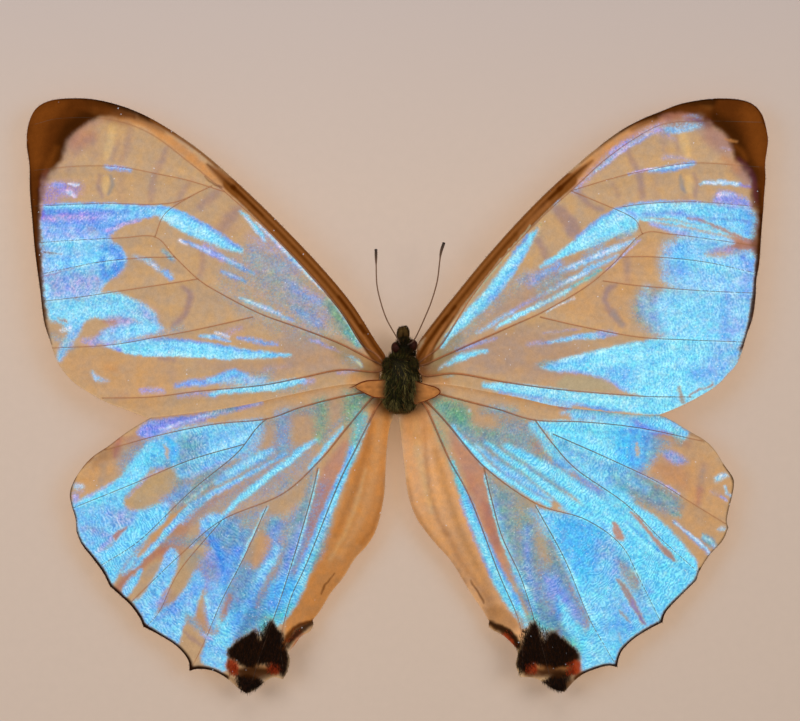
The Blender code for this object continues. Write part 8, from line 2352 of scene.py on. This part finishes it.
def card_material():
    """Smooth card with a faint grain, and painted uneven light: a little cooler and darker at its far end,
    darker to the right and towards the bottom.
    """
    shader = Shader("pale_card")
    cloud = shader.noise(9.0)
    grain = shader.noise(900.0)
    colour = shader.mix(cloud, CARD_COOL, CARD_WARM)
    colour = shader.vary(colour, shader.spread(grain, 0.975, 1.025))
    # Painted uneven light: darker at the far end, to the right and towards the bottom
    x, y, _ = shader.add("ShaderNodeSeparateXYZ", Vector=shader.place).outputs
    beyond = shader.add("ShaderNodeMapRange", Value=y, **CARD_FAR_SHADE_RAMP)
    colour = shader.mix(beyond.outputs[0], colour, CARD_FAR_SHADE)
    aside = shader.add("ShaderNodeMapRange", Value=x, **CARD_SIDE_SHADE_RAMP)
    below = shader.add("ShaderNodeMapRange", Value=y, **CARD_LOW_SHADE_RAMP)
    colour = shader.vary(shader.vary(colour, aside.outputs[0]), below.outputs[0])
    surface = shader.add("ShaderNodeBsdfPrincipled", Base_Color=colour, Specular_IOR_Level=0.15,
                         Roughness=shader.spread(grain, 0.80, 0.92),
                         Normal=shader.bump(grain, 0.12, 0.00006))
    return shader.finish(surface.outputs[0])


# ------------------------------------------------------------ floor, light and camera

def add_floor(material):
    """The plain card, which is only the stage."""
    corners = [(-FLOOR_REACH, -FLOOR_REACH, 0), (FLOOR_REACH, -FLOOR_REACH, 0),
               (FLOOR_REACH, FLOOR_REACH, 0), (-FLOOR_REACH, FLOOR_REACH, 0)]
    floor = add_piece("card_floor", np.array(corners), np.array([(0, 1, 2), (0, 2, 3)]), material)


def add_light(name, place, size, watts, colour):
    """A round soft light that points at the specimen."""
    lamp = bpy.data.lights.new(name, "AREA")
    lamp.shape = "DISK"
    lamp.size = size
    lamp.energy = watts
    lamp.color = colour
    item = bpy.data.objects.new(name, lamp)
    item.location = place
    aim = Vector(AIM) - Vector(place)
    item.rotation_euler = aim.to_track_quat("-Z", "Y").to_euler()
    bpy.context.scene.collection.objects.link(item)


def add_world():
    """Even light from all around."""
    world = bpy.data.worlds.new("soft_room")
    world.use_nodes = True
    world.node_tree.nodes["Background"].inputs["Color"].default_value = WORLD_COLOUR
    world.node_tree.nodes["Background"].inputs["Strength"].default_value = WORLD_STRENGTH
    bpy.context.scene.world = world


def add_camera():
    """Straight above, so that the card's pixels match the photograph's."""
    lens = bpy.data.cameras.new("camera")
    lens.sensor_width = 36.0
    lens.sensor_fit = "HORIZONTAL"
    lens.lens = lens.sensor_width * CAMERA_HEIGHT / (VIEW_PIXELS[0] * PIXEL)
    lens.clip_start = 0.01
    camera = bpy.data.objects.new("camera", lens)
    x, y = flat([(VIEW_PIXELS[0] / 2, VIEW_PIXELS[1] / 2)])[0]
    camera.location = (x, y, CAMERA_HEIGHT + SHARP_HEIGHT)
    bpy.context.scene.collection.objects.link(camera)
    bpy.context.scene.camera = camera


def dress(pieces, slot, *nodes):
    """The pieces ride on the body and stand for the nodes, if any are named."""
    for piece in pieces:
        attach(piece, "root")
        if nodes:
            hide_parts(*nodes)


def build():
    """All pieces, in the order in which they draw from the one seeded source of chance."""
    random = np.random.default_rng(SEED)
    wing_surface = wing_material()
    vein = tinted_material("vein", roughness=0.5, grain=2400, bump=0.25, specular=0.12)
    fringe = tinted_material("fringe_scales", roughness=0.6, grain=3000, bump=0.1, specular=0.06)
    skin = tinted_material("body_skin", roughness=0.6, grain=1800, bump=0.4, specular=0.08)
    coat = tinted_material("body_hair", roughness=0.55, grain=2600, bump=0.1, specular=0.07)
    horn = tinted_material("horn", roughness=0.42, grain=3200, bump=0.3, specular=0.2)
    for name, wing in WINGS.items():
        side = -1 if name.startswith("left") else 1
        wing["rim"] = np.vstack([catmull_rom(run, COARSE_RIM_STEP)[:-1] for run in wing["outline"]])
        pieces = [add_wing(name + "_membrane", wing, wing_surface), add_veins(name + "_veins", wing, vein),
                  add_fringe(name + "_fringe", wing, wing["fringed"], random, fringe)]
        if wing["layer"] < 0:
            pieces.append(add_tufts(name + "_tufts", wing, side, random, coat))
        dress(pieces, "wing", name)
    dress(add_thorax(random, skin, coat), "thorax_fur", "thorax")
    dress(add_head(random, skin, coat), "head_fur", "head")
    eye = eye_material()
    for side, prefix in ((-1, "left"), (1, "right")):
        dress([add_eye(prefix + "_facets", side, eye)], "eye", prefix + "_eye")
        dress(add_palp(prefix + "_feeler", side, random, skin, coat), "palp_fur", prefix + "_palp")
        dress(add_wing_base(prefix, side, random, skin, coat), "thorax_fur")
        for leg_name, stations in LEG_PATHS.items():
            piece = add_leg(prefix + "_" + leg_name + "_joints", side, stations, random, horn)
            dress([piece], "leg", prefix + "_" + leg_name)
    dress([add_antenna("left_stalk", LEFT_ANTENNA, horn)], "antenna", "left_antenna")
    dress([add_antenna("right_stalk", RIGHT_ANTENNA, horn)], "antenna", "right_antenna")
    dress([add_proboscis(horn)], "antenna", "proboscis")


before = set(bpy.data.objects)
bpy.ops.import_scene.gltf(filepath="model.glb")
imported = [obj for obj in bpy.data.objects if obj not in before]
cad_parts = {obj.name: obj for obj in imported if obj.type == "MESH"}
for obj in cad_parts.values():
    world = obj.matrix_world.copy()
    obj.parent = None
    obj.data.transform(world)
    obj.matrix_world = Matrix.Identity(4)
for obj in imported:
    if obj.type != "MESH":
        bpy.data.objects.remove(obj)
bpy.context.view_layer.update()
build()
add_floor(card_material())
for light in LIGHTS:
    add_light(*light)
add_world()
bpy.context.scene.view_settings.view_transform = "Standard"
add_camera()
